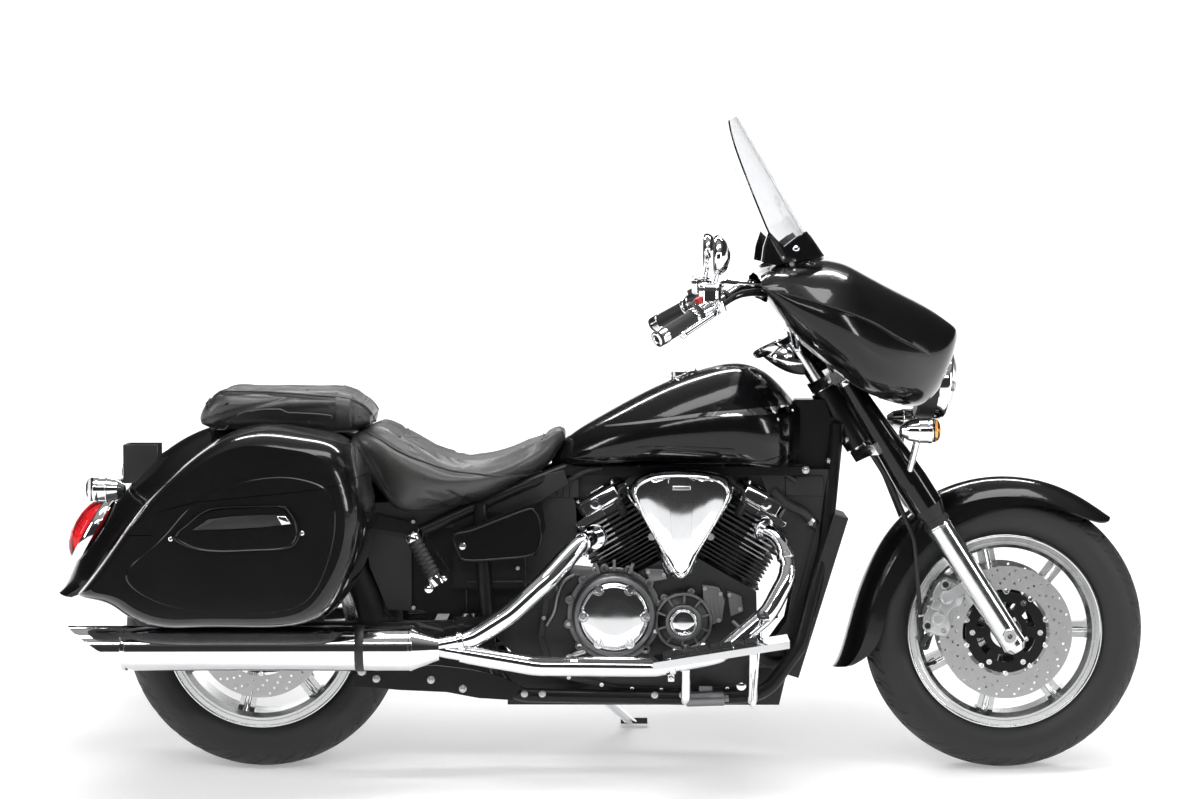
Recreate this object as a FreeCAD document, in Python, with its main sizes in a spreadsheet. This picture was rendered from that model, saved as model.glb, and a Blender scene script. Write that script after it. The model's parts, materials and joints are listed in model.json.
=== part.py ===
# Touring cruiser motorcycle parked on its side stand.
# Every piece is drawn with the machine upright: X runs forward from the rear axle,
# Y to the rider's left, Z up from the ground. The stance at the end leans it over.
import FreeCAD, Part
import Sketcher
import math
import os
import re

V = FreeCAD.Vector

SIZES = {
    # Stance
    "lean_angle": 9, "wheelbase": 1695, "rake_angle": 32.5, "trail": 140,
    # General fits
    "fit_gap": 0.3, "running_gap": 0.05, "overrun": 40, "full_turn": 360,
    # Tyres
    "front_tyre_radius": 318, "front_tyre_half": 65, "front_crown": 72, "rear_tyre_radius": 318,
    "rear_tyre_half": 80, "rear_crown": 92, "tread_angle": 53, "tyre_bead": 207, "bead_lip": 16,
    "sidewall_rise": 55, "front_bead_half": 44, "rear_bead_half": 60,
    # Wheels
    "rim_flange_radius": 221, "flange_thick": 6, "rim_thick": 8, "rim_well": 190, "rim_ramp": 12,
    "spoke_count": 7, "spoke_half": 19, "spoke_depth": 34, "spoke_root": 44, "spoke_root_share": 0.72,
    "hub_radius": 50,
    "front_hub_half": 66, "rear_hub_half": 84,
    # Axles
    "front_axle_radius": 12.5, "front_axle_bore": 5.5, "front_axle_half": 148, "rear_axle_radius": 12,
    "rear_axle_half": 162, "axle_nut_radius": 20, "axle_nut_thick": 12,
    # Brake discs
    "front_disc_radius": 151, "front_disc_inner": 97, "disc_thick": 5, "carrier_radius": 90,
    "carrier_thick": 7, "rear_disc_radius": 149, "disc_overlap": 8,
    # Final drive
    "rear_pulley_radius": 110, "front_pulley_radius": 45, "belt_thick": 6, "belt_width": 24,
    "belt_inner_y": 88, "pulley_flange": 4, "front_pulley_x": 640, "front_pulley_z": 330,
    # Fork
    "fork_spread": 115, "slider_radius": 29, "slider_top": 309, "slider_foot": 42, "cover_low": 312,
    "cover_mouth": 27, "cover_bell": 38, "cover_bell_low": 345, "cover_bell_high": 410, "cover_neck": 21.5,
    "fork_tube_radius": 19, "upper_clamp": 690, "clamp_thick": 26, "cap_rise": 28, "cap_radius": 21,
    "lower_clamp": 505, "clamp_depth": 70, "stem_radius": 15, "head_radius": 31, "head_gap": 4,
    "race_radius": 24, "bar_rise": 84, "riser_radius": 19, "riser_y": 45,
    # Handlebar and controls
    "bar_radius": 12.7, "bar_half": 490, "bar_bend": 45, "grip_radius": 17, "grip_end": 20,
    "grip_end_thick": 9, "mirror_high": 88, "mirror_wide": 140, "mirror_thick": 26, "stalk_radius": 5,
    "lever_radius": 6, "switch_radius": 23, "switch_long": 52, "reservoir_radius": 24, "reservoir_high": 34,
    # Instrument pod
    "pod_back": 1142, "pod_long": 155, "pod_base": 901, "pod_high": 85, "pod_half": 62,
    # Fairing and windshield
    "fairing_back": 1124, "fairing_long": 457, "fairing_low": 838, "fairing_high": 333, "fairing_half": 392,
    "fairing_wall": 14, "fairing_throat_half": 205, "dash_thick": 12, "dash_x": 1262, "shield_half": 240,
    "collar_thick": 9, "collar_gap": 0.8, "shield_wall": 4, "shield_low_x": 1272, "shield_low_z": 1172, "shield_high_x": 1084,
    "shield_high_z": 1492, "shield_bow": 82,
    # Headlight and front signals
    "lamp_x": 1500, "lamp_z": 887, "lamp_radius": 84, "lamp_long": 62, "lamp_bulge": 26, "lamp_tilt": 8,
    "signal_radius": 28, "signal_long": 88, "front_signal_x": 1440, "front_signal_y": 205,
    "front_signal_z": 788, "signal_stem": 8,
    # Front fender
    "fender_radius": 351, "fender_half": 79, "fender_drop": 40, "fender_wall": 3, "fender_depth": 80,
    # Front calipers
    "caliper_long": 128, "caliper_wide": 66, "caliper_half": 22, "caliper_slot": 7.5, "caliper_reach": 158,
    "caliper_angle": 158, "rear_caliper_half": 14.5,
    # Frame
    "rail_radius": 16, "rail_y": 130, "rail_z": 183, "rail_bend": 90, "backbone_radius": 28,
    "seat_rail_radius": 14, "strut_thick": 8, "strut_high": 42, "strut_y": 113, "lug_radius": 13,
    "cross_radius": 11, "tab_thick": 8, "gusset_half": 34, "box_half": 84, "box_wide_half": 118,
    "box_back": 335, "box_front": 600, "box_step": 440, "box_low": 362, "box_step_low": 424, "box_high": 595,
    "sill_thick": 20, "sill_half": 78, "stay_high": 34, "stay_thick": 9,
    # Swingarm
    "pivot_x": 470, "pivot_z": 330, "arm_inner": 118, "arm_thick": 28, "arm_high": 58, "pivot_radius": 22,
    # Engine
    "crank_x": 955, "crank_z": 300, "vee_half_angle": 30, "case_half": 110, "deck_radius": 185,
    "bore_radius": 62, "fin_half_long": 90, "fin_half_wide": 86, "fin_thick": 3.2, "fin_pitch": 9.6,
    "fin_count": 8, "fin_start": 195, "head_fin_half_long": 92, "head_fin_half_wide": 90,
    "head_fin_start": 275, "head_fin_thick": 5, "head_fin_pitch": 12, "head_fin_count": 5,
    "cover_start": 330, "cover_top": 386, "cover_half_long": 66, "cover_half_wide": 72,
    # Engine covers
    "clutch_x": 804, "clutch_z": 366, "clutch_radius": 94, "clutch_cap": 74, "clutch_depth": 66,
    "small_cover_x": 960, "small_cover_z": 352, "small_cover_radius": 58, "small_cover_cap": 29,
    "small_cover_depth": 54, "left_cover_radius": 105, "left_cover_depth": 62,
    # Air cleaner
    "cleaner_left": 838, "cleaner_low": 448, "cleaner_long": 232, "cleaner_high": 248, "cleaner_inner": 125,
    "cleaner_depth": 78, "intake_radius": 28, "intake_z": 590,
    # Radiator
    "radiator_low_x": 1190, "radiator_low_z": 226, "radiator_high_x": 1302, "radiator_high_z": 590,
    "radiator_half": 88, "radiator_thick": 34,
    # Exhaust
    "muffler_y": 235, "muffler_z": 303, "muffler_radius": 50, "muffler_front": 415, "muffler_tip": -412,
    "muffler_wall": 3, "muffler_neck": 27, "muffler_cone": 60, "slash_run": 148, "front_pipe_radius": 17,
    "rear_pipe_radius": 18, "pipe_bend": 70,
    # Tank
    "tank_back": 661, "tank_long": 565, "tank_base": 697, "tank_high": 232, "tank_half": 195,
    "trim_thick": 3, "tank_cap_radius": 34, "tank_cap_high": 9, "tank_cap_x": 960,
    # Seats
    "rider_back": 200, "rider_long": 497, "rider_base": 590, "rider_high": 208, "rider_half": 190,
    "passenger_back": -138, "passenger_long": 400, "passenger_base": 758, "passenger_high": 116,
    "passenger_half": 150,
    # Rear fender
    "rear_fender_radius": 480, "rear_fender_half": 105, "rear_fender_drop": 60, "rear_fender_depth": 128,
    "rear_fender_wall": 4,
    # Tail
    "tail_x": -398, "tail_z": 546, "tail_long": 78, "tail_half": 58, "tail_bulge": 40, "tail_angle": 60,
    "rear_signal_x": -326, "rear_signal_y": 250, "rear_signal_z": 659, "plate_back": -317.7, "plate_low": 655,
    "plate_long": 78, "plate_high": 88, "plate_half": 40, "plate_hole": 4.2, "plate_circle": 24,
    # Saddlebags
    "bag_back": -370, "bag_long": 638, "bag_low": 362, "bag_high": 438, "bag_inner": 172, "bag_outer": 430,
    "bag_wall": 5, "seam_gap": 1.5, "handle_thick": 6, "bag_panel": 3, "hinge_y": 182, "hinge_z": 783,
    "hinge_x": 40, "hinge_long": 120, "hinge_pin": 3, "knuckle_radius": 6.5, "hinge_web": 48, "bag_lug_x": 150,
    "bag_lug_z": 600,
    # Footboards and pegs
    "board_back": 890, "board_long": 300, "board_inner": 206, "board_wide": 122, "board_thick": 16,
    "board_low": 268, "board_rise": 48, "peg_radius": 14,
    # Side stand
    "stand_x": 760, "stand_y": 168, "stand_z": 146, "stand_foot_x": 850, "stand_foot_y": 300,
    "stand_radius": 11, "stand_eye_radius": 19, "stand_eye_thick": 12, "stand_pin": 6, "stand_ear_thick": 6,
    "stand_pad_long": 64, "stand_pad_wide": 46, "stand_pad_thick": 9, "stand_fold_out": 0.25,
}

doc = FreeCAD.newDocument("cruiser")
sheet = doc.addObject("Spreadsheet::Sheet", "Sizes")
for row, (name, number) in enumerate(SIZES.items(), 1):
    sheet.set("A%d" % row, name)
    sheet.set("B%d" % row, str(number))
    sheet.setAlias("B%d" % row, name)
doc.recompute()


class Reader:
    """Reads a named size from the sheet."""

    def __getattr__(self, name):
        return float(sheet.get(name))


d = Reader()
pieces = []
named = {}


def bound(text):
    """An expression in the names of the sheet."""
    return re.sub(r"[a-z]\w*", lambda hit: "Sizes." + hit.group(0) if hit.group(0) in SIZES else hit.group(0), text)


def size(text):
    """The present value of an expression."""
    return float(sheet.evalExpression(bound(text)))


def keep(label, made):
    """Registers a finished piece under its own name."""
    made.Label = label
    pieces.append(made)
    named[label] = made
    return made


def formed(name, shape):
    """A piece whose shape no single feature describes."""
    made = doc.addObject("Part::Feature", name)
    made.Shape = shape
    return made


# Sketches and features


def drawn(body, name, role, marks):
    """A closed sketch of lines, and of arcs where a mark has a third entry."""
    sketch = body.newObject("Sketcher::SketchObject", name)
    plane = [f for f in body.Origin.OriginFeatures if f.Role == role][0]
    sketch.AttachmentSupport = (plane, [""])
    sketch.MapMode = "FlatFace"
    spots = [V(size(m[0]), size(m[1]), 0) for m in marks]
    corners = [i for i, m in enumerate(marks) if len(m) == 2]
    runs = []
    for n, i in enumerate(corners):
        j = corners[(n + 1) % len(corners)]
        mid = (i + 1) % len(marks)
        if mid == j:
            runs.append((sketch.addGeometry(Part.LineSegment(spots[i], spots[j]), False), 1, 2, i))
            continue
        circle = Part.Circle(spots[i], spots[mid], spots[j])
        centre = circle.Center
        first = math.atan2(spots[i].y - centre.y, spots[i].x - centre.x)
        last = math.atan2(spots[j].y - centre.y, spots[j].x - centre.x)
        turn = (spots[mid] - spots[i]).cross(spots[j] - spots[mid]).z
        flat = Part.Circle(centre, V(0, 0, 1), circle.Radius)
        if turn > 0:
            runs.append((sketch.addGeometry(Part.ArcOfCircle(flat, first, last), False), 1, 2, i))
        else:
            runs.append((sketch.addGeometry(Part.ArcOfCircle(flat, last, first), False), 2, 1, i))
        dot = sketch.addGeometry(Part.Point(spots[mid]), True)
        fixed(sketch, dot, 1, marks[mid])
        sketch.addConstraint(Sketcher.Constraint("PointOnObject", dot, 1, runs[-1][0]))
    for n, (run, start, end, i) in enumerate(runs):
        after = runs[(n + 1) % len(runs)]
        sketch.addConstraint(Sketcher.Constraint("Coincident", run, end, after[0], after[1]))
        fixed(sketch, run, start, marks[i])
    return sketch


def fixed(sketch, run, end, mark):
    """Ties one point of a sketch to its two expressions."""
    for kind, text, line in (("DistanceX", mark[0], -2), ("DistanceY", mark[1], -1)):
        if text == "0":
            sketch.addConstraint(Sketcher.Constraint("PointOnObject", run, end, line))
            continue
        number = sketch.addConstraint(Sketcher.Constraint(kind, run, end, size(text)))
        sketch.setExpression("Constraints[%d]" % number, bound(text))


def ringed(body, name, role, radius, x="0", y="0"):
    """A sketch of one circle."""
    sketch = body.newObject("Sketcher::SketchObject", name)
    plane = [f for f in body.Origin.OriginFeatures if f.Role == role][0]
    sketch.AttachmentSupport = (plane, [""])
    sketch.MapMode = "FlatFace"
    run = sketch.addGeometry(Part.Circle(V(size(x), size(y), 0), V(0, 0, 1), size(radius)), False)
    number = sketch.addConstraint(Sketcher.Constraint("Radius", run, size(radius)))
    sketch.setExpression("Constraints[%d]" % number, bound(radius))
    fixed(sketch, run, 3, (x, y))
    return sketch


def turned(name, marks, spot=V(0, 0, 0), along=V(0, 0, 1)):
    """A body turned about its own Z axis, which then points along."""
    body = doc.addObject("PartDesign::Body", name)
    sketch = drawn(body, name + "_profile", "XZ_Plane", marks)
    turn = body.newObject("PartDesign::Revolution", name + "_turn")
    turn.Profile = sketch
    turn.ReferenceAxis = (sketch, ["V_Axis"])
    turn.setExpression("Angle", bound("full_turn"))
    body.Placement = FreeCAD.Placement(spot, FreeCAD.Rotation(V(0, 0, 1), along))
    return body


def padded(body, name, sketch, length, lift=None):
    """A pad on a sketch that may be lifted along its normal."""
    if lift:
        sketch.setExpression("AttachmentOffset.Base.z", bound(lift))
    pad = body.newObject("PartDesign::Pad", name)
    pad.Profile = sketch
    pad.setExpression("Length", bound(length))
    return pad


def cylinder(name, radius, height, spot, along):
    """A bound cylinder from a spot along a direction."""
    made = doc.addObject("Part::Cylinder", name)
    made.setExpression("Radius", bound(radius))
    made.setExpression("Height", bound(height))
    made.Placement = FreeCAD.Placement(spot, FreeCAD.Rotation(V(0, 0, 1), along))
    return made


def rod(name, radius, start, end):
    """A bound cylinder between two spots."""
    made = doc.addObject("Part::Cylinder", name)
    made.setExpression("Radius", bound(radius))
    made.Height = (end - start).Length
    made.Placement = FreeCAD.Placement(start, FreeCAD.Rotation(V(0, 0, 1), end - start))
    return made


def fused(name, parts):
    """One solid from several objects."""
    made = doc.addObject("Part::MultiFuse", name)
    made.Shapes = parts
    return made


def grouped(name, parts):
    """Like pieces that don't touch, under one name."""
    made = doc.addObject("Part::Compound", name)
    made.Links = parts
    return made


def shape(made):
    """The shape of an object as it stands."""
    doc.recompute()
    return made.Shape.copy()


# Curves and surfaces
route_room_share = 0.45


def route(points, bend):
    """Straight runs joined by tangent arcs."""
    edges = []
    last = points[0]
    for n in range(1, len(points) - 1):
        back = points[n - 1] - points[n]
        ahead = points[n + 1] - points[n]
        room = min(back.Length, ahead.Length) * route_room_share
        back = back.normalize()
        ahead = ahead.normalize()
        half = back.getAngle(ahead) / 2
        cut = min(bend / math.tan(half), room)
        radius = cut * math.tan(half)
        middle = back + ahead
        middle = middle.normalize()
        centre = points[n] + middle * (radius / math.sin(half))
        start = points[n] + back * cut
        end = points[n] + ahead * cut
        edges.append(Part.LineSegment(last, start).toShape())
        edges.append(Part.Arc(start, centre - middle * radius, end).toShape())
        last = end
    edges.append(Part.LineSegment(last, points[-1]).toShape())
    return Part.Wire(edges)


def tube(points, radius, bend):
    """A round bar along a route."""
    path = route(points, bend)
    circle = Part.Wire([Part.makeCircle(radius, points[0], points[1] - points[0])])
    return path.makePipeShell([circle], True, False)


def ring(points):
    """A smooth closed curve through points."""
    curve = Part.BSplineCurve()
    curve.interpolate(points, PeriodicFlag=True)
    return Part.Wire([curve.toShape()])


def across(x, half, low, high, shares):
    """A closed section across the machine, from shares of its half width and height."""
    right = [V(x, -a * half, low + b * (high - low)) for a, b in shares]
    left = [V(x, a * half, low + b * (high - low)) for a, b in reversed(shares) if a > 0]
    return ring(right + left)


def skinned(rings):
    """A solid through closed sections."""
    return Part.makeLoft(rings, True, False)


def slab(points, direction):
    """A flat outline pushed along a direction."""
    wire = Part.makePolygon(points + [points[0]])
    return Part.Face(wire).extrude(direction)


def mirrored(made):
    """The same form on the other side of the machine."""
    return made.mirror(V(0, 0, 0), V(0, 1, 0))


def joined(shapes):
    """One solid from several shapes."""
    whole = shapes[0].multiFuse(shapes[1:])
    return whole.removeSplitter()


def stacked(shapes):
    """One solid from shapes added one after another, with their edges left as they meet."""
    whole = shapes[0]
    for one in shapes[1:]:
        whole = whole.fuse(one)
    return whole


def largest(form):
    """The main solid of a trimmed form, without its offcuts."""
    return sorted(form.Solids, key=lambda s: s.Volume)[-1]


# Places that the whole machine shares
lean = math.radians(d.lean_angle)
front_axle_z = d.front_tyre_radius - d.front_crown + d.front_crown / math.cos(lean)
rear_axle_z = d.rear_tyre_radius - d.rear_crown + d.rear_crown / math.cos(lean)
front_axle = V(d.wheelbase, 0, front_axle_z)
rear_axle = V(0, 0, rear_axle_z)
rake = math.radians(d.rake_angle)
steer_foot = V(d.wheelbase + d.trail, 0, 0)
steer_up = V(-math.sin(rake), 0, math.cos(rake))
steer_ahead = V(math.cos(rake), 0, math.sin(rake))
axle_run = (front_axle - steer_foot).dot(steer_up)
fork_offset = (front_axle - steer_foot).dot(steer_ahead)
sideways = V(0, 1, 0)


def fork(run, ahead, side):
    """A spot in the fork: along the leg from the axle, ahead of the steering axis, and to the left."""
    return steer_foot + steer_up * (axle_run + run) + steer_ahead * ahead + sideways * side


# Tyres and wheels


def tyre(name, axle, radius, half, crown, bead):
    """A tyre with a round crown, tall sidewalls and beads that sit between the flanges."""
    shoulder = "%s - %s + %s * cos(tread_angle)" % (radius, crown, crown)
    edge = "%s * sin(tread_angle)" % crown
    marks = [("tyre_bead", "-" + bead), ("tyre_bead + bead_lip", "-" + bead)]
    marks += [("tyre_bead + sidewall_rise", "-" + half, "arc"), (shoulder, "-" + edge)]
    marks += [(radius, "0", "arc"), (shoulder, edge), ("tyre_bead + sidewall_rise", half, "arc")]
    marks += [("tyre_bead + bead_lip", bead), ("tyre_bead", bead)]
    return keep(name, turned(name, marks, axle, sideways))


def wheel(name, axle, bead, hub, axle_radius):
    """A cast wheel: flanged rim, hub with its bore, and a ring of spokes."""
    body = doc.addObject("PartDesign::Body", name)
    flange = "%s + fit_gap" % bead
    outer = "%s + flange_thick" % flange
    marks = [("rim_flange_radius", "-(%s)" % outer), ("rim_flange_radius", "-(%s)" % flange)]
    marks += [("tyre_bead - fit_gap", "-(%s)" % flange), ("tyre_bead - fit_gap", flange)]
    marks += [("rim_flange_radius", flange), ("rim_flange_radius", outer)]
    marks += [("tyre_bead - rim_thick", outer), ("rim_well", "%s - rim_ramp" % bead)]
    marks += [("rim_well", "-(%s - rim_ramp)" % bead), ("tyre_bead - rim_thick", "-(%s)" % outer)]
    rim = drawn(body, name + "_rim_profile", "XZ_Plane", marks)
    turn = body.newObject("PartDesign::Revolution", name + "_rim")
    turn.Profile = rim
    turn.ReferenceAxis = (rim, ["V_Axis"])
    turn.setExpression("Angle", bound("full_turn"))
    middle = drawn(body, name + "_hub_profile", "XZ_Plane", [
        ("%s + running_gap" % axle_radius, "-" + hub), ("hub_radius", "-" + hub),
        ("hub_radius", hub), ("%s + running_gap" % axle_radius, hub)])
    hub_turn = body.newObject("PartDesign::Revolution", name + "_hub")
    hub_turn.Profile = middle
    hub_turn.ReferenceAxis = (middle, ["V_Axis"])
    hub_turn.setExpression("Angle", bound("full_turn"))
    arm = drawn(body, name + "_spoke_profile", "XY_Plane", [
        ("spoke_root", "-spoke_half * spoke_root_share"), ("rim_well + rim_thick / 2", "-spoke_half"),
        ("rim_well + rim_thick / 2", "spoke_half"), ("spoke_root", "spoke_half * spoke_root_share")])
    arm.setExpression("AttachmentOffset.Base.z", bound("-spoke_depth / 2"))
    spoke = body.newObject("PartDesign::Pad", name + "_spoke")
    spoke.Profile = arm
    spoke.setExpression("Length", bound("spoke_depth"))
    doc.recompute()
    spokes = body.newObject("PartDesign::PolarPattern", name + "_spokes")
    spokes.Originals = [spoke]
    spokes.Axis = (arm, ["N_Axis"])
    spokes.setExpression("Angle", bound("full_turn"))
    spokes.setExpression("Occurrences", bound("spoke_count"))
    body.Tip = spokes
    body.Placement = FreeCAD.Placement(axle, FreeCAD.Rotation(V(0, 0, 1), sideways))
    return keep(name, body)


tyre("front_tyre", front_axle, "front_tyre_radius", "front_tyre_half", "front_crown", "front_bead_half")
tyre("rear_tyre", rear_axle, "rear_tyre_radius", "rear_tyre_half", "rear_crown", "rear_bead_half")
wheel("front_rim", front_axle, "front_bead_half", "front_hub_half", "front_axle_radius")
wheel("rear_rim", rear_axle, "rear_bead_half", "rear_hub_half", "rear_axle_radius")


# Brake discs


def disc(name, axle, side, hub, outer, inner, axle_radius):
    """A disc riveted to a dished carrier that sits on the hub's end."""
    seat = "%s + fit_gap" % hub
    marks = [("%s + running_gap" % axle_radius, seat), ("carrier_radius", seat)]
    marks += [("carrier_radius", "%s + 1 * fit_gap" % seat), (outer, "%s + 1 * fit_gap" % seat)]
    marks += [(outer, "%s + fit_gap + disc_thick" % seat), ("%s - disc_overlap" % inner, "%s + fit_gap + disc_thick" % seat)]
    marks += [("%s - disc_overlap" % inner, "%s + carrier_thick" % seat)]
    marks += [("%s + running_gap" % axle_radius, "%s + carrier_thick" % seat)]
    return turned(name, marks, axle, sideways * side)


left_disc = disc("front_disc_left", front_axle, 1, "front_hub_half", "front_disc_radius", "front_disc_inner",
                 "front_axle_radius")
right_disc = disc("front_disc_right", front_axle, -1, "front_hub_half", "front_disc_radius", "front_disc_inner",
                  "front_axle_radius")
keep("front_discs", grouped("front_discs", [left_disc, right_disc]))
keep("rear_disc", disc("rear_disc", rear_axle, -1, "rear_hub_half", "rear_disc_radius", "front_disc_inner",
                       "rear_axle_radius"))

# Final drive: a toothed pulley on the wheel and the belt around it
belt_out = "belt_inner_y + belt_width"
keep("rear_pulley", turned("rear_pulley", [
    ("rear_axle_radius + running_gap", "rear_hub_half + fit_gap"), ("hub_radius", "rear_hub_half + fit_gap"),
    ("hub_radius", "belt_inner_y - pulley_flange / 2"), ("rear_pulley_radius", "belt_inner_y - pulley_flange / 2"),
    ("rear_pulley_radius", belt_out + " + pulley_flange / 2"),
    ("rear_pulley_radius - belt_thick * 2", belt_out + " + pulley_flange / 2"),
    ("rear_pulley_radius - belt_thick * 2", "belt_inner_y + belt_thick"),
    ("rear_axle_radius + running_gap", "belt_inner_y + belt_thick")], rear_axle, sideways))


def loop(near, near_radius, far, far_radius, low, high):
    """The outline of a band round two wheels, pushed from one side plane to another."""
    run = far - near
    reach = math.hypot(run.x, run.z)
    slope = math.atan2(run.z, run.x)
    open_angle = math.acos((near_radius - far_radius) / reach)

    def at(centre, radius, angle):
        return V(centre.x + radius * math.cos(angle), low, centre.z + radius * math.sin(angle))

    up, down = slope + open_angle, slope - open_angle
    edges = [Part.LineSegment(at(near, near_radius, up), at(far, far_radius, up)).toShape()]
    edges.append(Part.Arc(at(far, far_radius, up), at(far, far_radius, slope), at(far, far_radius, down)).toShape())
    edges.append(Part.LineSegment(at(far, far_radius, down), at(near, near_radius, down)).toShape())
    back = slope + math.pi
    edges.append(Part.Arc(at(near, near_radius, down), at(near, near_radius, back), at(near, near_radius, up)).toShape())
    return Part.Face(Part.Wire(edges)).extrude(V(0, high - low, 0))


output = V(d.front_pulley_x, 0, d.front_pulley_z)
belt_low = d.belt_inner_y
belt_high = d.belt_inner_y + d.belt_width
belt_inside = loop(rear_axle, d.rear_pulley_radius + d.fit_gap, output, d.front_pulley_radius + d.fit_gap,
                   belt_low - d.overrun, belt_high + d.overrun)
belt_outside = loop(rear_axle, d.rear_pulley_radius + d.fit_gap + d.belt_thick, output,
                    d.front_pulley_radius + d.fit_gap + d.belt_thick, belt_low, belt_high)
belt = belt_outside.cut(belt_inside)
keep("drive_belt", formed("drive_belt", belt))

# Frame: head tube, backbone, cradle, seat rails and fender struts
head_low = d.lower_clamp + d.clamp_thick + d.head_gap
head_high = d.upper_clamp - d.head_gap
head_long = head_high - head_low
head_tube = Part.makeCylinder(d.head_radius, head_long, fork(head_low, 0, 0), steer_up)
head_bore = Part.makeCylinder(d.stem_radius + d.running_gap, head_long + 2 * d.overrun,
                              fork(head_low - d.overrun, 0, 0), steer_up)

# Places along the cradle, as shares of the wheelbase, of the rail's side place and of the axle's height
cradle_shares = [(0.774, 0.25, 2.48), (0.757, 0.50, 1.60), (0.722, 0.90, 0.92), (0.675, 1.00, 0.575),
                 (0.590, 1.00, 0.552), (0.332, 1.00, 0.575), (0.308, 1.00, 0.90), (0.298, 0.99, 1.62),
                 (0.296, 0.93, 1.93)]
seat_rail_shares = [(0.445, 0.28, 2.235), (0.352, 0.84, 2.06), (0.216, 0.90, 1.735)]
backbone_shares = [(0.775, 0, 2.50), (0.680, 0, 2.36), (0.425, 0, 2.195)]


def placed(shares, side):
    """Places on one side of the machine from a table of shares."""
    return [V(a * d.wheelbase, side * b * d.rail_y, c * front_axle_z) for a, b, c in shares]


frame_bits = [head_tube, tube(placed(backbone_shares, 1), d.backbone_radius, d.rail_bend)]
for side in (-1, 1):
    frame_bits.append(tube(placed(cradle_shares, side), d.rail_radius, d.rail_bend))
    frame_bits.append(tube(placed(seat_rail_shares, side), d.seat_rail_radius, d.rail_bend))
strut_front_x = seat_rail_shares[-1][0] * d.wheelbase
strut_front_z = seat_rail_shares[-1][2] * front_axle_z
strut_back_x = -strut_front_x * 0.50
for side in (-1, 1):
    near = side * d.strut_y
    far_z = d.bag_lug_z + d.strut_high / 2
    strut = slab([V(strut_front_x + d.seat_rail_radius, near, strut_front_z - d.seat_rail_radius),
                  V(strut_front_x, near, strut_front_z + d.seat_rail_radius),
                  V(d.bag_lug_x, near, far_z), V(-d.bag_lug_x, near, far_z),
                  V(-d.bag_lug_x - d.strut_high / 2, near, d.bag_lug_z),
                  V(-d.bag_lug_x, near, far_z - d.strut_high), V(d.bag_lug_x, near, far_z - d.strut_high)],
                 V(0, side * d.strut_thick, 0))
    frame_bits.append(strut)
    for x in (-d.bag_lug_x, d.bag_lug_x):
        reach = d.bag_inner - d.fit_gap - d.strut_y
        frame_bits.append(Part.makeCylinder(d.lug_radius, reach, V(x, near, d.bag_lug_z), V(0, side, 0)))
    # Swingarm pivot plates, outside the arms and tied to the upright tubes
    plate_y = d.arm_inner + d.arm_thick + d.fit_gap
    plate = Part.makeBox(d.pivot_radius * 4, d.tab_thick * 2, d.pivot_radius * 3)
    low_y = plate_y if side > 0 else -plate_y - d.tab_thick * 2
    plate.translate(V(d.pivot_x - d.pivot_radius, low_y, d.pivot_z - d.pivot_radius * 1.5))
    frame_bits.append(plate)
    upright = V(cradle_shares[6][0] * d.wheelbase, side * d.rail_y, d.pivot_z)
    frame_bits.append(Part.makeCylinder(d.lug_radius, plate_y + d.tab_thick - d.rail_y, upright, V(0, side, 0)))
# Gusset behind the head tube, and the dark sill below the tank
gusset_shares = [(0.717, 2.655), (0.757, 2.655), (0.779, 2.30), (0.777, 2.12), (0.723, 2.155)]
gusset = slab([V(a * d.wheelbase, -d.gusset_half, b * front_axle_z) for a, b in gusset_shares],
              V(0, 2 * d.gusset_half, 0))
frame_bits.append(gusset)
sill_back_share, sill_front_share = 0.408, 0.735
sill_high = d.tank_base - d.fit_gap
sill = Part.makeBox((sill_front_share - sill_back_share) * d.wheelbase, 2 * d.sill_half, d.sill_thick)
sill.translate(V(sill_back_share * d.wheelbase, -d.sill_half, sill_high - d.sill_thick))
frame_bits.append(sill)
# Battery box between the uprights, narrow beside the belt and wide above it
low_box = Part.makeBox(d.box_front - d.box_back, 2 * d.box_half, d.box_high - d.box_low)
low_box.translate(V(d.box_back, -d.box_half, d.box_low))
wide_box = Part.makeBox(d.box_front - d.box_step, 2 * d.box_wide_half, d.box_high - d.box_step_low)
wide_box.translate(V(d.box_step, -d.box_wide_half, d.box_step_low))
frame_bits += [low_box, wide_box]
# Flat stay below the muffler, on the right rail
stay_shares = [(0.345, 0.60), (0.252, 0.625), (0.173, 0.660), (0.064, 0.672), (0.014, 0.77)]
stay_y = -d.rail_y - d.rail_radius * 0.6
stay_marks = [V(a * d.wheelbase, stay_y, b * front_axle_z + d.stay_high / 2) for a, b in stay_shares]
stay_marks += [V(a * d.wheelbase, stay_y, b * front_axle_z - d.stay_high / 2) for a, b in reversed(stay_shares)]
frame_bits.append(slab(stay_marks, V(0, -d.stay_thick, 0)))
# Cross tubes that carry the engine
rail_top = cradle_shares[4][2] * front_axle_z
for x in (d.crank_x + d.fin_half_long, d.clutch_x - d.fin_half_long):
    frame_bits.append(Part.makeCylinder(d.cross_radius, 2 * d.rail_y, V(x, -d.rail_y, rail_top), sideways))
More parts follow.
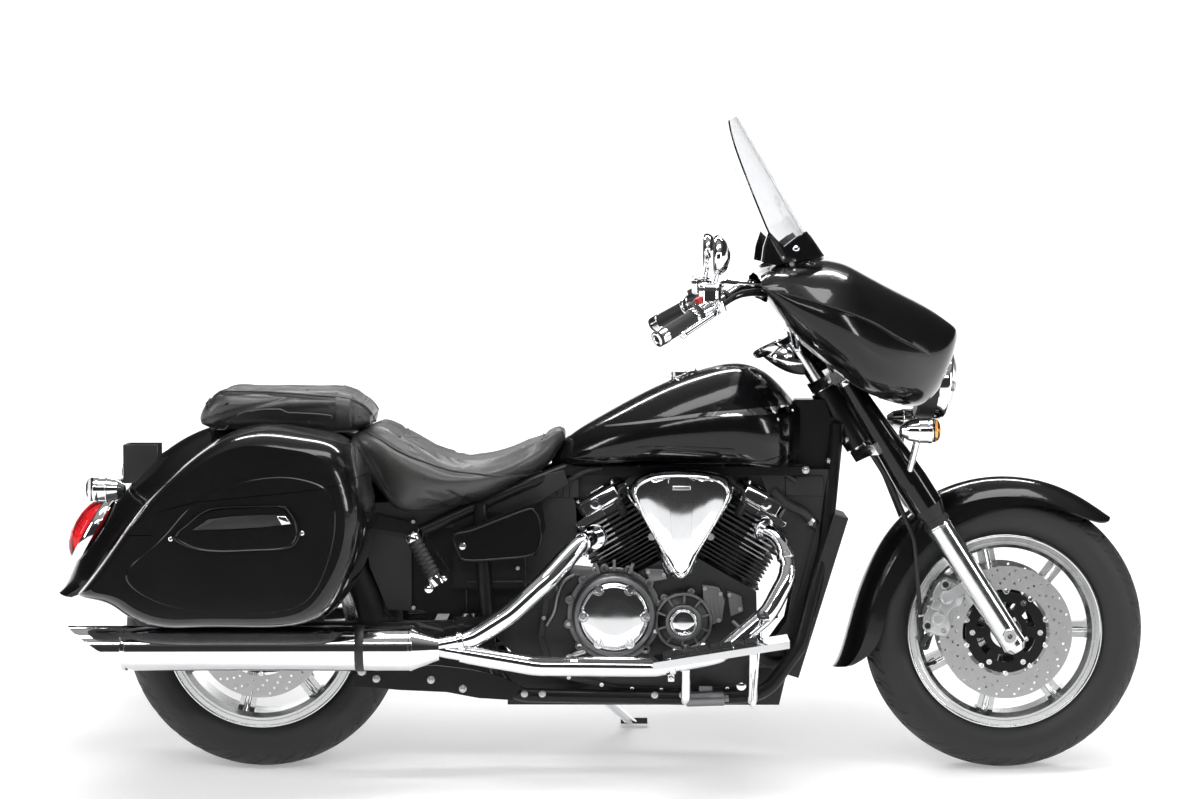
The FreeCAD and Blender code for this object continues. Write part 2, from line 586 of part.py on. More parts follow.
# Side stand ears on the left rail
stand_spot = V(d.stand_x, d.stand_y, d.stand_z)
foot_z = d.stand_foot_y * math.tan(lean)
stand_foot = V(d.stand_foot_x, d.stand_foot_y, foot_z)
stand_down = (stand_foot - stand_spot).normalize()
stand_folded = V(-1, d.stand_fold_out, 0).normalize()
stand_axis = stand_down.cross(stand_folded).normalize()
ear_gap = d.stand_eye_thick / 2 + d.fit_gap
for low in (ear_gap, -ear_gap - d.stand_ear_thick):
    ear = Part.makeCylinder(d.stand_eye_radius, d.stand_ear_thick, stand_spot + stand_axis * low, stand_axis)
    frame_bits.append(ear)
    rail_spot = V(d.stand_x, d.rail_y, rail_top)
    inward = rail_spot - stand_spot
    inward = inward - stand_axis * inward.dot(stand_axis)
    cross_way = stand_axis.cross(inward).normalize() * d.stand_eye_radius
    start = stand_spot + stand_axis * low
    frame_bits.append(slab([start + cross_way, start + inward + cross_way, start + inward - cross_way,
                            start - cross_way], stand_axis * d.stand_ear_thick))
frame_bits.append(Part.makeCylinder(d.stand_pin, d.stand_eye_thick + 2 * d.stand_ear_thick,
                                    stand_spot - stand_axis * (ear_gap + d.stand_ear_thick / 2), stand_axis))
frame = joined(frame_bits).cut(head_bore)
keep("frame", formed("frame", frame))

# Side stand: eye on its bolt, leg and pad flat on the ground
stand_leg = Part.makeCylinder(d.stand_radius, (stand_foot - stand_spot).Length, stand_spot, stand_foot - stand_spot)
stand_eye = Part.makeCylinder(d.stand_eye_radius, d.stand_eye_thick, stand_spot - stand_axis * (d.stand_eye_thick / 2),
                              stand_axis)
ground_up = V(0, -math.sin(lean), math.cos(lean))
ground_out = V(0, math.cos(lean), math.sin(lean))
pad_corner = stand_foot - V(d.stand_pad_long / 2, 0, 0) - ground_out * (d.stand_pad_wide / 2)
stand_pad = slab([pad_corner, pad_corner + V(d.stand_pad_long, 0, 0),
                  pad_corner + V(d.stand_pad_long, 0, 0) + ground_out * d.stand_pad_wide,
                  pad_corner + ground_out * d.stand_pad_wide], ground_up * d.stand_pad_thick)
below = Part.makeBox(d.wheelbase, d.wheelbase, d.overrun)
below.translate(V(0, 0, -d.overrun))
below.rotate(V(0, 0, 0), V(1, 0, 0), d.lean_angle)
stand_slot = Part.makeCylinder(d.stand_eye_radius * 2, d.stand_ear_thick * 2, stand_spot + stand_axis * (d.stand_eye_thick / 2),
                               stand_axis)
stand_slot_low = Part.makeCylinder(d.stand_eye_radius * 2, d.stand_ear_thick * 2,
                                   stand_spot - stand_axis * (d.stand_eye_thick / 2), stand_axis * -1)
stand_bore = Part.makeCylinder(d.stand_pin + d.running_gap, d.stand_eye_thick * 2,
                               stand_spot - stand_axis * d.stand_eye_thick, stand_axis)
stand_leg = stand_leg.cut(below).cut(stand_slot).cut(stand_slot_low)
stand = joined([stand_leg, stand_eye, stand_pad]).cut(stand_bore)
keep("side_stand", formed("side_stand", stand))

# Swingarm with the rear axle through it
arm_marks = [V(-d.arm_high / 2, 0, rear_axle_z - d.arm_high / 2), V(-d.arm_high / 2, 0, rear_axle_z + d.arm_high / 2),
             V(d.pivot_x + d.pivot_radius, 0, d.pivot_z + d.pivot_radius),
             V(d.pivot_x + d.pivot_radius, 0, d.pivot_z - d.pivot_radius)]
arm_bits = []
for side in (-1, 1):
    arm = slab(arm_marks, V(0, side * d.arm_thick, 0))
    arm.translate(V(0, side * d.arm_inner, 0))
    arm_bits.append(arm)
    nut_y = d.arm_inner + d.arm_thick
    arm_bits.append(Part.makeCylinder(d.axle_nut_radius, d.axle_nut_thick, rear_axle + V(0, side * nut_y, 0),
                                      V(0, side, 0)))
arm_reach = d.arm_inner + d.arm_thick
arm_bits.append(Part.makeCylinder(d.pivot_radius, 2 * arm_reach, V(d.pivot_x, -arm_reach, d.pivot_z), sideways))
arm_bits.append(Part.makeCylinder(d.rear_axle_radius, 2 * d.rear_axle_half, rear_axle - sideways * d.rear_axle_half,
                                  sideways))
brace_x = (d.rear_tyre_radius + d.pivot_x) / 2
brace = Part.makeBox(d.arm_thick, 2 * d.arm_inner, d.arm_thick)
brace.translate(V(brace_x, -d.arm_inner, d.pivot_z - d.arm_thick / 2))
arm_bits.append(brace)
keep("swingarm", formed("swingarm", joined(arm_bits)))

# Engine cases: a profile with a flat deck square to each cylinder
crank = V(d.crank_x, 0, d.crank_z)
vee = math.radians(d.vee_half_angle)


def bore_axis(side):
    """The direction of a cylinder: -1 for the rear one, 1 for the front one."""
    return V(side * math.sin(vee), 0, math.cos(vee))


def deck(side, along):
    """A spot on a deck, along it towards the front."""
    flat = V(math.cos(vee), 0, -side * math.sin(vee))
    return crank + bore_axis(side) * d.deck_radius + flat * along


reach = d.fin_half_long
case_low_shares = [(1.93, -0.10), (1.75, -0.95), (0.60, -1.07), (-1.60, -1.00), (-3.25, -0.70), (-3.60, 0.10),
                   (-3.45, 0.95), (-2.85, 1.40), (-2.25, 1.35)]
case_marks = [deck(-1, -reach), deck(-1, reach - d.fin_pitch), deck(1, -reach + d.fin_pitch), deck(1, reach)]
case_marks += [crank + V(a * reach, 0, b * d.case_half) for a, b in case_low_shares]
case = slab([p - sideways * d.case_half for p in case_marks], V(0, 2 * d.case_half, 0))
case_bits = [case]
# Output pulley on the left, in front of the belt
pulley_room = Part.makeCylinder(d.front_pulley_radius + 2 * d.belt_thick, d.case_half,
                                V(output.x, d.belt_inner_y - d.pulley_flange, output.z), sideways)
front_pulley = Part.makeCylinder(d.front_pulley_radius, d.belt_width + d.pulley_flange,
                                 V(output.x, d.belt_inner_y - d.pulley_flange, output.z), sideways)
case = case.cut(pulley_room)
case = case.cut(belt_outside)
case = joined([case, front_pulley]).cut(frame)
keep("engine_cases", formed("engine_cases", case))


def engine_cylinder(name, side):
    """A finned barrel, a finned head and a rounded rocker cover on one bore axis."""
    body = doc.addObject("PartDesign::Body", name)
    core = ringed(body, name + "_bore", "XY_Plane", "bore_radius")
    padded(body, name + "_barrel", core, "cover_start - deck_radius - fit_gap", "deck_radius + fit_gap")

    def plate(word, long, wide, thick, start, count, pitch):
        soft = "%s / 4" % wide
        marks = [("-%s" % long, "-(%s - %s)" % (wide, soft)), ("-(%s - %s)" % (long, soft), "-%s" % wide),
                 ("%s - %s" % (long, soft), "-%s" % wide), (long, "-(%s - %s)" % (wide, soft)),
                 (long, "%s - %s" % (wide, soft)), ("%s - %s" % (long, soft), wide),
                 ("-(%s - %s)" % (long, soft), wide), ("-%s" % long, "%s - %s" % (wide, soft))]
        sketch = drawn(body, name + word + "_outline", "XY_Plane", marks)
        pad = padded(body, name + word, sketch, thick, start)
        doc.recompute()
        row = body.newObject("PartDesign::LinearPattern", name + word + "_row")
        row.Originals = [pad]
        row.Direction = (sketch, ["N_Axis"])
        row.setExpression("Length", bound("(%s - 1) * %s" % (count, pitch)))
        row.setExpression("Occurrences", bound(count))
        body.Tip = row

    plate("_fin", "fin_half_long", "fin_half_wide", "fin_thick", "fin_start", "fin_count", "fin_pitch")
    plate("_head_fin", "head_fin_half_long", "head_fin_half_wide", "head_fin_thick", "head_fin_start",
          "head_fin_count", "head_fin_pitch")
    soft = "cover_half_wide / 3"
    top = drawn(body, name + "_cover_outline", "XY_Plane", [
        ("-cover_half_long", "-(cover_half_wide - %s)" % soft), ("-(cover_half_long - %s)" % soft, "-cover_half_wide"),
        ("cover_half_long - %s" % soft, "-cover_half_wide"), ("cover_half_long", "-(cover_half_wide - %s)" % soft),
        ("cover_half_long", "cover_half_wide - %s" % soft), ("cover_half_long - %s" % soft, "cover_half_wide"),
        ("-(cover_half_long - %s)" % soft, "cover_half_wide"), ("-cover_half_long", "cover_half_wide - %s" % soft)])
    pad = padded(body, name + "_rocker_cover", top, "cover_top - cover_start", "cover_start")
    body.Tip = pad
    body.Placement = FreeCAD.Placement(crank, FreeCAD.Rotation(V(0, 0, 1), bore_axis(side)))
    return body


rear_cylinder = engine_cylinder("rear_cylinder", -1)
front_cylinder = engine_cylinder("front_cylinder", 1)
keep("cylinders", grouped("cylinders", [rear_cylinder, front_cylinder]))

# Engine covers on the right and the left
right_face = -d.case_half - d.fit_gap
clutch = turned("clutch_cover_body", [
    ("0", "0"), ("clutch_radius", "0"), ("clutch_radius", "clutch_depth * 0.55"),
    ("clutch_radius - clutch_depth / 6", "clutch_depth * 0.75"), ("clutch_cap", "clutch_depth * 0.78"),
    ("clutch_cap - clutch_depth / 6", "clutch_depth"), ("0", "clutch_depth")],
    V(d.clutch_x, right_face, d.clutch_z), V(0, -1, 0))
small = turned("small_cover_body", [
    ("0", "0"), ("small_cover_radius", "0"), ("small_cover_radius", "small_cover_depth * 0.5"),
    ("small_cover_cap * 1.4", "small_cover_depth * 0.75"), ("small_cover_cap", "small_cover_depth"),
    ("0", "small_cover_depth")],
    V(d.small_cover_x, right_face, d.small_cover_z), V(0, -1, 0))
left_big = turned("left_cover_body", [
    ("0", "0"), ("left_cover_radius", "0"), ("left_cover_radius", "left_cover_depth * 0.6"),
    ("left_cover_radius * 0.75", "left_cover_depth"), ("0", "left_cover_depth")],
    V(d.crank_x - d.fin_half_long / 3, d.case_half + d.fit_gap, d.crank_z + d.case_half / 3), sideways)
keep("engine_covers", grouped("engine_covers", [clutch, small, left_big]))
covers = shape(named["engine_covers"])

# Air cleaner: a three-sided chrome case outside the vee, on its intake
cleaner_shares = [(0.00, 0.85), (0.15, 0.965), (0.35, 1.0), (0.60, 1.0), (0.82, 0.975), (0.965, 0.905),
                  (0.995, 0.79), (0.88, 0.56), (0.68, 0.24), (0.555, 0.02), (0.44, 0.02), (0.25, 0.33), (0.09, 0.61)]


def cleaner_ring(y, grow):
    middle_x = d.cleaner_left + d.cleaner_long / 2
    middle_z = d.cleaner_low + d.cleaner_high * 0.62
    return ring([V(middle_x + (d.cleaner_left + a * d.cleaner_long - middle_x) * grow, y,
                   middle_z + (d.cleaner_low + b * d.cleaner_high - middle_z) * grow) for a, b in cleaner_shares])


cleaner = skinned([cleaner_ring(-d.cleaner_inner, 0.97), cleaner_ring(-d.cleaner_inner - d.cleaner_depth * 0.35, 1.0),
                   cleaner_ring(-d.cleaner_inner - d.cleaner_depth * 0.75, 0.97),
                   cleaner_ring(-d.cleaner_inner - d.cleaner_depth, 0.86)])
intake = Part.makeCylinder(d.intake_radius, d.cleaner_inner + d.overrun / 2, V(d.crank_x, d.overrun / 4, d.intake_z),
                           V(0, -1, 0))
port = d.intake_radius * 0.8
throat = []
for side in (-1, 1):
    head_face = crank + bore_axis(side) * (d.head_fin_start + d.head_fin_pitch) - \
        V(math.cos(vee), 0, -side * math.sin(vee)) * (side * (d.head_fin_half_long + d.fit_gap))
    start = V(d.crank_x, 0, d.intake_z)
    throat.append(Part.makeCylinder(port * 0.7, (head_face - start).Length - port * 0.3, start, head_face - start))
cleaner = joined([cleaner, intake] + throat)
both_cylinders = shape(named["cylinders"])
keep("air_cleaner", formed("air_cleaner", cleaner.cut(both_cylinders)))

# Radiator between the down tubes
rad_low = V(d.radiator_low_x, 0, d.radiator_low_z)
rad_high = V(d.radiator_high_x, 0, d.radiator_high_z)
rad_up = (rad_high - rad_low)
rad_long = rad_up.Length
rad_ahead = V(rad_up.z, 0, -rad_up.x).normalize()
rad_corner = rad_low - sideways * d.radiator_half
radiator = slab([rad_corner, rad_corner + sideways * (2 * d.radiator_half),
                 rad_corner + sideways * (2 * d.radiator_half) + rad_up, rad_corner + rad_up],
                rad_ahead * d.radiator_thick)
keep("radiator", formed("radiator", radiator.cut(frame)))

# Exhaust: two headers that meet ahead of one long muffler
muffler_axis = V(0, -d.muffler_y, d.muffler_z)


def header_spots(shares):
    return [V(a * d.crank_x, -b * d.muffler_y, c * d.crank_z) for a, b, c in shares]


front_header_shares = [(1.185, 0.36, 1.87), (1.235, 0.52, 1.80), (1.255, 0.68, 1.55), (1.205, 0.80, 1.26),
                       (1.09, 0.86, 0.95), (0.95, 0.90, 0.86), (0.66, 0.92, 0.87), (0.455, 1.00, 0.99),
                       (0.425, 1.00, 1.01)]
rear_header_shares = [(0.805, 0.36, 1.80), (0.765, 0.62, 1.78), (0.690, 0.83, 1.52), (0.600, 0.92, 1.26),
                      (0.510, 0.985, 1.08), (0.425, 1.00, 1.03)]
front_header = tube(header_spots(front_header_shares), d.front_pipe_radius, d.pipe_bend)
rear_header = tube(header_spots(rear_header_shares), d.rear_pipe_radius, d.pipe_bend)
pipes = joined([front_header, rear_header])
muffler_body = turned("muffler_shell", [
    ("muffler_neck", "0"), ("muffler_radius", "muffler_cone"), ("muffler_radius", "muffler_front - muffler_tip"),
    ("muffler_radius - muffler_wall", "muffler_front - muffler_tip"),
    ("muffler_radius - muffler_wall", "muffler_front - muffler_tip - slash_run * 1.2"),
    ("0", "muffler_front - muffler_tip - slash_run * 1.2"), ("0", "0")],
    V(d.muffler_front, -d.muffler_y, d.muffler_z), V(-1, 0, 0))
tip_x = d.muffler_tip
slash = slab([V(tip_x - d.overrun, 0, d.muffler_z + d.muffler_radius), V(tip_x, 0, d.muffler_z + d.muffler_radius),
              V(tip_x + d.slash_run, 0, d.muffler_z - d.muffler_radius - d.fit_gap),
              V(tip_x - d.overrun, 0, d.muffler_z - d.muffler_radius - d.fit_gap)], V(0, -2 * d.muffler_y, 0))
keep("muffler", formed("muffler", shape(muffler_body).cut(slash)))
pipes = pipes.cut(named["muffler"].Shape).cut(both_cylinders).cut(covers).cut(frame)
keep("exhaust_pipes", formed("exhaust_pipes", pipes))

# Tank: sections along the machine, over the backbone
half_round_shares = [(0.0, 1.0), (0.34, 0.975), (0.66, 0.87), (0.88, 0.68), (0.99, 0.44), (0.97, 0.20),
                     (0.84, 0.03), (0.50, 0.0), (0.0, 0.0)]
tank_shares = [(0.00, 0.22, -0.02, 0.10), (0.06, 0.40, 0.00, 0.27), (0.17, 0.62, 0.03, 0.45),
               (0.30, 0.80, 0.06, 0.63), (0.46, 0.94, 0.08, 0.82), (0.62, 1.00, 0.07, 0.953),
               (0.76, 0.98, 0.05, 1.0), (0.87, 0.86, 0.00, 0.905), (0.95, 0.62, 0.02, 0.72),
               (1.00, 0.30, 0.15, 0.60)]


def along(shares, back, long, half, base, high, section):
    """Sections of a long form from a table of shares."""
    rows = []
    for a, b, low, top in shares:
        rows.append(across(back + a * long, b * half, base + low * high, base + top * high, section))
    return rows


tank = skinned(along(tank_shares, d.tank_back, d.tank_long, d.tank_half, d.tank_base, d.tank_high, half_round_shares))
tank = tank.cut(frame)
keep("fuel_tank", formed("fuel_tank", tank))
# Tank trim: the filler cap; the chrome strips follow the flanks
cap_low = d.tank_base + d.tank_high * 0.78
cap_body = Part.makeCylinder(d.tank_cap_radius, d.tank_high * 0.10 + d.tank_cap_high, V(d.tank_cap_x, 0, cap_low))
tank_skin = skinned(along(tank_shares, d.tank_back, d.tank_long, d.tank_half + d.trim_thick, d.tank_base, d.tank_high,
                          half_round_shares))
strip_low_shares = [(0.215, 0.40), (0.61, 0.525), (0.83, 0.535), (0.955, 0.545)]
strip_high_shares = [(0.955, 0.615), (0.83, 0.600), (0.61, 0.560), (0.215, 0.415)]
strip_marks = [V(d.tank_back + a * d.tank_long, 0, d.tank_base + b * d.tank_high)
               for a, b in strip_low_shares + strip_high_shares]
tank_room = skinned(along(tank_shares, d.tank_back, d.tank_long, d.tank_half + d.fit_gap, d.tank_base, d.tank_high,
                          half_round_shares))
strip = largest(tank_skin.common(slab(strip_marks, V(0, -2 * d.tank_half, 0))).cut(tank_room))
keep("tank_trim", formed("tank_trim", Part.Compound([cap_body.cut(tank), strip, mirrored(strip)])))

# Rear fender: crowned sections set round the rear axle


def fender_section(axle, angle, radius, half, drop, depth, wall):
    """A crowned channel, open towards the axle."""
    out = V(math.cos(angle), 0, math.sin(angle))
    top = axle + out * radius
    left, right = sideways * half, sideways * -half
    thin_left, thin_right = sideways * (half - wall), sideways * (wall - half)
    edges = [Part.Arc(top + left - out * drop, top, top + right - out * drop).toShape()]
    edges.append(Part.LineSegment(top + right - out * drop, top + right - out * depth).toShape())
    edges.append(Part.LineSegment(top + right - out * depth, top + thin_right - out * depth).toShape())
    edges.append(Part.LineSegment(top + thin_right - out * depth, top + thin_right - out * (drop + wall / 2)).toShape())
    edges.append(Part.Arc(top + thin_right - out * (drop + wall / 2), top - out * wall,
                          top + thin_left - out * (drop + wall / 2)).toShape())
    edges.append(Part.LineSegment(top + thin_left - out * (drop + wall / 2), top + thin_left - out * depth).toShape())
    edges.append(Part.LineSegment(top + thin_left - out * depth, top + left - out * depth).toShape())
    edges.append(Part.LineSegment(top + left - out * depth, top + left - out * drop).toShape())
    return Part.Wire(edges)


def fender(axle, shares, radius, half, drop, depth, wall):
    """Angle in degrees, then shares of radius, half width, drop and depth."""
    rows = []
    for angle, a, b, c, e in shares:
        rows.append(fender_section(axle, math.radians(angle), a * radius, b * half, c * drop,
                                   max(e * depth, c * drop + wall), wall))
    return skinned(rows)


rear_fender_shares = [(170, 1.000, 0.62, 0.42, 0.30), (164, 0.962, 0.86, 0.80, 0.62), (155, 0.950, 1.0, 1.0, 0.90),
                      (144, 0.938, 1.0, 1.0, 1.0), (132, 0.940, 1.0, 1.0, 1.0), (119, 0.972, 1.0, 1.0, 1.0),
                      (105, 0.998, 1.0, 0.95, 1.0), (90, 1.000, 1.0, 0.9, 1.0), (75, 0.990, 1.0, 0.9, 1.0),
                      (60, 0.955, 1.0, 0.9, 1.0), (48, 0.91, 1.0, 0.9, 0.9)]
rear_fender = fender(rear_axle, rear_fender_shares, d.rear_fender_radius, d.rear_fender_half, d.rear_fender_drop,
                     d.rear_fender_depth, d.rear_fender_wall)
rear_fender = rear_fender.cut(frame)
keep("rear_fender", formed("rear_fender", rear_fender))

# Seats
seat_section_shares = [(0.0, 0.93), (0.30, 0.95), (0.62, 1.0), (0.88, 0.90), (1.0, 0.62), (0.97, 0.25),
                       (0.86, 0.02), (0.45, 0.0), (0.0, 0.0)]
rider_shares = [(0.00, 0.74, 0.72, 0.86), (0.06, 0.80, 0.42, 0.96), (0.13, 0.88, 0.28, 1.0), (0.23, 0.97, 0.06, 0.92),
                (0.34, 1.0, 0.06, 0.76), (0.48, 1.0, 0.12, 0.61), (0.62, 0.95, 0.20, 0.60), (0.75, 0.82, 0.33, 0.68),
                (0.87, 0.60, 0.45, 0.83), (0.95, 0.42, 0.60, 0.94), (1.00, 0.30, 0.76, 0.90)]
passenger_shares = [(0.00, 0.66, 0.28, 0.48), (0.045, 0.84, 0.26, 0.78), (0.11, 0.93, 0.25, 0.98),
                    (0.25, 0.98, 0.26, 1.03), (0.45, 1.0, 0.27, 1.01), (0.65, 1.0, 0.25, 1.00), (0.82, 0.99, 0.20, 0.99),
                    (0.91, 0.94, 0.20, 0.84), (1.00, 0.78, 0.26, 0.48)]
fender_plug = Part.makeCylinder(d.rear_fender_radius * 0.97, 2 * d.rear_fender_half, rear_axle - sideways * d.rear_fender_half,
                                sideways)
passenger = skinned(along(passenger_shares, d.passenger_back, d.passenger_long, d.passenger_half, d.passenger_base,
                          d.passenger_high, seat_section_shares))
passenger = largest(passenger.cut(rear_fender).cut(fender_plug))
keep("passenger_seat", formed("passenger_seat", passenger))
rider = skinned(along(rider_shares, d.rider_back, d.rider_long, d.rider_half, d.rider_base, d.rider_high,
                      seat_section_shares))
rider = rider.cut(passenger).cut(tank).cut(frame).cut(rear_fender).cut(fender_plug)
keep("rider_seat", formed("rider_seat", rider))

# Tail light, rear signals and the bracket on the fender
tail_turn = FreeCAD.Rotation(V(0, 1, 0), -d.tail_angle)
tail = doc.addObject("Part::Ellipsoid", "tail_form")
tail.setExpression("Radius1", bound("tail_bulge"))
tail.setExpression("Radius2", bound("tail_long"))
tail.setExpression("Radius3", bound("tail_half"))
tail.Placement = FreeCAD.Placement(V(d.tail_x, 0, d.tail_z), tail_turn)
tail_plug = Part.makeCylinder(d.rear_fender_radius * 0.94, 2 * d.rear_fender_half, rear_axle - sideways * d.rear_fender_half,
                              sideways)
keep("tail_light", formed("tail_light", largest(shape(tail).cut(rear_fender).cut(tail_plug))))


def signal(name, spot, ahead):
    """A bullet lamp with a domed lens end."""
    return turned(name, [
        ("0", "0"), ("signal_radius * 0.45", "signal_long * 0.04"), ("signal_radius * 0.8", "signal_long * 0.2"),
        ("signal_radius", "signal_long * 0.5"), ("signal_radius", "signal_long * 0.8"),
        ("signal_radius * 0.75", "signal_long * 0.93"), ("0", "signal_long")], spot, V(ahead, 0, 0))


signal_back = d.rear_signal_x + d.signal_long * 0.55
rear_lamps = [signal("rear_signal_left", V(signal_back, d.rear_signal_y, d.rear_signal_z), -1),
              signal("rear_signal_right", V(signal_back, -d.rear_signal_y, d.rear_signal_z), -1)]
rear_bar = rod("rear_signal_bar", "signal_stem", V(d.rear_signal_x, -d.rear_signal_y, d.rear_signal_z),
               V(d.rear_signal_x, d.rear_signal_y, d.rear_signal_z))
rear_set = fused("rear_signal_set", rear_lamps + [rear_bar])
keep("rear_signals", formed("rear_signals", shape(rear_set).cut(rear_fender)))
bracket = Part.makeBox(d.plate_long, 2 * d.plate_half, d.plate_high)
bracket.translate(V(d.plate_back, -d.plate_half, d.plate_low))
bracket_hollow = Part.makeBox(d.plate_long, 2 * d.plate_half - 2 * d.tab_thick, d.plate_high)
bracket_hollow.translate(V(d.plate_back + d.tab_thick, -d.plate_half + d.tab_thick, d.plate_low))
bracket = bracket.cut(bracket_hollow).cut(rear_fender).cut(named["rear_signals"].Shape)
plate_middle = V(d.plate_back - d.tab_thick, 0, d.plate_low + d.plate_high / 2)
for turn in range(4):
    angle = math.radians(45 + 90 * turn)
    spot = plate_middle + V(0, d.plate_circle * math.cos(angle), d.plate_circle * math.sin(angle))
    bracket = bracket.cut(Part.makeCylinder(d.plate_hole, 3 * d.tab_thick, spot, V(1, 0, 0)))
bracket = largest(bracket)
keep("plate_bracket", formed("plate_bracket", bracket))

# Saddlebags: pillow shells split by a seam that rises towards the seat
bag_shares = [(0.00, 0.18), (0.10, 0.37), (0.215, 0.60), (0.35, 0.80), (0.54, 0.975), (0.64, 1.0), (0.775, 0.98),
              (0.91, 0.92), (0.975, 0.76), (1.00, 0.56), (0.985, 0.40), (0.91, 0.165), (0.84, 0.055), (0.72, 0.005),
              (0.58, 0.0), (0.42, 0.0), (0.27, 0.005), (0.155, 0.07), (0.07, 0.135)]
bag_depth_shares = [(0.0, 0.90), (0.12, 1.0), (0.60, 1.0), (0.86, 0.955), (1.0, 0.86)]
seam_outer_shares = [(-0.10, 0.485), (0.275, 0.485), (0.30, 0.60), (0.44, 0.625), (0.775, 0.675), (0.895, 0.71),
                     (0.95, 0.76), (1.10, 0.78)]
seam_inner_shares = [(-0.10, 0.485), (0.24, 0.485), (0.29, 0.62), (0.42, 0.88), (0.775, 0.91), (0.87, 0.86),
                     (0.93, 0.76), (1.10, 0.76)]


def bag_form(wall):
    """The bag's outer form, or the same form inside the wall."""
    middle_x = d.bag_back + d.bag_long / 2
    middle_z = d.bag_low + d.bag_high / 2
    wide = (d.bag_long - 2 * wall) / d.bag_long
    tall = (d.bag_high - 2 * wall) / d.bag_high
    depth = d.bag_outer - d.bag_inner
    rows = []
    for place, grow in bag_depth_shares:
        y = d.bag_inner + wall + place * (depth - 2 * wall)
        rows.append(ring([V(middle_x + (a - 0.5) * d.bag_long * wide * grow, y,
                            middle_z + (b - 0.5) * d.bag_high * tall * grow) for a, b in bag_shares]))
    return skinned(rows)


def seam_tool(lift):
    """Everything above the seam, which climbs from the outer face to the hinge."""
    rows = []
    top = d.bag_low + 2 * d.bag_high
    for shares, y in ((seam_outer_shares, d.bag_outer + d.overrun), (seam_inner_shares, d.bag_inner - d.overrun)):
        marks = [V(d.bag_back + a * d.bag_long, y, d.bag_low + b * d.bag_high + lift) for a, b in shares]
        marks += [V(marks[-1].x, y, top), V(marks[0].x, y, top)]
        rows.append(Part.makePolygon(marks + [marks[0]]))
    return Part.makeLoft(rows, True, True)


# A raised panel with a swept edge, and the handle's pod below the seam
panel_shares = [(0.443, 0.669), (0.494, 0.713), (0.578, 0.753), (0.68, 0.777), (0.747, 0.777), (0.815, 0.757),
                (0.865, 0.723), (0.892, 0.664), (0.902, 0.58), (0.896, 0.47), (0.874, 0.344), (0.843, 0.235),
                (0.80, 0.155), (0.72, 0.105), (0.58, 0.09), (0.45, 0.095), (0.33, 0.13), (0.23, 0.19), (0.18, 0.27),
                (0.25, 0.40), (0.33, 0.51), (0.39, 0.61)]
pod_outline_shares = [(0.350, 0.470), (0.400, 0.545), (0.450, 0.595), (0.510, 0.618), (0.610, 0.624), (0.705, 0.626),
                      (0.748, 0.590), (0.774, 0.520), (0.764, 0.450), (0.725, 0.418), (0.610, 0.408), (0.494, 0.403),
                      (0.409, 0.420)]


def bag_plate(shares, low, high):
    """A plate on the bag's outer face with a rounded outline."""
    rows = []
    for y, grow in ((low, 1), (high, 0.975)):
        mid_a = sum(a for a, b in shares) / len(shares)
        mid_b = sum(b for a, b in shares) / len(shares)
        rows.append(ring([V(d.bag_back + (mid_a + (a - mid_a) * grow) * d.bag_long, y,
                            d.bag_low + (mid_b + (b - mid_b) * grow) * d.bag_high) for a, b in shares]))
    return skinned(rows)


bag_panel = bag_plate(panel_shares, d.bag_outer - d.bag_wall / 2, d.bag_outer + d.bag_panel)
handle_pod = bag_plate(pod_outline_shares, d.bag_outer - d.bag_wall / 2, d.bag_outer + d.bag_panel + d.handle_thick)
bag_shell = stacked([bag_form(0).cut(bag_form(d.bag_wall)), bag_panel])
bag_body = bag_shell.cut(seam_tool(-d.seam_gap / 2))
bag_lid = bag_shell.common(seam_tool(d.seam_gap / 2))
bag_body = largest(bag_body)
bag_lid = largest(bag_lid)
# Hinge: a pin along the machine, knuckles on bag and lid
hinge_start = V(d.hinge_x - d.hinge_long / 2, d.hinge_y, d.hinge_z)
hinge_way = V(1, 0, 0)
third = d.hinge_long / 3
pin = Part.makeCylinder(d.hinge_pin, d.hinge_long, hinge_start, hinge_way)


def knuckle(start, long, radius):
    return Part.makeCylinder(radius, long, hinge_start + hinge_way * start, hinge_way)


lid_knuckle = knuckle(third + d.fit_gap, third - 2 * d.fit_gap, d.knuckle_radius)
lid_leaf = Part.makeBox(third - 2 * d.fit_gap, d.knuckle_radius * 3, d.hinge_pin)
lid_leaf.translate(hinge_start + V(third + d.fit_gap, 0, d.knuckle_radius - d.hinge_pin))
lid_bore = knuckle(third - d.overrun / 4, third + d.overrun / 2, d.hinge_pin + d.running_gap)
room = knuckle(-d.fit_gap, d.hinge_long + 2 * d.fit_gap, d.knuckle_radius + d.seam_gap)
bag_hinge = [pin]
notches = []
for start in (0, 2 * third):
    bag_hinge.append(knuckle(start, third, d.knuckle_radius))
    web = Part.makeBox(third, d.hinge_pin, d.hinge_web)
    web.translate(hinge_start + V(start, -d.knuckle_radius, -d.hinge_web))
    bag_hinge.append(web)
    notch = Part.makeBox(third + 2 * d.seam_gap, 2 * d.knuckle_radius, d.hinge_web + d.knuckle_radius)
    notch.translate(hinge_start + V(start - d.seam_gap, -2 * d.knuckle_radius, -d.hinge_web))
    notches.append(notch)
bag_side = stacked([bag_body.cut(room)] + bag_hinge + [handle_pod])
lid_side = bag_lid.cut(knuckle(-d.fit_gap, third + 2 * d.fit_gap, d.knuckle_radius + d.seam_gap)).cut(
    knuckle(2 * third - d.fit_gap, third + 2 * d.fit_gap, d.knuckle_radius + d.seam_gap))
lid_side = largest(lid_side.cut(notches[0]).cut(notches[1]))
lid_side = largest(joined([lid_side, lid_knuckle, lid_leaf]).cut(lid_bore))
bag_side = bag_side.cut(frame)
keep("saddlebags", formed("saddlebags", Part.Compound([bag_side, mirrored(bag_side)])))
keep("bag_lid_left", formed("bag_lid_left", lid_side))
keep("bag_lid_right", formed("bag_lid_right", mirrored(lid_side)))

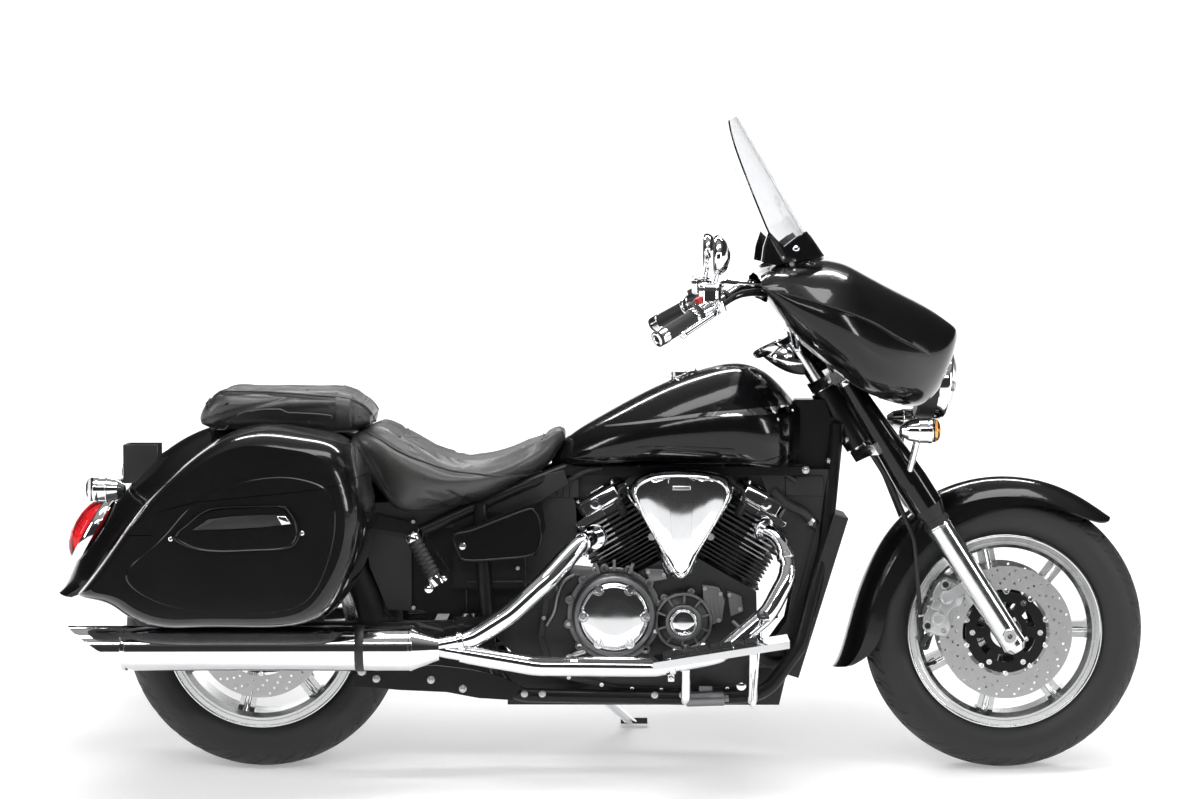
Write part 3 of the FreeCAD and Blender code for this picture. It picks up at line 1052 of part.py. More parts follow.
# Side covers
cover_shares = [(0.0, 0.47), (0.06, 0.15), (0.12, 0.02), (0.90, 0.15), (1.0, 0.60), (0.96, 1.0), (0.50, 0.78)]
side_long, side_high = d.rider_long * 0.43, d.rider_high * 0.70
side_back, side_low = d.rider_back + d.rider_long * 0.475, d.rider_base - d.rider_high * 0.53
cover_y = cradle_shares[7][1] * d.rail_y + d.rail_radius + 2 * d.fit_gap
marks = [V(side_back + a * side_long, -cover_y, side_low + b * side_high) for a, b in cover_shares]
right_cover = slab(marks, V(0, -d.tab_thick * 1.5, 0))
keep("side_covers", formed("side_covers", Part.Compound([right_cover, mirrored(right_cover)])))

# Footboards with their arms, the brake pedal and the shift lever
board_tilt = math.atan2(d.board_rise, d.board_long)
board_marks = [V(d.board_back, 0, d.board_low), V(d.board_back + d.board_long, 0, d.board_low + d.board_rise),
               V(d.board_back + d.board_long, 0, d.board_low + d.board_rise + d.board_thick),
               V(d.board_back, 0, d.board_low + d.board_thick)]
board = slab([p - sideways * d.board_inner for p in board_marks], V(0, -d.board_wide, 0))
board_arm_spots = [V(d.board_back + d.board_long * b, -d.rail_y, rail_top) for b in (0.25, 0.75)]
board_bits = [board]
for spot in board_arm_spots:
    lift = d.board_low + d.board_rise * 0.5 + d.board_thick / 2
    board_bits.append(tube([spot, spot + V(0, -d.rail_radius * 2.4, 0), V(spot.x, -d.board_inner, lift),
                            V(spot.x, -d.board_inner - d.board_wide / 4, lift)], d.cross_radius, d.rail_radius))
pedal = tube([V(d.board_back + d.board_long * 0.75, -d.rail_y, rail_top - d.rail_radius),
              V(d.board_back + d.board_long * 0.75, -d.board_inner + d.overrun / 4, rail_top - d.rail_radius * 0.6),
              V(d.board_back + d.board_long * 0.80, -d.board_inner + d.overrun / 4, d.board_low + d.board_rise * 1.7),
              V(d.board_back + d.board_long * 0.80, -d.board_inner - d.board_wide / 2, d.board_low + d.board_rise * 2.4)],
             d.lever_radius, d.rail_radius)
board_bits.append(pedal)
right_board = joined(board_bits).cut(frame).cut(pipes).cut(covers)
right_board = largest(right_board)
left_board = mirrored(joined(board_bits)).cut(frame).cut(covers).cut(stand)
left_board = largest(left_board)
keep("footboards", formed("footboards", Part.Compound([right_board, left_board])))

# Passenger pegs, folded up against the frame
peg_high_x, peg_high_z = d.pivot_x - d.arm_high * 2.1, d.pivot_z + d.arm_high * 3.85
peg_low = V(d.pivot_x - d.arm_high * 1.08, -d.rail_y - d.arm_thick * 2, d.pivot_z + d.arm_high * 1.95)
peg_high = V(peg_high_x, -d.rail_y - d.arm_thick * 2, peg_high_z)
peg = Part.makeCylinder(d.peg_radius, (peg_high - peg_low).Length, peg_low, peg_high - peg_low)
peg_arm = tube([V(strut_front_x, -d.rail_y * 0.9, strut_front_z), V(strut_front_x, -d.rail_y - d.arm_thick, strut_front_z - d.arm_thick),
                peg_low + V(0, 0, d.peg_radius)], d.cross_radius, d.arm_thick)
right_peg = joined([peg, peg_arm]).cut(frame)
right_peg = largest(right_peg)
keep("passenger_pegs", formed("passenger_pegs", Part.Compound([right_peg, mirrored(right_peg)])))

# Rear caliper over the disc, on the right arm
disc_y = d.rear_hub_half + 2 * d.fit_gap + d.disc_thick / 2
caliper_spot = rear_axle + V(d.rear_disc_radius * 0.5, 0, d.rear_disc_radius * 0.5)
rear_caliper = Part.makeBox(d.caliper_wide, d.rear_caliper_half * 2, d.caliper_wide)
rear_caliper.translate(caliper_spot - V(0, disc_y + d.rear_caliper_half, 0))
rear_slot = Part.makeCylinder(d.rear_disc_radius + d.caliper_slot, 2 * d.caliper_slot,
                              rear_axle - V(0, disc_y - d.caliper_slot, 0), V(0, -1, 0))
caliper_arm = Part.makeBox(d.caliper_wide / 3, d.arm_inner - disc_y + d.arm_thick / 2, d.caliper_wide * 0.8)
caliper_arm.translate(caliper_spot - V(0, d.arm_inner + d.arm_thick / 2, d.caliper_wide * 0.8 - d.tab_thick))
rear_caliper = joined([rear_caliper, caliper_arm]).cut(rear_slot).cut(named["swingarm"].Shape)
rear_caliper = largest(rear_caliper)
keep("rear_caliper", formed("rear_caliper", rear_caliper))

# Fork: sliders with the hollow axle through them, covers and clamps
leg_marks = [("0", "-slider_foot"), ("slider_radius * 0.6", "-slider_foot"), ("slider_radius", "-slider_foot * 0.65"),
             ("slider_radius", "slider_top - slider_radius / 4"), ("cover_mouth - fork_tube_radius / 6", "slider_top"),
             ("0", "slider_top")]
legs = [turned("slider_left", leg_marks, fork(0, fork_offset, d.fork_spread), steer_up),
        turned("slider_right", leg_marks, fork(0, fork_offset, -d.fork_spread), steer_up)]
axle_bar = cylinder("front_axle_bar", "front_axle_radius", "2 * front_axle_half", front_axle - sideways * d.front_axle_half,
                    sideways)
sliders = fused("slider_set", legs + [axle_bar])
axle_hole = Part.makeCylinder(d.front_axle_bore, 2 * d.front_axle_half + 2 * d.overrun,
                              front_axle - sideways * (d.front_axle_half + d.overrun), sideways)
slider_shape = shape(sliders).cut(axle_hole)
keep("fork_sliders", formed("fork_sliders", slider_shape))
cover_marks = [("0", "cover_low"), ("cover_mouth", "cover_low"), ("cover_bell", "cover_bell_low"),
               ("cover_bell", "cover_bell_high"), ("cover_neck", "upper_clamp - fit_gap"),
               ("0", "upper_clamp - fit_gap")]
cover_set = [turned("cover_left", cover_marks, fork(0, fork_offset, d.fork_spread), steer_up),
             turned("cover_right", cover_marks, fork(0, fork_offset, -d.fork_spread), steer_up)]
keep("fork_covers", grouped("fork_covers", cover_set))


def clamp(low):
    """A clamp plate across both legs and the stem."""
    half = d.fork_spread + d.fork_tube_radius + d.clamp_thick / 4
    deep = d.clamp_depth / 2
    marks = [(-deep * 0.75, -half * 0.1), (deep * 0.3, -half * 0.45), (fork_offset - deep * 0.85, -half),
             (fork_offset + deep * 0.8, -half), (deep + fork_offset * 0.5, -half * 0.3),
             (deep + fork_offset * 0.5, half * 0.3), (fork_offset + deep * 0.8, half),
             (fork_offset - deep * 0.85, half), (deep * 0.3, half * 0.45), (-deep * 0.75, half * 0.1)]
    return slab([fork(low, a, b) for a, b in marks], steer_up * d.clamp_thick)


clamp_bits = [clamp(d.upper_clamp), clamp(d.lower_clamp)]
stem_low = d.lower_clamp
clamp_bits.append(Part.makeCylinder(d.stem_radius, d.upper_clamp + d.clamp_thick - stem_low, fork(stem_low, 0, 0), steer_up))
clamp_bits.append(Part.makeCylinder(d.race_radius, d.head_gap - d.fit_gap, fork(d.lower_clamp + d.clamp_thick, 0, 0),
                                    steer_up))
clamp_bits.append(Part.makeCylinder(d.race_radius, d.head_gap - d.fit_gap, fork(head_high + d.fit_gap, 0, 0), steer_up))
for side in (-1, 1):
    clamp_bits.append(Part.makeCylinder(d.cap_radius, d.clamp_thick + d.cap_rise,
                                        fork(d.upper_clamp, fork_offset, side * d.fork_spread), steer_up))
    clamp_bits.append(Part.makeCylinder(d.riser_radius, d.bar_rise + d.bar_radius + d.tab_thick,
                                        fork(d.upper_clamp + d.clamp_thick, 0, side * d.riser_y), steer_up))
bar_centre = fork(d.upper_clamp + d.clamp_thick + d.bar_rise, 0, 0)

# Handlebar, swept back to the grips
bar_shares = [(0.0, 0.0, 0.0), (0.0, 0.122, 0.0), (-0.02, 0.214, 0.092), (-0.12, 0.41, 0.265), (-0.30, 0.635, 0.285),
              (-0.447, 0.806, 0.195), (-0.647, 0.96, 0.08)]
bar_half_spots = [bar_centre + V(a, b, c) * d.bar_half for a, b, c in bar_shares]
left_bar = tube(bar_half_spots[1:], d.bar_radius, d.bar_bend)
bar_spots = [V(p.x, -p.y, p.z) for p in reversed(bar_half_spots[1:])] + bar_half_spots[1:]
handlebar = tube(bar_spots, d.bar_radius, d.bar_bend)
keep("handlebar", formed("handlebar", handlebar))
clamps = largest(joined(clamp_bits).cut(handlebar).cut(shape(named["fork_covers"])))
keep("triple_clamps", formed("triple_clamps", clamps))
grip_way = bar_half_spots[-1] - bar_half_spots[-2]
grip_way = grip_way.normalize()
grip_in = bar_half_spots[-2] + grip_way * d.grip_end
grip_long = (bar_half_spots[-1] - grip_in).Length
grip_bore = Part.makeCylinder(d.bar_radius, grip_long + d.overrun, grip_in - grip_way * (d.overrun / 2), grip_way)
grip = Part.makeCylinder(d.grip_radius, grip_long, grip_in, grip_way)
flange = Part.makeCylinder(d.grip_end, d.grip_end_thick, grip_in, grip_way)
end = Part.makeCylinder(d.grip_radius * 1.05, d.grip_end_thick, grip_in + grip_way * grip_long, grip_way)
grip = joined([grip, flange]).cut(grip_bore)
grip = joined([grip, end])
keep("grips", formed("grips", Part.Compound([grip, mirrored(grip)])))

# Hand controls: switch housing, lever, reservoir; and the mirrors on their stalks
switch_start = grip_in - grip_way * (d.switch_long + d.fit_gap)
switch = Part.makeCylinder(d.switch_radius, d.switch_long, switch_start, grip_way)
across_grip = grip_way.cross(V(0, 0, 1)).normalize()
lever_side = across_grip if across_grip.x > 0 else across_grip * -1
lever = tube([switch_start + lever_side * (d.switch_radius * 0.5), switch_start + lever_side * (d.switch_radius * 2.2) + grip_way * d.switch_long,
              switch_start + lever_side * (d.switch_radius * 2.6) + grip_way * (d.switch_long + grip_long * 0.85)],
             d.lever_radius, d.switch_radius)
reservoir = Part.makeCylinder(d.reservoir_radius, d.reservoir_high, switch_start + grip_way * (d.switch_long / 3) + V(0, 0, d.switch_radius * 0.6))
control = joined([switch, lever, reservoir]).cut(handlebar).cut(grip)
control = largest(control)
keep("hand_controls", formed("hand_controls", Part.Compound([control, mirrored(control)])))
mirror_spot = V(bar_half_spots[-2].x + d.mirror_thick, bar_half_spots[-2].y + d.mirror_wide * 0.35,
                bar_half_spots[-2].z + d.mirror_high * 1.35)
mirror_ring_shares = [(1.0, 0.0), (0.86, 0.5), (0.5, 0.84), (0.0, 1.0), (-0.55, 0.86), (-0.92, 0.45), (-1.0, -0.05),
                      (-0.82, -0.6), (-0.4, -0.9), (0.1, -1.0), (0.6, -0.84), (0.93, -0.48)]


def mirror_ring(ahead, grow):
    """The mirror's outline at a place behind or ahead of its middle."""
    return ring([mirror_spot + V(ahead * d.mirror_thick, a * grow * d.mirror_wide / 2, b * grow * d.mirror_high / 2)
                 for a, b in mirror_ring_shares])


mirror_head = skinned([mirror_ring(-0.3, 0.94), mirror_ring(0, 1), mirror_ring(0.4, 0.90), mirror_ring(0.75, 0.66),
                       mirror_ring(1, 0.25)])
stalk_foot = switch_start + grip_way * (d.switch_long * 0.75)
stalk = tube([stalk_foot, stalk_foot + V(d.mirror_thick, 0, d.mirror_high * 0.7), mirror_spot + V(d.mirror_thick / 4, 0, 0)],
             d.stalk_radius, d.mirror_thick)
mirror_one = stacked([mirror_head, stalk]).cut(control)
mirror_one = largest(mirror_one)
keep("mirrors", formed("mirrors", Part.Compound([mirror_one, mirrored(mirror_one)])))

# Instrument pod over the bar clamps
pod_shares = [(0.0, 0.30, 0.52, 0.68), (0.22, 0.82, 0.24, 0.88), (0.48, 1.0, 0.06, 1.0), (0.76, 0.84, 0.08, 0.83),
              (1.0, 0.32, 0.25, 0.46)]
pod = skinned(along(pod_shares, d.pod_back, d.pod_long, d.pod_half, d.pod_base, d.pod_high, half_round_shares))
keep("speedometer", formed("speedometer", pod.cut(handlebar).cut(clamps)))

# Fairing: a broad nose with two wings, hollow from behind
fairing_section_shares = [(0.0, 1.0), (0.40, 0.97), (0.74, 0.86), (0.95, 0.64), (1.0, 0.40), (0.90, 0.16),
                          (0.70, 0.03), (0.36, 0.0), (0.0, 0.0)]
fairing_shares = [(0.00, 0.97, 0.76, 0.91), (0.07, 1.0, 0.64, 0.965), (0.20, 1.0, 0.44, 0.995),
                  (0.36, 0.98, 0.26, 1.0), (0.52, 0.88, 0.10, 0.92), (0.68, 0.72, 0.02, 0.80),
                  (0.84, 0.50, 0.02, 0.68), (0.94, 0.34, 0.20, 0.59), (1.00, 0.16, 0.42, 0.52)]
fairing_rows = along(fairing_shares, d.fairing_back, d.fairing_long, d.fairing_half, d.fairing_low, d.fairing_high,
                     fairing_section_shares)
fairing = skinned(fairing_rows)
inner_rows = []
for a, b, low, top in fairing_shares[:7]:
    x = d.fairing_back + a * (d.fairing_long - d.fairing_wall) - (d.fairing_wall if a == 0 else 0)
    inner_rows.append(across(x, b * d.fairing_half - d.fairing_wall,
                             d.fairing_low + low * d.fairing_high + (d.fairing_wall if a > 0 else -d.fairing_wall * 2),
                             d.fairing_low + top * d.fairing_high - d.fairing_wall, fairing_section_shares))
fairing_hollow = skinned(inner_rows)
throat = Part.makeBox(d.fairing_long * 0.60, 2 * d.fairing_throat_half, d.fairing_high)
throat.translate(V(d.fairing_back, -d.fairing_throat_half, d.fairing_low - d.fairing_high * 0.5))
lamp_way = V(math.cos(math.radians(d.lamp_tilt)), 0, -math.sin(math.radians(d.lamp_tilt)))
lamp_spot = V(d.lamp_x, 0, d.lamp_z)
lamp_room = Part.makeCylinder(d.lamp_radius + d.fit_gap, d.fairing_long, lamp_spot - lamp_way * d.fit_gap, lamp_way)
bar_room = tube(bar_spots, d.bar_radius + d.fit_gap, d.bar_bend)
fairing = fairing.cut(fairing_hollow).cut(throat).cut(lamp_room).cut(bar_room)

# Windshield: a bowed clear sheet that leans back, let into the fairing


def shield_row(share, half, bow, ahead=0, thick=0):
    """One bowed strip of the sheet, or of a collar some way ahead of it, as a closed crescent."""
    thick = thick or d.shield_wall
    x = d.shield_low_x + share * (d.shield_high_x - d.shield_low_x)
    z = d.shield_low_z + share * (d.shield_high_z - d.shield_low_z)
    out = V(d.shield_high_z - d.shield_low_z, 0, d.shield_low_x - d.shield_high_x).normalize()
    tip = V(x, 0, z) + out * ahead
    deep = out * -bow
    wall = out * -thick
    left, right = sideways * half, sideways * -half
    edges = [Part.Arc(tip + left + deep, tip, tip + right + deep).toShape(),
             Part.LineSegment(tip + right + deep, tip + right + deep + wall).toShape(),
             Part.Arc(tip + right + deep + wall, tip + wall, tip + left + deep + wall).toShape(),
             Part.LineSegment(tip + left + deep + wall, tip + left + deep).toShape()]
    return Part.Wire(edges)


shield_shares = [(0.0, 0.98, 0.95), (0.20, 1.0, 1.0), (0.55, 0.92, 0.80), (0.85, 0.78, 0.55), (1.0, 0.60, 0.32)]
shield = skinned([shield_row(a, b * d.shield_half, c * d.shield_bow) for a, b, c in shield_shares])
keep("windshield", formed("windshield", shield))
collar_shares = [(-0.10, 0.96, 0.94), (0.05, 0.99, 0.965), (0.15, 0.93, 0.86)]
collar = skinned([shield_row(a, b * d.shield_half, c * d.shield_bow, d.collar_thick + d.collar_gap, d.collar_thick)
                  for a, b, c in collar_shares])
fairing = largest(stacked([fairing.cut(shield), collar.cut(fairing_hollow)]))
keep("fairing", formed("fairing", fairing))

# Dash panel closing the wings
dash = Part.makeBox(d.dash_thick, 2 * d.fairing_half, d.fairing_high * 0.52)
dash.translate(V(d.dash_x, -d.fairing_half, d.fairing_low + d.fairing_high * 0.50))
dash = dash.common(fairing_hollow)
dash = dash.cut(fairing).cut(handlebar).cut(pod).cut(clamps)
dash = largest(dash)
keep("fairing_dash", formed("fairing_dash", dash))

# Headlight
headlight = turned("headlight", [
    ("0", "0"), ("lamp_radius", "0"), ("lamp_radius", "lamp_long"), ("lamp_radius * 0.93", "lamp_long * 1.08"),
    ("lamp_radius * 0.55", "lamp_long + lamp_bulge * 0.75"), ("0", "lamp_long + lamp_bulge")], lamp_spot, lamp_way)
keep("headlight", headlight)

# Front signals on stems from the lower clamp
front_lamps = []
for word, side in (("left", 1), ("right", -1)):
    lamp = signal("front_signal_" + word, V(d.front_signal_x, side * d.front_signal_y, d.front_signal_z), 1)
    foot = fork(d.cover_bell_high + d.fork_tube_radius, fork_offset, side * (d.fork_spread + d.cover_bell * 0.5))
    stem = rod("front_signal_stem_" + word, "signal_stem", foot,
               V(d.front_signal_x + d.signal_long * 0.5, side * d.front_signal_y, d.front_signal_z))
    front_lamps.append(fused("front_signal_set_" + word, [lamp, stem]))
both = grouped("front_signal_group", front_lamps)
keep("front_signals", formed("front_signals", shape(both).cut(shape(named["fork_covers"])).cut(fairing)))

# Front fender with a lug to each slider
fender_shares = [(46.7, 1.014, 0.50, 0.25, 0.16), (52, 1.004, 0.86, 0.70, 0.40), (60, 1.0, 1.0, 0.95, 0.52),
                 (75, 1.0, 1.0, 1.0, 0.66), (94, 1.0, 1.0, 1.0, 0.82), (112, 1.0, 1.0, 1.0, 1.0),
                 (134, 0.992, 1.0, 1.0, 1.0), (150, 0.978, 1.0, 1.0, 0.96), (164, 0.980, 1.0, 1.0, 0.88),
                 (176, 1.004, 1.0, 1.0, 0.92), (186, 1.056, 0.98, 0.95, 0.92), (192.5, 1.140, 0.80, 0.70, 0.55)]
front_fender = fender(front_axle, fender_shares, d.fender_radius, d.fender_half, d.fender_drop, d.fender_depth,
                      d.fender_wall)
lug_spots = []
fender_bits = [front_fender]
for side in (-1, 1):
    lug_low = fork(d.slider_top * 0.72, fork_offset, side * (d.fender_half - d.fender_wall / 2))
    lug = slab([lug_low + steer_ahead * -d.slider_radius, lug_low + steer_ahead * d.slider_radius,
                lug_low + steer_ahead * d.slider_radius * 0.8 + steer_up * d.slider_top * 0.25,
                lug_low - steer_ahead * d.slider_radius * 0.8 + steer_up * d.slider_top * 0.25],
               V(0, side * (d.fork_spread - d.fender_half), 0))
    fender_bits.append(lug)
front_fender = joined(fender_bits).cut(slider_shape).cut(shape(named["fork_covers"]))
front_fender = largest(front_fender)
keep("front_fender", formed("front_fender", front_fender))

# Front calipers behind the sliders
disc_mid = d.front_hub_half + 2 * d.fit_gap + d.disc_thick / 2
turn = math.radians(d.caliper_angle)
out = V(math.cos(turn), 0, math.sin(turn))
round_way = V(-math.sin(turn), 0, math.cos(turn))
block_centre = front_axle + out * d.caliper_reach
block_half = d.caliper_wide / 2
block = slab([block_centre + out * block_half + round_way * d.caliper_long * 0.35,
              block_centre + out * block_half * 0.4 + round_way * d.caliper_long * 0.5,
              block_centre - out * block_half + round_way * d.caliper_long * 0.5,
              block_centre - out * block_half - round_way * d.caliper_long * 0.5,
              block_centre + out * block_half * 0.4 - round_way * d.caliper_long * 0.5,
              block_centre + out * block_half - round_way * d.caliper_long * 0.35], V(0, d.caliper_half * 2, 0))
block.translate(V(0, disc_mid - d.caliper_half, 0))
slot = Part.makeCylinder(d.front_disc_radius + d.caliper_slot, 2 * d.caliper_slot,
                         front_axle + V(0, disc_mid - d.caliper_slot, 0), sideways)
ear_way = fork(d.caliper_long * 0.6, fork_offset, 0) - block_centre
ears = []
for run in (0.25, 0.85):
    start = fork(d.slider_top * 0.12 + d.caliper_long * run, fork_offset - d.slider_radius - d.caliper_wide / 2, disc_mid)
    ears.append(slab([start - steer_up * d.lug_radius, start + steer_up * d.lug_radius,
                      start + steer_up * d.lug_radius + steer_ahead * d.caliper_wide,
                      start - steer_up * d.lug_radius + steer_ahead * d.caliper_wide],
                     V(0, d.caliper_half + d.slider_radius, 0)))
caliper = joined([block] + ears).cut(slot).cut(slider_shape)
caliper = largest(caliper)
keep("front_calipers", formed("front_calipers", Part.Compound([caliper, mirrored(caliper)])))

# Brake hoses held from the clamps to the calipers
hose_radius = d.stalk_radius
hose_start = fork(d.lower_clamp - d.fit_gap, fork_offset - d.cover_bell, d.fork_spread * 0.62)
hose_end = block_centre + round_way * (d.caliper_long * 0.5 + d.fit_gap) + V(0, disc_mid + d.caliper_slot + hose_radius * 1.3, 0)
hose_mid_low = hose_end + round_way * d.caliper_long * 0.45 - out * hose_radius
hose_mid = fork(d.cover_low * 0.95, fork_offset - d.slider_radius - d.cover_bell * 0.9, d.fork_spread * 0.86)
hose_top = hose_start - steer_up * d.caliper_long * 0.5
hose = tube([hose_start, hose_top, hose_mid, hose_mid_low, hose_end], hose_radius, d.rail_bend)
hose = hose.cut(clamps).cut(caliper).cut(slider_shape).cut(shape(named["fork_covers"]))
hose = largest(hose)
keep("brake_hoses", formed("brake_hoses", Part.Compound([hose, mirrored(hose)])))

# The machine stands as it parks: leaned to the left, its origin under the middle of its length and width
doc.recompute()
tilt = FreeCAD.Rotation(V(1, 0, 0), -d.lean_angle)
box = FreeCAD.BoundBox()
for made in pieces:
    leaned = made.Shape.copy()
    leaned.Placement = FreeCAD.Placement(V(0, 0, 0), tilt).multiply(leaned.Placement)
    box.add(leaned.optimalBoundingBox(False))
shift = V(-(box.XMin + box.XMax) / 2, -(box.YMin + box.YMax) / 2, 0)
stance = FreeCAD.Placement(shift, tilt)
for made in pieces:
    made.Placement = stance.multiply(made.Placement)
doc.recompute()

for made in doc.Objects:
    if "Invalid" in made.State or "Error" in made.State:
        raise RuntimeError("%s is %s" % (made.Label, made.State))
os.makedirs("parts", exist_ok=True)
for made in pieces:
    if made.Shape.isNull() or not made.Shape.isValid() or not made.Shape.Solids:
        raise RuntimeError("%s has no valid shape" % made.Label)
for made in pieces:
    made.Shape.exportStep("parts/%s.step" % made.Label)
    print(made.Label, len(made.Shape.Solids), round(made.Shape.Volume))
print("stance shift", shift.x, shift.y, shift.z)
print("box", box.XLength, box.YLength, box.ZMin, box.ZMax)
print("axles", rear_axle, front_axle, "steering", steer_foot, steer_up)
print("stand", stand_spot, stand_axis, math.degrees(stand_down.getAngle(stand_folded)))
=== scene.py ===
import bpy
import bmesh
import json
from math import atan2, cos, degrees, exp, hypot, pi, radians, sin, sqrt, tan
from mathutils import Matrix, Vector
from mathutils.bvhtree import BVHTree


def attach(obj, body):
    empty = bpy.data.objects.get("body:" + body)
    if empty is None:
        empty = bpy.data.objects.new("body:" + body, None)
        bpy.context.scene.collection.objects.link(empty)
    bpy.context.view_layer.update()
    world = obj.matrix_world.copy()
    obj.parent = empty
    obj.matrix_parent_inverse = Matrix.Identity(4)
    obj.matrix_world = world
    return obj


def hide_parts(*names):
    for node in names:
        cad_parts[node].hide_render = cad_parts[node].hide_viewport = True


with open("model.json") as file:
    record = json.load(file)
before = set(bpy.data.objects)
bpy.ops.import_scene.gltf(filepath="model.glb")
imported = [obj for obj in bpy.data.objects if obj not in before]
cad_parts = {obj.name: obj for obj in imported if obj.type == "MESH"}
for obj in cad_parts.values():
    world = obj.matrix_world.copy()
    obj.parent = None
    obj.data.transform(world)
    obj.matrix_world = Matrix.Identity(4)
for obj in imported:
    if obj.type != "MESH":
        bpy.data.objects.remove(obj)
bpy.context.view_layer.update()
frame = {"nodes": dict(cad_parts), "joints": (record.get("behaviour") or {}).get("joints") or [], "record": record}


def vec(x, y, z):
    return Vector((x, y, z))


# The machine is described upright, in millimetres: X forward from the rear axle,
# Y to the rider's left, Z up from the ground. UP turns that into the parked stance.
LEAN = radians(9)
WHEELBASE = 1695.0
FRONT_AXLE_Z = 318.897
REAR_AXLE_Z = 319.147
spin = [j for j in frame["joints"] if j["name"] == "front_wheel_spin"][0]
TILT = Matrix.Rotation(-LEAN, 4, "X") @ Matrix.Scale(0.001, 4)
SHIFT = Vector(spin["pos_m"]) - TILT @ vec(WHEELBASE, 0, FRONT_AXLE_Z)
UP = Matrix.Translation(SHIFT) @ TILT
FRONT = vec(WHEELBASE, 0, FRONT_AXLE_Z)
REAR = vec(0, 0, REAR_AXLE_Z)
RAKE = radians(32.5)
STEER_UP = vec(-sin(RAKE), 0, cos(RAKE))
STEER_AHEAD = vec(cos(RAKE), 0, sin(RAKE))
STEER_FOOT = vec(WHEELBASE + 140, 0, 0)
AXLE_RUN = (FRONT - STEER_FOOT).dot(STEER_UP)
FORK_OFFSET = (FRONT - STEER_FOOT).dot(STEER_AHEAD)


def fork(run, ahead, side):
    """A spot in the fork: along the leg from the axle, ahead of the steering axis, to the left."""
    return STEER_FOOT + STEER_UP * (AXLE_RUN + run) + STEER_AHEAD * ahead + vec(0, side, 0)


scene = bpy.context.scene
scene.view_settings.view_transform = "Standard"

# The photograph: its camera stands level with the pixel (EYE_U, EYE_V), EYE_FAR to the right of the machine's middle,
# where a pixel measures PIXEL
EYE_X, EYE_FAR, EYE_Z = 828, 7230, 1256
EYE_U, EYE_V = 625, 220
PIXEL = 2.29
AIM_X, AIM_Z = 770.75, 845
VIEW_ANGLE, SENSOR = radians(21.49), 36

# Camera: on the right, level with the tank, turned with the lean so that the machine stands upright in view
camera = bpy.data.objects.new("camera", bpy.data.cameras.new("camera"))
scene.collection.objects.link(camera)
scene.camera = camera
eye = vec(EYE_X, -EYE_FAR, EYE_Z)
aim = vec(AIM_X, 0, AIM_Z)
view = (eye - aim).normalized()
right = vec(0, 0, 1).cross(view).normalized()
above = view.cross(right)
turned = Matrix((right, above, view)).transposed().to_4x4()
lean_only = Matrix.Rotation(-LEAN, 4, "X")
camera.matrix_world = Matrix.Translation(UP @ eye) @ lean_only @ turned
camera.data.sensor_width = SENSOR
camera.data.lens = SENSOR / 2 / tan(VIEW_ANGLE / 2)
camera.data.clip_end = 200


# Materials


def material(name):
    made = bpy.data.materials.new(name)
    made.use_nodes = True
    tree = made.node_tree
    return made, tree, tree.nodes["Principled BSDF"]


def node(tree, kind, **values):
    made = tree.nodes.new(kind)
    for key, value in values.items():
        if key in made.inputs:
            made.inputs[key].default_value = value
        else:
            setattr(made, key, value)
    return made


def link(tree, a, out, b, into):
    tree.links.new(a.outputs[out], b.inputs[into])


def setting(shader, **values):
    for key, value in values.items():
        shader.inputs[key.replace("_", " ")].default_value = value


def coordinates(tree):
    mapping = node(tree, "ShaderNodeMapping")
    link(tree, node(tree, "ShaderNodeTexCoord"), "Object", mapping, "Vector")
    return mapping


def noise(tree, place, scale, detail=4, rough=0.5):
    made = node(tree, "ShaderNodeTexNoise", Scale=scale, Detail=detail, Roughness=rough)
    link(tree, place, "Vector", made, "Vector")
    return made


def ramp(tree, source, out, stops):
    made = node(tree, "ShaderNodeValToRGB")
    made.color_ramp.elements[0].position, made.color_ramp.elements[0].color = stops[0]
    made.color_ramp.elements[1].position, made.color_ramp.elements[1].color = stops[1]
    for spot, colour in stops[2:]:
        made.color_ramp.elements.new(spot).color = colour
    link(tree, source, out, made, "Fac")
    return made


def grey(v):
    return (v, v, v, 1)


def between(tree, source, out, low, high, old_low=0.0, old_high=1.0):
    made = node(tree, "ShaderNodeMapRange")
    setting(made, From_Min=old_low, From_Max=old_high, To_Min=low, To_Max=high)
    link(tree, source, out, made, "Value")
    return made


def bump(tree, source, out, shader, strength, distance, normal="Normal"):
    made = node(tree, "ShaderNodeBump", Strength=strength, Distance=distance)
    link(tree, source, out, made, "Height")
    link(tree, made, "Normal", shader, normal)


def tint(tree, source, out, shader, low, high):
    """A base colour that goes between two tones, each given with its place on the ramp."""
    tone = ramp(tree, source, out, [(spot, (*colour, 1)) for spot, colour in (low, high)])
    link(tree, tone, "Color", shader, "Base Color")


def polish(tree, source, shader, low, high, old_high=0.75):
    """A roughness that goes between two values."""
    link(tree, between(tree, source, "Fac", low, high, 0.3, old_high), "Result", shader, "Roughness")


def paint(name, colour, rough, orange_peel, coat=1.0):
    """Paint under a clear coat: a trace of dust in the roughness and of orange peel in the coat."""
    made, tree, shader = material(name)
    place = coordinates(tree)
    cloud = noise(tree, place, 9, 3)
    tint(tree, cloud, "Fac", shader, (0.3, colour), (0.8, [c * 1.35 for c in colour]))
    dust = noise(tree, place, 55, 5)
    polish(tree, dust, shader, rough * 0.85, rough * 1.2)
    peel = noise(tree, place, 260, 1)
    bump(tree, peel, "Fac", shader, orange_peel, 0.0004, "Coat Normal")
    setting(shader, Coat_Weight=coat, Coat_Roughness=0.03, Coat_IOR=1.31, Specular_IOR_Level=0.15)
    return made


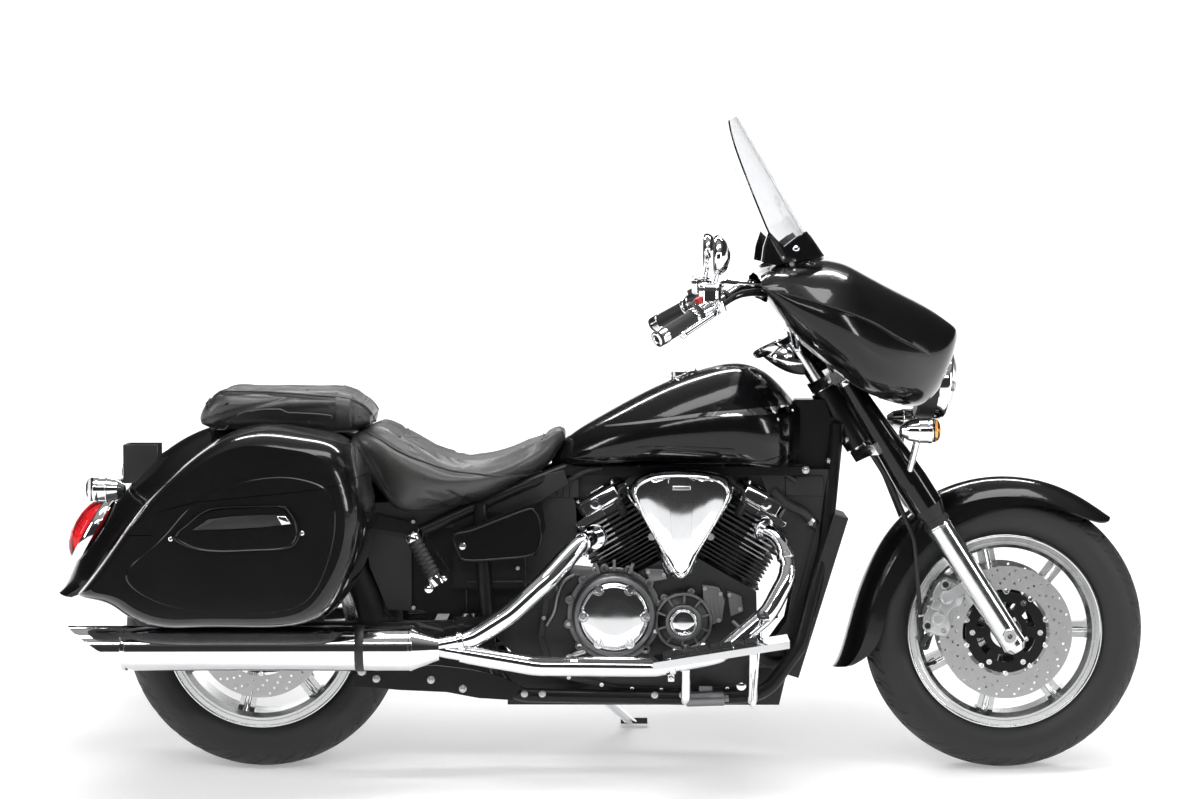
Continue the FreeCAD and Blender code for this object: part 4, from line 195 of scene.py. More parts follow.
def metal(name, colour, rough, rough_spread, grain=0.0, grain_scale=400.0):
    """Bare metal, with small changes of polish and a fine surface."""
    made, tree, shader = material(name)
    place = coordinates(tree)
    cloud = noise(tree, place, 24, 5)
    tint(tree, cloud, "Fac", shader, (0.25, [c * 0.93 for c in colour]), (0.75, colour))
    polish(tree, cloud, shader, rough, rough + rough_spread)
    if grain:
        speck = noise(tree, place, grain_scale, 3)
        bump(tree, speck, "Fac", shader, grain, 0.0006)
    setting(shader, Metallic=1.0)
    return made


def plain(name, low, high, rough, scale, grain):
    """Moulded plastic or rubber with a fine grain."""
    made, tree, shader = material(name)
    place = coordinates(tree)
    cloud = noise(tree, place, 14, 4)
    tint(tree, cloud, "Fac", shader, (0.3, low), (0.75, high))
    polish(tree, cloud, shader, rough * 0.85, rough * 1.15)
    speck = noise(tree, place, scale, 2)
    bump(tree, speck, "Fac", shader, grain, 0.0005)
    return made


def leather():
    made, tree, shader = material("leather")
    place = coordinates(tree)
    cells = node(tree, "ShaderNodeTexVoronoi", feature="DISTANCE_TO_EDGE", Scale=420)
    link(tree, place, "Vector", cells, "Vector")
    folds = noise(tree, place, 34, 6, 0.6)
    worn = noise(tree, place, 7, 3)
    tint(tree, worn, "Fac", shader, (0.3, (0.010, 0.0095, 0.009)), (0.8, (0.019, 0.018, 0.017)))
    edge = between(tree, cells, "Distance", 0.0, 1.0, 0.0, 0.08)
    both = node(tree, "ShaderNodeMath", operation="MULTIPLY_ADD")
    both.inputs[1].default_value = 0.5
    link(tree, folds, "Fac", both, 0)
    link(tree, edge, "Result", both, 2)
    bump(tree, both, "Value", shader, 0.35, 0.0006)
    polish(tree, folds, shader, 0.26, 0.38, 0.7)
    setting(shader, Specular_IOR_Level=1.0, Sheen_Weight=0.03)
    return made


def glass(name, colour, rough, ior):
    made, tree, shader = material(name)
    place = coordinates(tree)
    cloud = noise(tree, place, 30, 3)
    polish(tree, cloud, shader, rough, rough + 0.02)
    tint(tree, cloud, "Fac", shader, (0.3, colour), (0.8, [min(1, c * 1.04) for c in colour]))
    setting(shader, Transmission_Weight=1.0, IOR=ior)
    return made


def brushed(name, colour):
    """Ground steel: fine rings round the axle."""
    made, tree, shader = material(name)
    place = coordinates(tree)
    rings = node(tree, "ShaderNodeTexWave", wave_type="RINGS", rings_direction="SPHERICAL", Scale=160, Distortion=1.5,
                 Detail=3)
    link(tree, place, "Vector", rings, "Vector")
    tint(tree, rings, "Fac", shader, (0.2, [c * 0.86 for c in colour]), (0.8, colour))
    bump(tree, rings, "Fac", shader, 0.06, 0.0003)
    setting(shader, Metallic=1.0, Roughness=0.28)
    return made


MATS = {
    "gloss_black_paint": paint("gloss_black_paint", (0.0035, 0.0035, 0.004), 0.18, 0.05),
    "gloss_plastic": paint("gloss_plastic", (0.0045, 0.0045, 0.005), 0.2, 0.07),
    "dark_frame_paint": paint("dark_frame_paint", (0.008, 0.008, 0.0085), 0.38, 0.10, 0.35),
    "chrome": metal("chrome", (0.90, 0.905, 0.92), 0.035, 0.03),
    "cast_aluminium": metal("cast_aluminium", (0.52, 0.525, 0.53), 0.32, 0.12, 0.25, 900),
    "polished_aluminium": metal("polished_aluminium", (0.78, 0.785, 0.79), 0.14, 0.08, 0.04, 700),
    "cast_dark": metal("cast_dark", (0.23, 0.23, 0.235), 0.34, 0.12, 0.2, 900),
    "dark_cylinder": plain("dark_cylinder", (0.012, 0.012, 0.0125), (0.022, 0.022, 0.023), 0.42, 1500, 0.35),
    "steel": brushed("steel", (0.62, 0.62, 0.625)),
    "tyre": plain("tyre", (0.014, 0.014, 0.0145), (0.022, 0.022, 0.022), 0.62, 900, 0.3),
    "rubber": plain("rubber", (0.010, 0.010, 0.0105), (0.020, 0.020, 0.020), 0.55, 900, 0.3),
    "leather": leather(),
    "black_plastic": plain("black_plastic", (0.010, 0.010, 0.011), (0.017, 0.017, 0.018), 0.45, 1200, 0.25),
    "clear_screen": glass("clear_screen", (0.87, 0.875, 0.885), 0.0, 1.25),
    "red_lens": glass("red_lens", (0.62, 0.015, 0.02), 0.04, 1.3),
    "clear_lens": glass("clear_lens", (0.93, 0.94, 0.95), 0.02, 1.35),
    "lamp_glass": glass("lamp_glass", (0.96, 0.965, 0.97), 0.0, 1.25),
    "amber_lens": glass("amber_lens", (0.95, 0.42, 0.10), 0.03, 1.35),
    "mirror_glass": metal("mirror_glass", (0.86, 0.87, 0.89), 0.01, 0.01),
    "dial_white": plain("dial_white", (0.70, 0.70, 0.68), (0.78, 0.78, 0.76), 0.5, 900, 0.1),
    "red_plastic": plain("red_plastic", (0.42, 0.012, 0.015), (0.52, 0.018, 0.02), 0.38, 1200, 0.15),
}

slots = {p["node"]: p["material_slot"] for p in frame["record"]["subparts"]}
for name, piece in frame["nodes"].items():
    piece.data.materials.clear()
    piece.data.materials.append(MATS[slots[name]])

# Floor, backdrop and lamps
FLOOR_GLOW = 0.30
FLOOR_HALF = 40
GLOW_FROM, GLOW_FULL = 1.8, 6.0


def seen_rays(tree, *kinds):
    """1 for the kinds of ray named."""
    rays = node(tree, "ShaderNodeLightPath")
    last = None
    for kind in kinds:
        both = node(tree, "ShaderNodeMath", operation="MAXIMUM")
        both.inputs[1].default_value = 0
        link(tree, rays, kind, both, 0)
        if last:
            link(tree, last, "Value", both, 1)
        last = both
    return last


floor_mesh = bpy.data.meshes.new("floor")
corners = ((-1, -1), (1, -1), (1, 1), (-1, 1))
floor_mesh.from_pydata([(FLOOR_HALF * x, FLOOR_HALF * y, 0) for x, y in corners], [], [(0, 1, 2, 3)])
floor = bpy.data.objects.new("floor", floor_mesh)
scene.collection.objects.link(floor)
made, tree, shader = material("floor")
place = coordinates(tree)
cloud = noise(tree, place, 0.7, 3)
tone = ramp(tree, cloud, "Fac", [(0.3, grey(0.80)), (0.8, grey(0.83))])
link(tree, tone, "Color", shader, "Base Color")
setting(shader, Roughness=0.6, Specular_IOR_Level=0.1)
glow = node(tree, "ShaderNodeEmission", Color=grey(1))
split = node(tree, "ShaderNodeSeparateXYZ")
link(tree, place, "Vector", split, "Vector")
flat = node(tree, "ShaderNodeCombineXYZ")
link(tree, split, "X", flat, "X")
link(tree, split, "Y", flat, "Y")
far = node(tree, "ShaderNodeVectorMath", operation="LENGTH")
link(tree, flat, "Vector", far, 0)
lift = between(tree, far, "Value", FLOOR_GLOW, 1.0, GLOW_FROM, GLOW_FULL)
lit = node(tree, "ShaderNodeMath", operation="MULTIPLY")
link(tree, lift, "Result", lit, 0)
link(tree, seen_rays(tree, "Is Camera Ray", "Is Glossy Ray", "Is Transmission Ray"), "Value", lit, 1)
link(tree, lit, "Value", glow, "Strength")
both = node(tree, "ShaderNodeAddShader")
link(tree, shader, "BSDF", both, 0)
link(tree, glow, "Emission", both, 1)
link(tree, both, "Shader", tree.nodes["Material Output"], "Surface")
floor_mesh.materials.append(made)

world = bpy.data.worlds.new("studio")
scene.world = world
world.use_nodes = True
tree = world.node_tree
ambient = tree.nodes["Background"]
setting(ambient, Color=grey(0.62), Strength=0.55)
place = node(tree, "ShaderNodeTexCoord")
split = node(tree, "ShaderNodeSeparateXYZ")
link(tree, place, "Generated", split, "Vector")
height = ramp(tree, split, "Z", [(0.0, grey(1)), (0.0275, grey(1)), (0.031, grey(0.05)), (0.10, grey(0.035)),
                                 (0.45, grey(0.03)), (0.60, grey(0.10)), (0.80, grey(0.35))])
studio = node(tree, "ShaderNodeBackground")
link(tree, height, "Color", studio, "Color")
white = node(tree, "ShaderNodeBackground", Color=grey(1))
dim = node(tree, "ShaderNodeMixShader")
link(tree, seen_rays(tree, "Is Glossy Ray"), "Value", dim, "Fac")
link(tree, ambient, "Background", dim, 1)
link(tree, studio, "Background", dim, 2)
mixed = node(tree, "ShaderNodeMixShader")
link(tree, seen_rays(tree, "Is Camera Ray", "Is Transmission Ray"), "Value", mixed, "Fac")
link(tree, dim, "Shader", mixed, 1)
link(tree, white, "Background", mixed, 2)
link(tree, mixed, "Shader", tree.nodes["World Output"], "Surface")


def lamp(name, spot, target, width, height, power):
    made = bpy.data.objects.new(name, bpy.data.lights.new(name, "AREA"))
    made.data.shape = "RECTANGLE"
    made.data.size, made.data.size_y = width, height
    made.data.energy = power
    made.location = spot
    made.rotation_mode = "QUATERNION"
    made.rotation_quaternion = (Vector(target) - Vector(spot)).to_track_quat("-Z", "Y")
    scene.collection.objects.link(made)


lamp("lamp_top", (0.2, -0.5, 4.2), (0, 0, 0.4), 4.6, 1.3, 130)
lamp("lamp_near", (0.0, -3.6, 3.5), (0, 0, 0.6), 4.6, 0.45, 60)
lamp("lamp_far", (0.0, 3.8, 3.3), (0, 0, 0.6), 4.6, 0.30, 110)
lamp("lamp_front", (4.2, -2.0, 2.2), (0.4, 0, 0.6), 0.5, 2.2, 50)
lamp("lamp_back", (-4.2, -2.0, 2.2), (-0.4, 0, 0.5), 0.5, 2.2, 50)

# Modelling helpers: every shape is given upright in millimetres and put into the stance at the end
DOWN = UP.inverted()
AHEAD, LEFT, RISE = vec(1, 0, 0), vec(0, 1, 0), vec(0, 0, 1)
RIGHT = -LEFT
SIDES = [(-1, RIGHT), (1, LEFT)]
TURN = 2 * pi
SKIN_DEPTH = 250  # from the middle plane out to where a ray that misses a surface looks for the nearest one


class Kit:
    """Gathers shapes of one material into one piece."""

    def __init__(self):
        self.verts = []
        self.faces = []

    def add(self, verts, faces):
        base = len(self.verts)
        self.verts += [Vector(v) for v in verts]
        self.faces += [tuple(i + base for i in f) for f in faces]

    def lathe(self, profile, spot, along, sides=32):
        """A profile of (radius, height) turned about an axis."""
        along = Vector(along).normalized()
        side = along.orthogonal().normalized()
        other = along.cross(side)
        rings, verts, faces = [], [], []
        for radius, height in profile:
            centre = spot + along * height
            ring = [centre + side * a + other * b for a, b in circle(radius, sides)] if radius else [centre]
            rings.append(range(len(verts), len(verts) + len(ring)))
            verts += ring
        for a, b in zip(rings, rings[1:]):
            for n in range(sides):
                m = (n + 1) % sides
                if len(a) == 1 and len(b) > 1:
                    faces.append((a[0], b[n], b[m]))
                elif len(b) == 1 and len(a) > 1:
                    faces.append((a[m], a[n], b[0]))
                elif len(a) > 1:
                    faces.append((a[n], b[n], b[m], a[m]))
        self.add(verts, faces)

    def tube(self, points, radius, sides=12, smooth=0, closed=False):
        """A round bar through points."""
        points = [Vector(p) for p in points]
        if smooth:
            points = curved(points, smooth, closed)
        self.loft(sweep_rings(points, [circle(radius, sides)] * len(points), closed), closed)

    def loft(self, rings, closed=False, ends=True):
        count = len(rings[0])
        faces = []
        for a in range(len(rings) - (0 if closed else 1)):
            b = (a + 1) % len(rings)
            for n in range(count):
                m = (n + 1) % count
                faces.append((a * count + n, a * count + m, b * count + m, b * count + n))
        if ends and not closed:
            faces.append(tuple(reversed(range(count))))
            faces.append(tuple(range((len(rings) - 1) * count, len(rings) * count)))
        self.add([v for ring in rings for v in ring], faces)

    def prism(self, outline, push):
        """A flat outline pushed along a direction."""
        self.loft([outline, [p + push for p in outline]])

    def block(self, centre, size, turn=None):
        """A block with its own axes."""
        x, y, z = [s / 2 for s in size]
        turn = turn or Matrix.Identity(3)
        low = [centre + turn @ Vector(c) for c in ((-x, -y, -z), (x, -y, -z), (x, y, -z), (-x, y, -z))]
        self.prism(low, turn @ vec(0, 0, 2 * z))

    def hexagon(self, spot, along, radius, height):
        """A hexagon head on its washer."""
        washer = radius * 1.45
        self.lathe([(0, -1), (washer, -1), (washer, height * 0.2), (radius, height * 0.25), (0, height * 0.25)],
                   spot, along, 18)
        self.lathe([(radius, height * 0.2), (radius, height * 0.88), (radius * 0.86, height), (0, height)],
                   spot, along, 6)

    def socket(self, spot, along, radius, height):
        """A round socket head with its hexagon hole."""
        self.lathe([(radius, -1), (radius, height * 0.85), (radius * 0.9, height), (radius * 0.52, height)],
                   spot, along, 18)
        self.lathe([(radius * 0.55, height), (radius * 0.5, height * 0.35), (0, height * 0.35)], spot, along, 6)

    def done(self, name, body, mat, smooth=True, bevel=0, angle=40, replace=()):
        mesh = bpy.data.meshes.new(name)
        mesh.from_pydata([UP @ v for v in self.verts], [], self.faces)
        form = bmesh.new()
        form.from_mesh(mesh)
        bmesh.ops.recalc_face_normals(form, faces=form.faces)
        form.to_mesh(mesh)
        form.free()
        made = bpy.data.objects.new(name, mesh)
        scene.collection.objects.link(made)
        mesh.materials.append(MATS[mat])
        if bevel:
            edge = made.modifiers.new("edges", "BEVEL")
            edge.width = bevel / 1000
            edge.segments = 2
            edge.limit_method = "ANGLE"
            edge.angle_limit = radians(35)
        if smooth:
            mesh.shade_smooth()
            mesh.set_sharp_from_angle(angle=radians(angle))
        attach(made, body)
        if replace:
            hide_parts(*replace)
        return made


def kits(count):
    return [Kit() for n in range(count)]


def heading(degrees_up):
    """A way in the plane of the wheels, turned up from straight ahead."""
    angle = radians(degrees_up)
    return vec(cos(angle), 0, sin(angle))


def around(centre, radius, degrees_up):
    """A place on an upright circle that runs along the machine."""
    return centre + heading(degrees_up) * radius


def axes(*ways):
    """The turn that lays a block's own axes along three ways."""
    return Matrix(ways).transposed()


def web(way):
    """A block's axes: along a way, across the machine, and square to both."""
    return axes(way, LEFT, way.cross(LEFT))


def at(u, v, y):
    """The place that a pixel of the photograph shows, on a plane beside the machine's middle."""
    k = 1 + y / EYE_FAR
    return vec(EYE_X + (u - EYE_U) * PIXEL * k, y, EYE_Z - (v - EYE_V) * PIXEL * k)


def flip(p, side):
    """A place or a way seen on the right, taken to a side."""
    return vec(p.x, -side * p.y, p.z)


def other_side(points):
    return [flip(p, 1) for p in points]


def circle(radius, count, x=0.0, y=0.0):
    """A circle as a flat section."""
    return [(x + radius * cos(TURN * n / count), y + radius * sin(TURN * n / count)) for n in range(count)]


def curved(points, steps, closed):
    """More points between the given ones, on a smooth curve through them."""
    count = len(points)
    out = []
    for i in range(count if closed else count - 1):
        a = points[(i - 1) % count] if closed or i > 0 else points[0] * 2 - points[1]
        b, c = points[i], points[(i + 1) % count]
        e = points[(i + 2) % count] if closed or i + 2 < count else c * 2 - b
        for n in range(steps):
            t = n / steps
            bend = (a * 2 - b * 5 + c * 4 - e) * t * t + (b * 3 - a - c * 3 + e) * t ** 3
            out.append((b * 2 + (c - a) * t + bend) / 2)
    return out if closed else out + [points[-1]]


def curved_flat(marks, steps, closed=True):
    """A smooth curve through flat marks."""
    return curved([vec(a, b, 0) for a, b in marks], steps, closed)


def sweep_rings(points, sections, closed=False, up=None):
    """Sections set square to a path, with no twist, or with one way up for all."""
    count = len(points)
    ways = []
    for i in range(count):
        a = points[(i - 1) % count] if closed or i > 0 else points[i]
        b = points[(i + 1) % count] if closed or i + 1 < count else points[i]
        ways.append((b - a).normalized())
    last = ways[0].orthogonal().normalized()
    rings = []
    for spot, way, section in zip(points, ways, sections):
        if up is not None:
            last = up
        last = (last - way * last.dot(way)).normalized()
        side = way.cross(last)
        rings.append([spot + side * a + last * b for a, b in section])
    return rings


def stretch(points, low=0.0, high=1.0, pace=18, count=None):
    """Evenly spaced points on part of a line, between two shares of its length."""
    marks = [0.0]
    for a, b in zip(points, points[1:]):
        marks.append(marks[-1] + (b - a).length)
    first, last = marks[-1] * low, marks[-1] * high
    count = count or max(2, int((last - first) / pace))
    out = []
    for n in range(count + 1):
        want = first + (last - first) * n / count
        i = max(k for k in range(len(points) - 1) if marks[k] <= want + 1e-6)
        t = (want - marks[i]) / max(1e-6, marks[i + 1] - marks[i])
        out.append(points[i].lerp(points[i + 1], min(1, t)))
    return out


def shrunk_line(points, share):
    """An outline drawn in towards its middle."""
    middle = sum(points, Vector()) / len(points)
    return [middle + (p - middle) * share for p in points]


def stepped(points, out, steps):
    """Rings of an outline, each with its share of the size and its lift."""
    return [[p + out * lift for p in shrunk_line(points, share)] for share, lift in steps]


class Skin:
    """The surface of a mesh, for setting things onto."""

    def __init__(self, mesh):
        self.tree = BVHTree.FromPolygons([DOWN @ v.co for v in mesh.vertices],
                                         [tuple(p.vertices) for p in mesh.polygons])

    def hit(self, spot, way):
        return self.tree.ray_cast(Vector(spot), Vector(way).normalized())[:2]

    def near(self, spot):
        return self.tree.find_nearest(spot)[:2]

    def seen(self, u, v, lift=0.0):
        """Where a pixel of the photograph falls on the surface, and the way it faces."""
        way = vec((u - EYE_U) * PIXEL, EYE_FAR, -(v - EYE_V) * PIXEL)
        spot, normal = self.hit(eye, way)
        if spot is None:
            spot, normal = self.near(eye + way * (EYE_FAR - SKIN_DEPTH) / EYE_FAR)
        if normal.y > 0:
            normal = -normal
        return spot + normal * lift, normal


def cad_skin(name):
    return Skin(frame["nodes"][name].data)


# Tyres with their road tread
TYRE_RADIUS = 317.8
GROOVE = 4.2
BEAD_FOOT, BEAD, RIM_EDGE, WIDEST = 207, 214, 223, 262


def arc_through(a, b, c, steps):
    """Points of a circle's arc through three marks."""
    ax, ay, bx, by, cx, cy = *a, *b, *c
    det = 2 * (ax * (by - cy) + bx * (cy - ay) + cx * (ay - by))
    aa, bb, cc = ax * ax + ay * ay, bx * bx + by * by, cx * cx + cy * cy
    ux = (aa * (by - cy) + bb * (cy - ay) + cc * (ay - by)) / det
    uy = (aa * (cx - bx) + bb * (ax - cx) + cc * (bx - ax)) / det
    radius = hypot(ax - ux, ay - uy)
    first, mid, last = [atan2(y - uy, x - ux) for x, y in (a, b, c)]
    if not min(first, last) <= mid <= max(first, last):
        if first < last:
            first += TURN
        else:
            last += TURN
    angles = [first + (last - first) * n / steps for n in range(steps + 1)]
    return [(ux + radius * cos(angle), uy + radius * sin(angle)) for angle in angles]


def groove_depth(place, share, pitches):
    """How deep the tread is cut at a place round the tyre and a share of its half width."""
    stagger = 0.5 if share >= 0 else 0.0
    reach = abs(share)
    deep = 0.0
    # A sweeping groove from near the middle out to the shoulder, staggered from side to side
    if 0.10 < reach < 0.97:
        phase = place * pitches + stagger - 0.75 * reach ** 1.6 - 0.10 * sin(reach * 9)
        away = abs((phase + 0.5) % 1 - 0.5)
        width = 0.055 + 0.03 * (1 - reach)
        if away < width:
            deep = min(1.0, (width - away) / (width * 0.35)) * (0.75 if reach > 0.85 else 1.0)
    # A short groove between them on the shoulder
    if 0.48 < reach < 0.92:
        phase = place * pitches + 0.5 - stagger - 0.9 * reach ** 1.3
        if abs((phase + 0.5) % 1 - 0.5) < 0.035:
            deep = max(deep, 0.6)
    # Two wandering channels round the tyre
    channel = 0.20 + 0.05 * sin(TURN * (place * pitches + stagger))
    return max(deep, 0.9) if abs(reach - channel) < 0.028 else deep


def tyre_form(word, axle, half, crown, bead_half, pitches):
    """A tyre with its tread: side walls in a round arc, and a crown cut by the grooves."""
    angle = radians(53)
    tread_steps = 46
    segments = pitches * 18
    shoulder = (TYRE_RADIUS - crown + crown * cos(angle), crown * sin(angle))
    wall = arc_through((RIM_EDGE, bead_half), (WIDEST, half), shoulder, 9)
    # Two fine lines stand off the wall
    raised = [(r, -h + (-0.9 if n in (3, 6) else 0), None) for n, (r, h) in enumerate(wall[:-1])]
    profile = [(BEAD_FOOT, -bead_half + 1, None), (BEAD, -bead_half, None)] + raised
    for n in range(tread_steps + 1):
        a = -angle + 2 * angle * n / tread_steps
        profile.append((TYRE_RADIUS - crown + crown * cos(a), crown * sin(a), a / angle))
    profile += [(r, -h, t) for r, h, t in reversed(raised)]
    profile += [(BEAD, bead_half, None), (BEAD_FOOT, bead_half - 1, None)]
    rings = []
    for s in range(segments):
        out = heading(360 * s / segments)
        ring = []
        for r, h, share in profile:
            low = 0.0 if share is None else GROOVE * groove_depth(s / segments, share, pitches)
            ring.append(axle + out * (r - low) + vec(0, h, 0))
        rings.append(ring)
    kit = Kit()
    kit.loft(rings, closed=True)
    kit.done(word + "_tread", word + "_wheel", "tyre", angle=32, replace=(word + "_tyre",))


tyre_form("front", FRONT, half=65, crown=72, bead_half=44, pitches=34)
tyre_form("rear", REAR, half=80, crown=92, bead_half=60, pitches=30)


# Brake discs with their holes and carriers


def pierced(outlines, thick):
    """Flat outlines filled between, with holes where outlines lie inside: points in a plane and their faces."""
    data = bpy.data.curves.new("flat", "CURVE")
    data.dimensions = "2D"
    data.fill_mode = "BOTH"
    data.extrude = thick / 2
    for marks in outlines:
        line = data.splines.new("POLY")
        line.points.add(len(marks) - 1)
        for point, (x, y) in zip(line.points, marks):
            point.co = (x, y, 0, 1)
        line.use_cyclic_u = True
    holder = bpy.data.objects.new("flat", data)
    scene.collection.objects.link(holder)
    bpy.context.view_layer.update()
    mesh = bpy.data.meshes.new_from_object(holder.evaluated_get(bpy.context.evaluated_depsgraph_get()))
    verts = [v.co.copy() for v in mesh.vertices]
    faces = [tuple(p.vertices) for p in mesh.polygons]
    bpy.data.objects.remove(holder)
    bpy.data.curves.remove(data)
    bpy.data.meshes.remove(mesh)
    return verts, faces


def put(kit, flat, centre, along):
    verts, faces = flat
    other = along.cross(AHEAD)
    kit.add([centre + AHEAD * v.x + other * v.y + along * v.z for v in verts], faces)


def window(low, high, first, last, steps=8):
    """A window between two radii and two angles, in degrees."""
    angles = [radians(first + (last - first) * n / steps) for n in range(steps + 1)]
    return [(high * cos(a), high * sin(a)) for a in angles] + [(low * cos(a), low * sin(a)) for a in reversed(angles)]


def toothed(radius, depth, count):
    """An inner edge with a tab for each rivet."""
    marks = []
    for n in range(count * 12):
        angle = TURN * n / (count * 12)
        reach = radius - (depth if n % 12 in (5, 6, 7) else 0)
        marks.append((reach * cos(angle), reach * sin(angle)))
    return marks


def disc_holes(outer, count):
    """Four rows of holes, each turned a little on from the last."""
    holes = []
    for row in range(4):
        for n in range(count):
            angle = TURN * (n + row * 0.31) / count
            reach = outer - 10 * row
            holes.append(circle(2.9, 10, reach * cos(angle), reach * sin(angle)))
    return holes


DISC_THICK, CARRIER_THICK = 5, 6
RIVET_CIRCLE, BOLT_CIRCLE = 93.5, 77


def brake_disc(rotors, carriers, rivets, axle, out, radius, off):
    """A pierced rotor on its carrier, at a distance off the wheel's middle plane."""
    rotor_flat = pierced([circle(radius, 120), toothed(99, 9, 10)] + disc_holes(radius - 8, 22), DISC_THICK)
    put(rotors, rotor_flat, axle + out * off, out)
    put(carriers, carrier_flat, axle + out * (off + 0.6), out)
    for n in range(10):
        rivets.lathe([(5.8, -4), (5.8, 1.2), (4.6, 2.2), (2.6, 2.2), (2.2, 1.2), (0, 1.2)],
                     around(axle + out * (off + 2.3), RIVET_CIRCLE, 36 * n + 18), out, 16)
    for n in range(6):
        rivets.socket(around(axle + out * (off + 3.6), BOLT_CIRCLE, 60 * n), out, 6.8, 5.5)


windows = [window(52, 68, 60 * n + 12, 60 * n + 48) for n in range(6)]
carrier_flat = pierced([circle(92, 72), circle(36, 40)] + windows, CARRIER_THICK)
rotors, carriers, rivets, hubs = kits(4)
for side, out in SIDES:
    brake_disc(rotors, carriers, rivets, FRONT, out, radius=151, off=69.2)
    hubs.lathe([(13, -2), (35.5, -2), (35.5, 5.5), (30, 7.5), (26, 7.5), (24, 4), (20, 4), (18.5, 11), (13, 11)],
               FRONT + out * 67, out, 36)
rotors.done("front_rotors", "front_wheel", "steel", angle=30, replace=("front_discs",))
carriers.done("front_carriers", "front_wheel", "dark_frame_paint", bevel=0.8)
rivets.done("front_disc_bolts", "front_wheel", "chrome")
hubs.done("front_hub_caps", "front_wheel", "polished_aluminium")

rotors, carriers, rivets = kits(3)
brake_disc(rotors, carriers, rivets, REAR, RIGHT, radius=149, off=87.2)
rotors.done("rear_rotor", "rear_wheel", "steel", angle=30, replace=("rear_disc",))
carriers.done("rear_carrier", "rear_wheel", "dark_frame_paint", bevel=0.8)
rivets.done("rear_disc_bolts", "rear_wheel", "chrome")

# Wheels: raised lips on the flange, a rib down each spoke, a valve
SPOKES = 7
SPOKE_IN, SPOKE_OUT, SPOKE_FACE = 50, 190, 16.5
VALVE_AT = 205
RIB = [(-7, 0), (-5, 2.2), (-2.5, 2.6), (0, 1.2), (2.5, 2.6), (5, 2.2), (7, 0)]
for word, axle, face in (("front", FRONT, 50.3), ("rear", REAR, 66.3)):
    body = word + "_wheel"
    lips, ribs, stem = kits(3)
    for side, out in SIDES:
        lips.lathe([(221, face - 3), (221, face + 1.4), (219, face + 2.2), (216.5, face + 1.4), (215, face - 0.4),
                    (211, face - 0.4)], axle, out, 144)
        lips.lathe([(208.5, face - 1), (207.5, face + 1.6), (205.5, face + 1.6), (203.5, face - 1.5)], axle, out, 144)
        for n in range(SPOKES):
            way = heading(-360 * n / SPOKES)
            across = vec(-way.z, 0, way.x)
            low, high = [axle + way * reach + out * SPOKE_FACE for reach in (SPOKE_IN, SPOKE_OUT)]
            ribs.loft([[spot + across * a * grow + out * b for a, b in RIB]
                       for spot, grow in ((low, 0.75), (low.lerp(high, 0.5), 0.85), (high, 1.15))])
    stem.lathe([(0, -4), (5.5, -4), (5, 4), (3.8, 6), (3.8, 17), (4.4, 18), (4.4, 29), (3.2, 31), (0, 31)],
               around(axle, 196, VALVE_AT) + RIGHT * 20, RIGHT * 0.62 - heading(VALVE_AT) * 0.75, 14)
    lips.done(word + "_rim_lips", body, "polished_aluminium")
    ribs.done(word + "_spoke_ribs", body, "polished_aluminium", bevel=0.4)
    stem.done(word + "_valve", body, "rubber")


# Engine: bright fin edges, rocker covers, bolts, cover caps
CRANK = vec(955, 0, 300)
VEE = radians(30)
FIN_EDGES = [(275 + 12 * n, 5, 92, 90) for n in range(5)] + [(252.6 + 9.6 * n, 3.2, 90, 86) for n in range(2)]
COVER_FACE = 110.3


def bore(side, ahead, out, up):
    """A place in a cylinder's own axes: ahead along its fins, out to the left, up its bore."""
    axis = vec(side * sin(VEE), 0, cos(VEE))
    flat = vec(cos(VEE), 0, -side * sin(VEE))
    return CRANK + flat * ahead + vec(0, out, 0) + axis * up


def eight(side, up, half_long, half_wide, soft):
    """An outline square to a bore, with its four corners cut."""
    ends, edges = half_long - soft, half_wide - soft
    return [bore(side, a, b, up) for a, b in
            ((-half_long, -edges), (-ends, -half_wide), (ends, -half_wide), (half_long, -edges), (half_long, edges),
             (ends, half_wide), (-ends, half_wide), (-half_long, edges))]


def boss(spot, out, radius, high, sides, head):
    """A boss on a cover's edge with its bolt."""
    flange.lathe([(radius, 0.2), (radius, high), (radius - 1, high + 1.5), (0, high + 1.5)], spot, out, sides)
    bolts.socket(spot + out * (high + 1), out, *head)


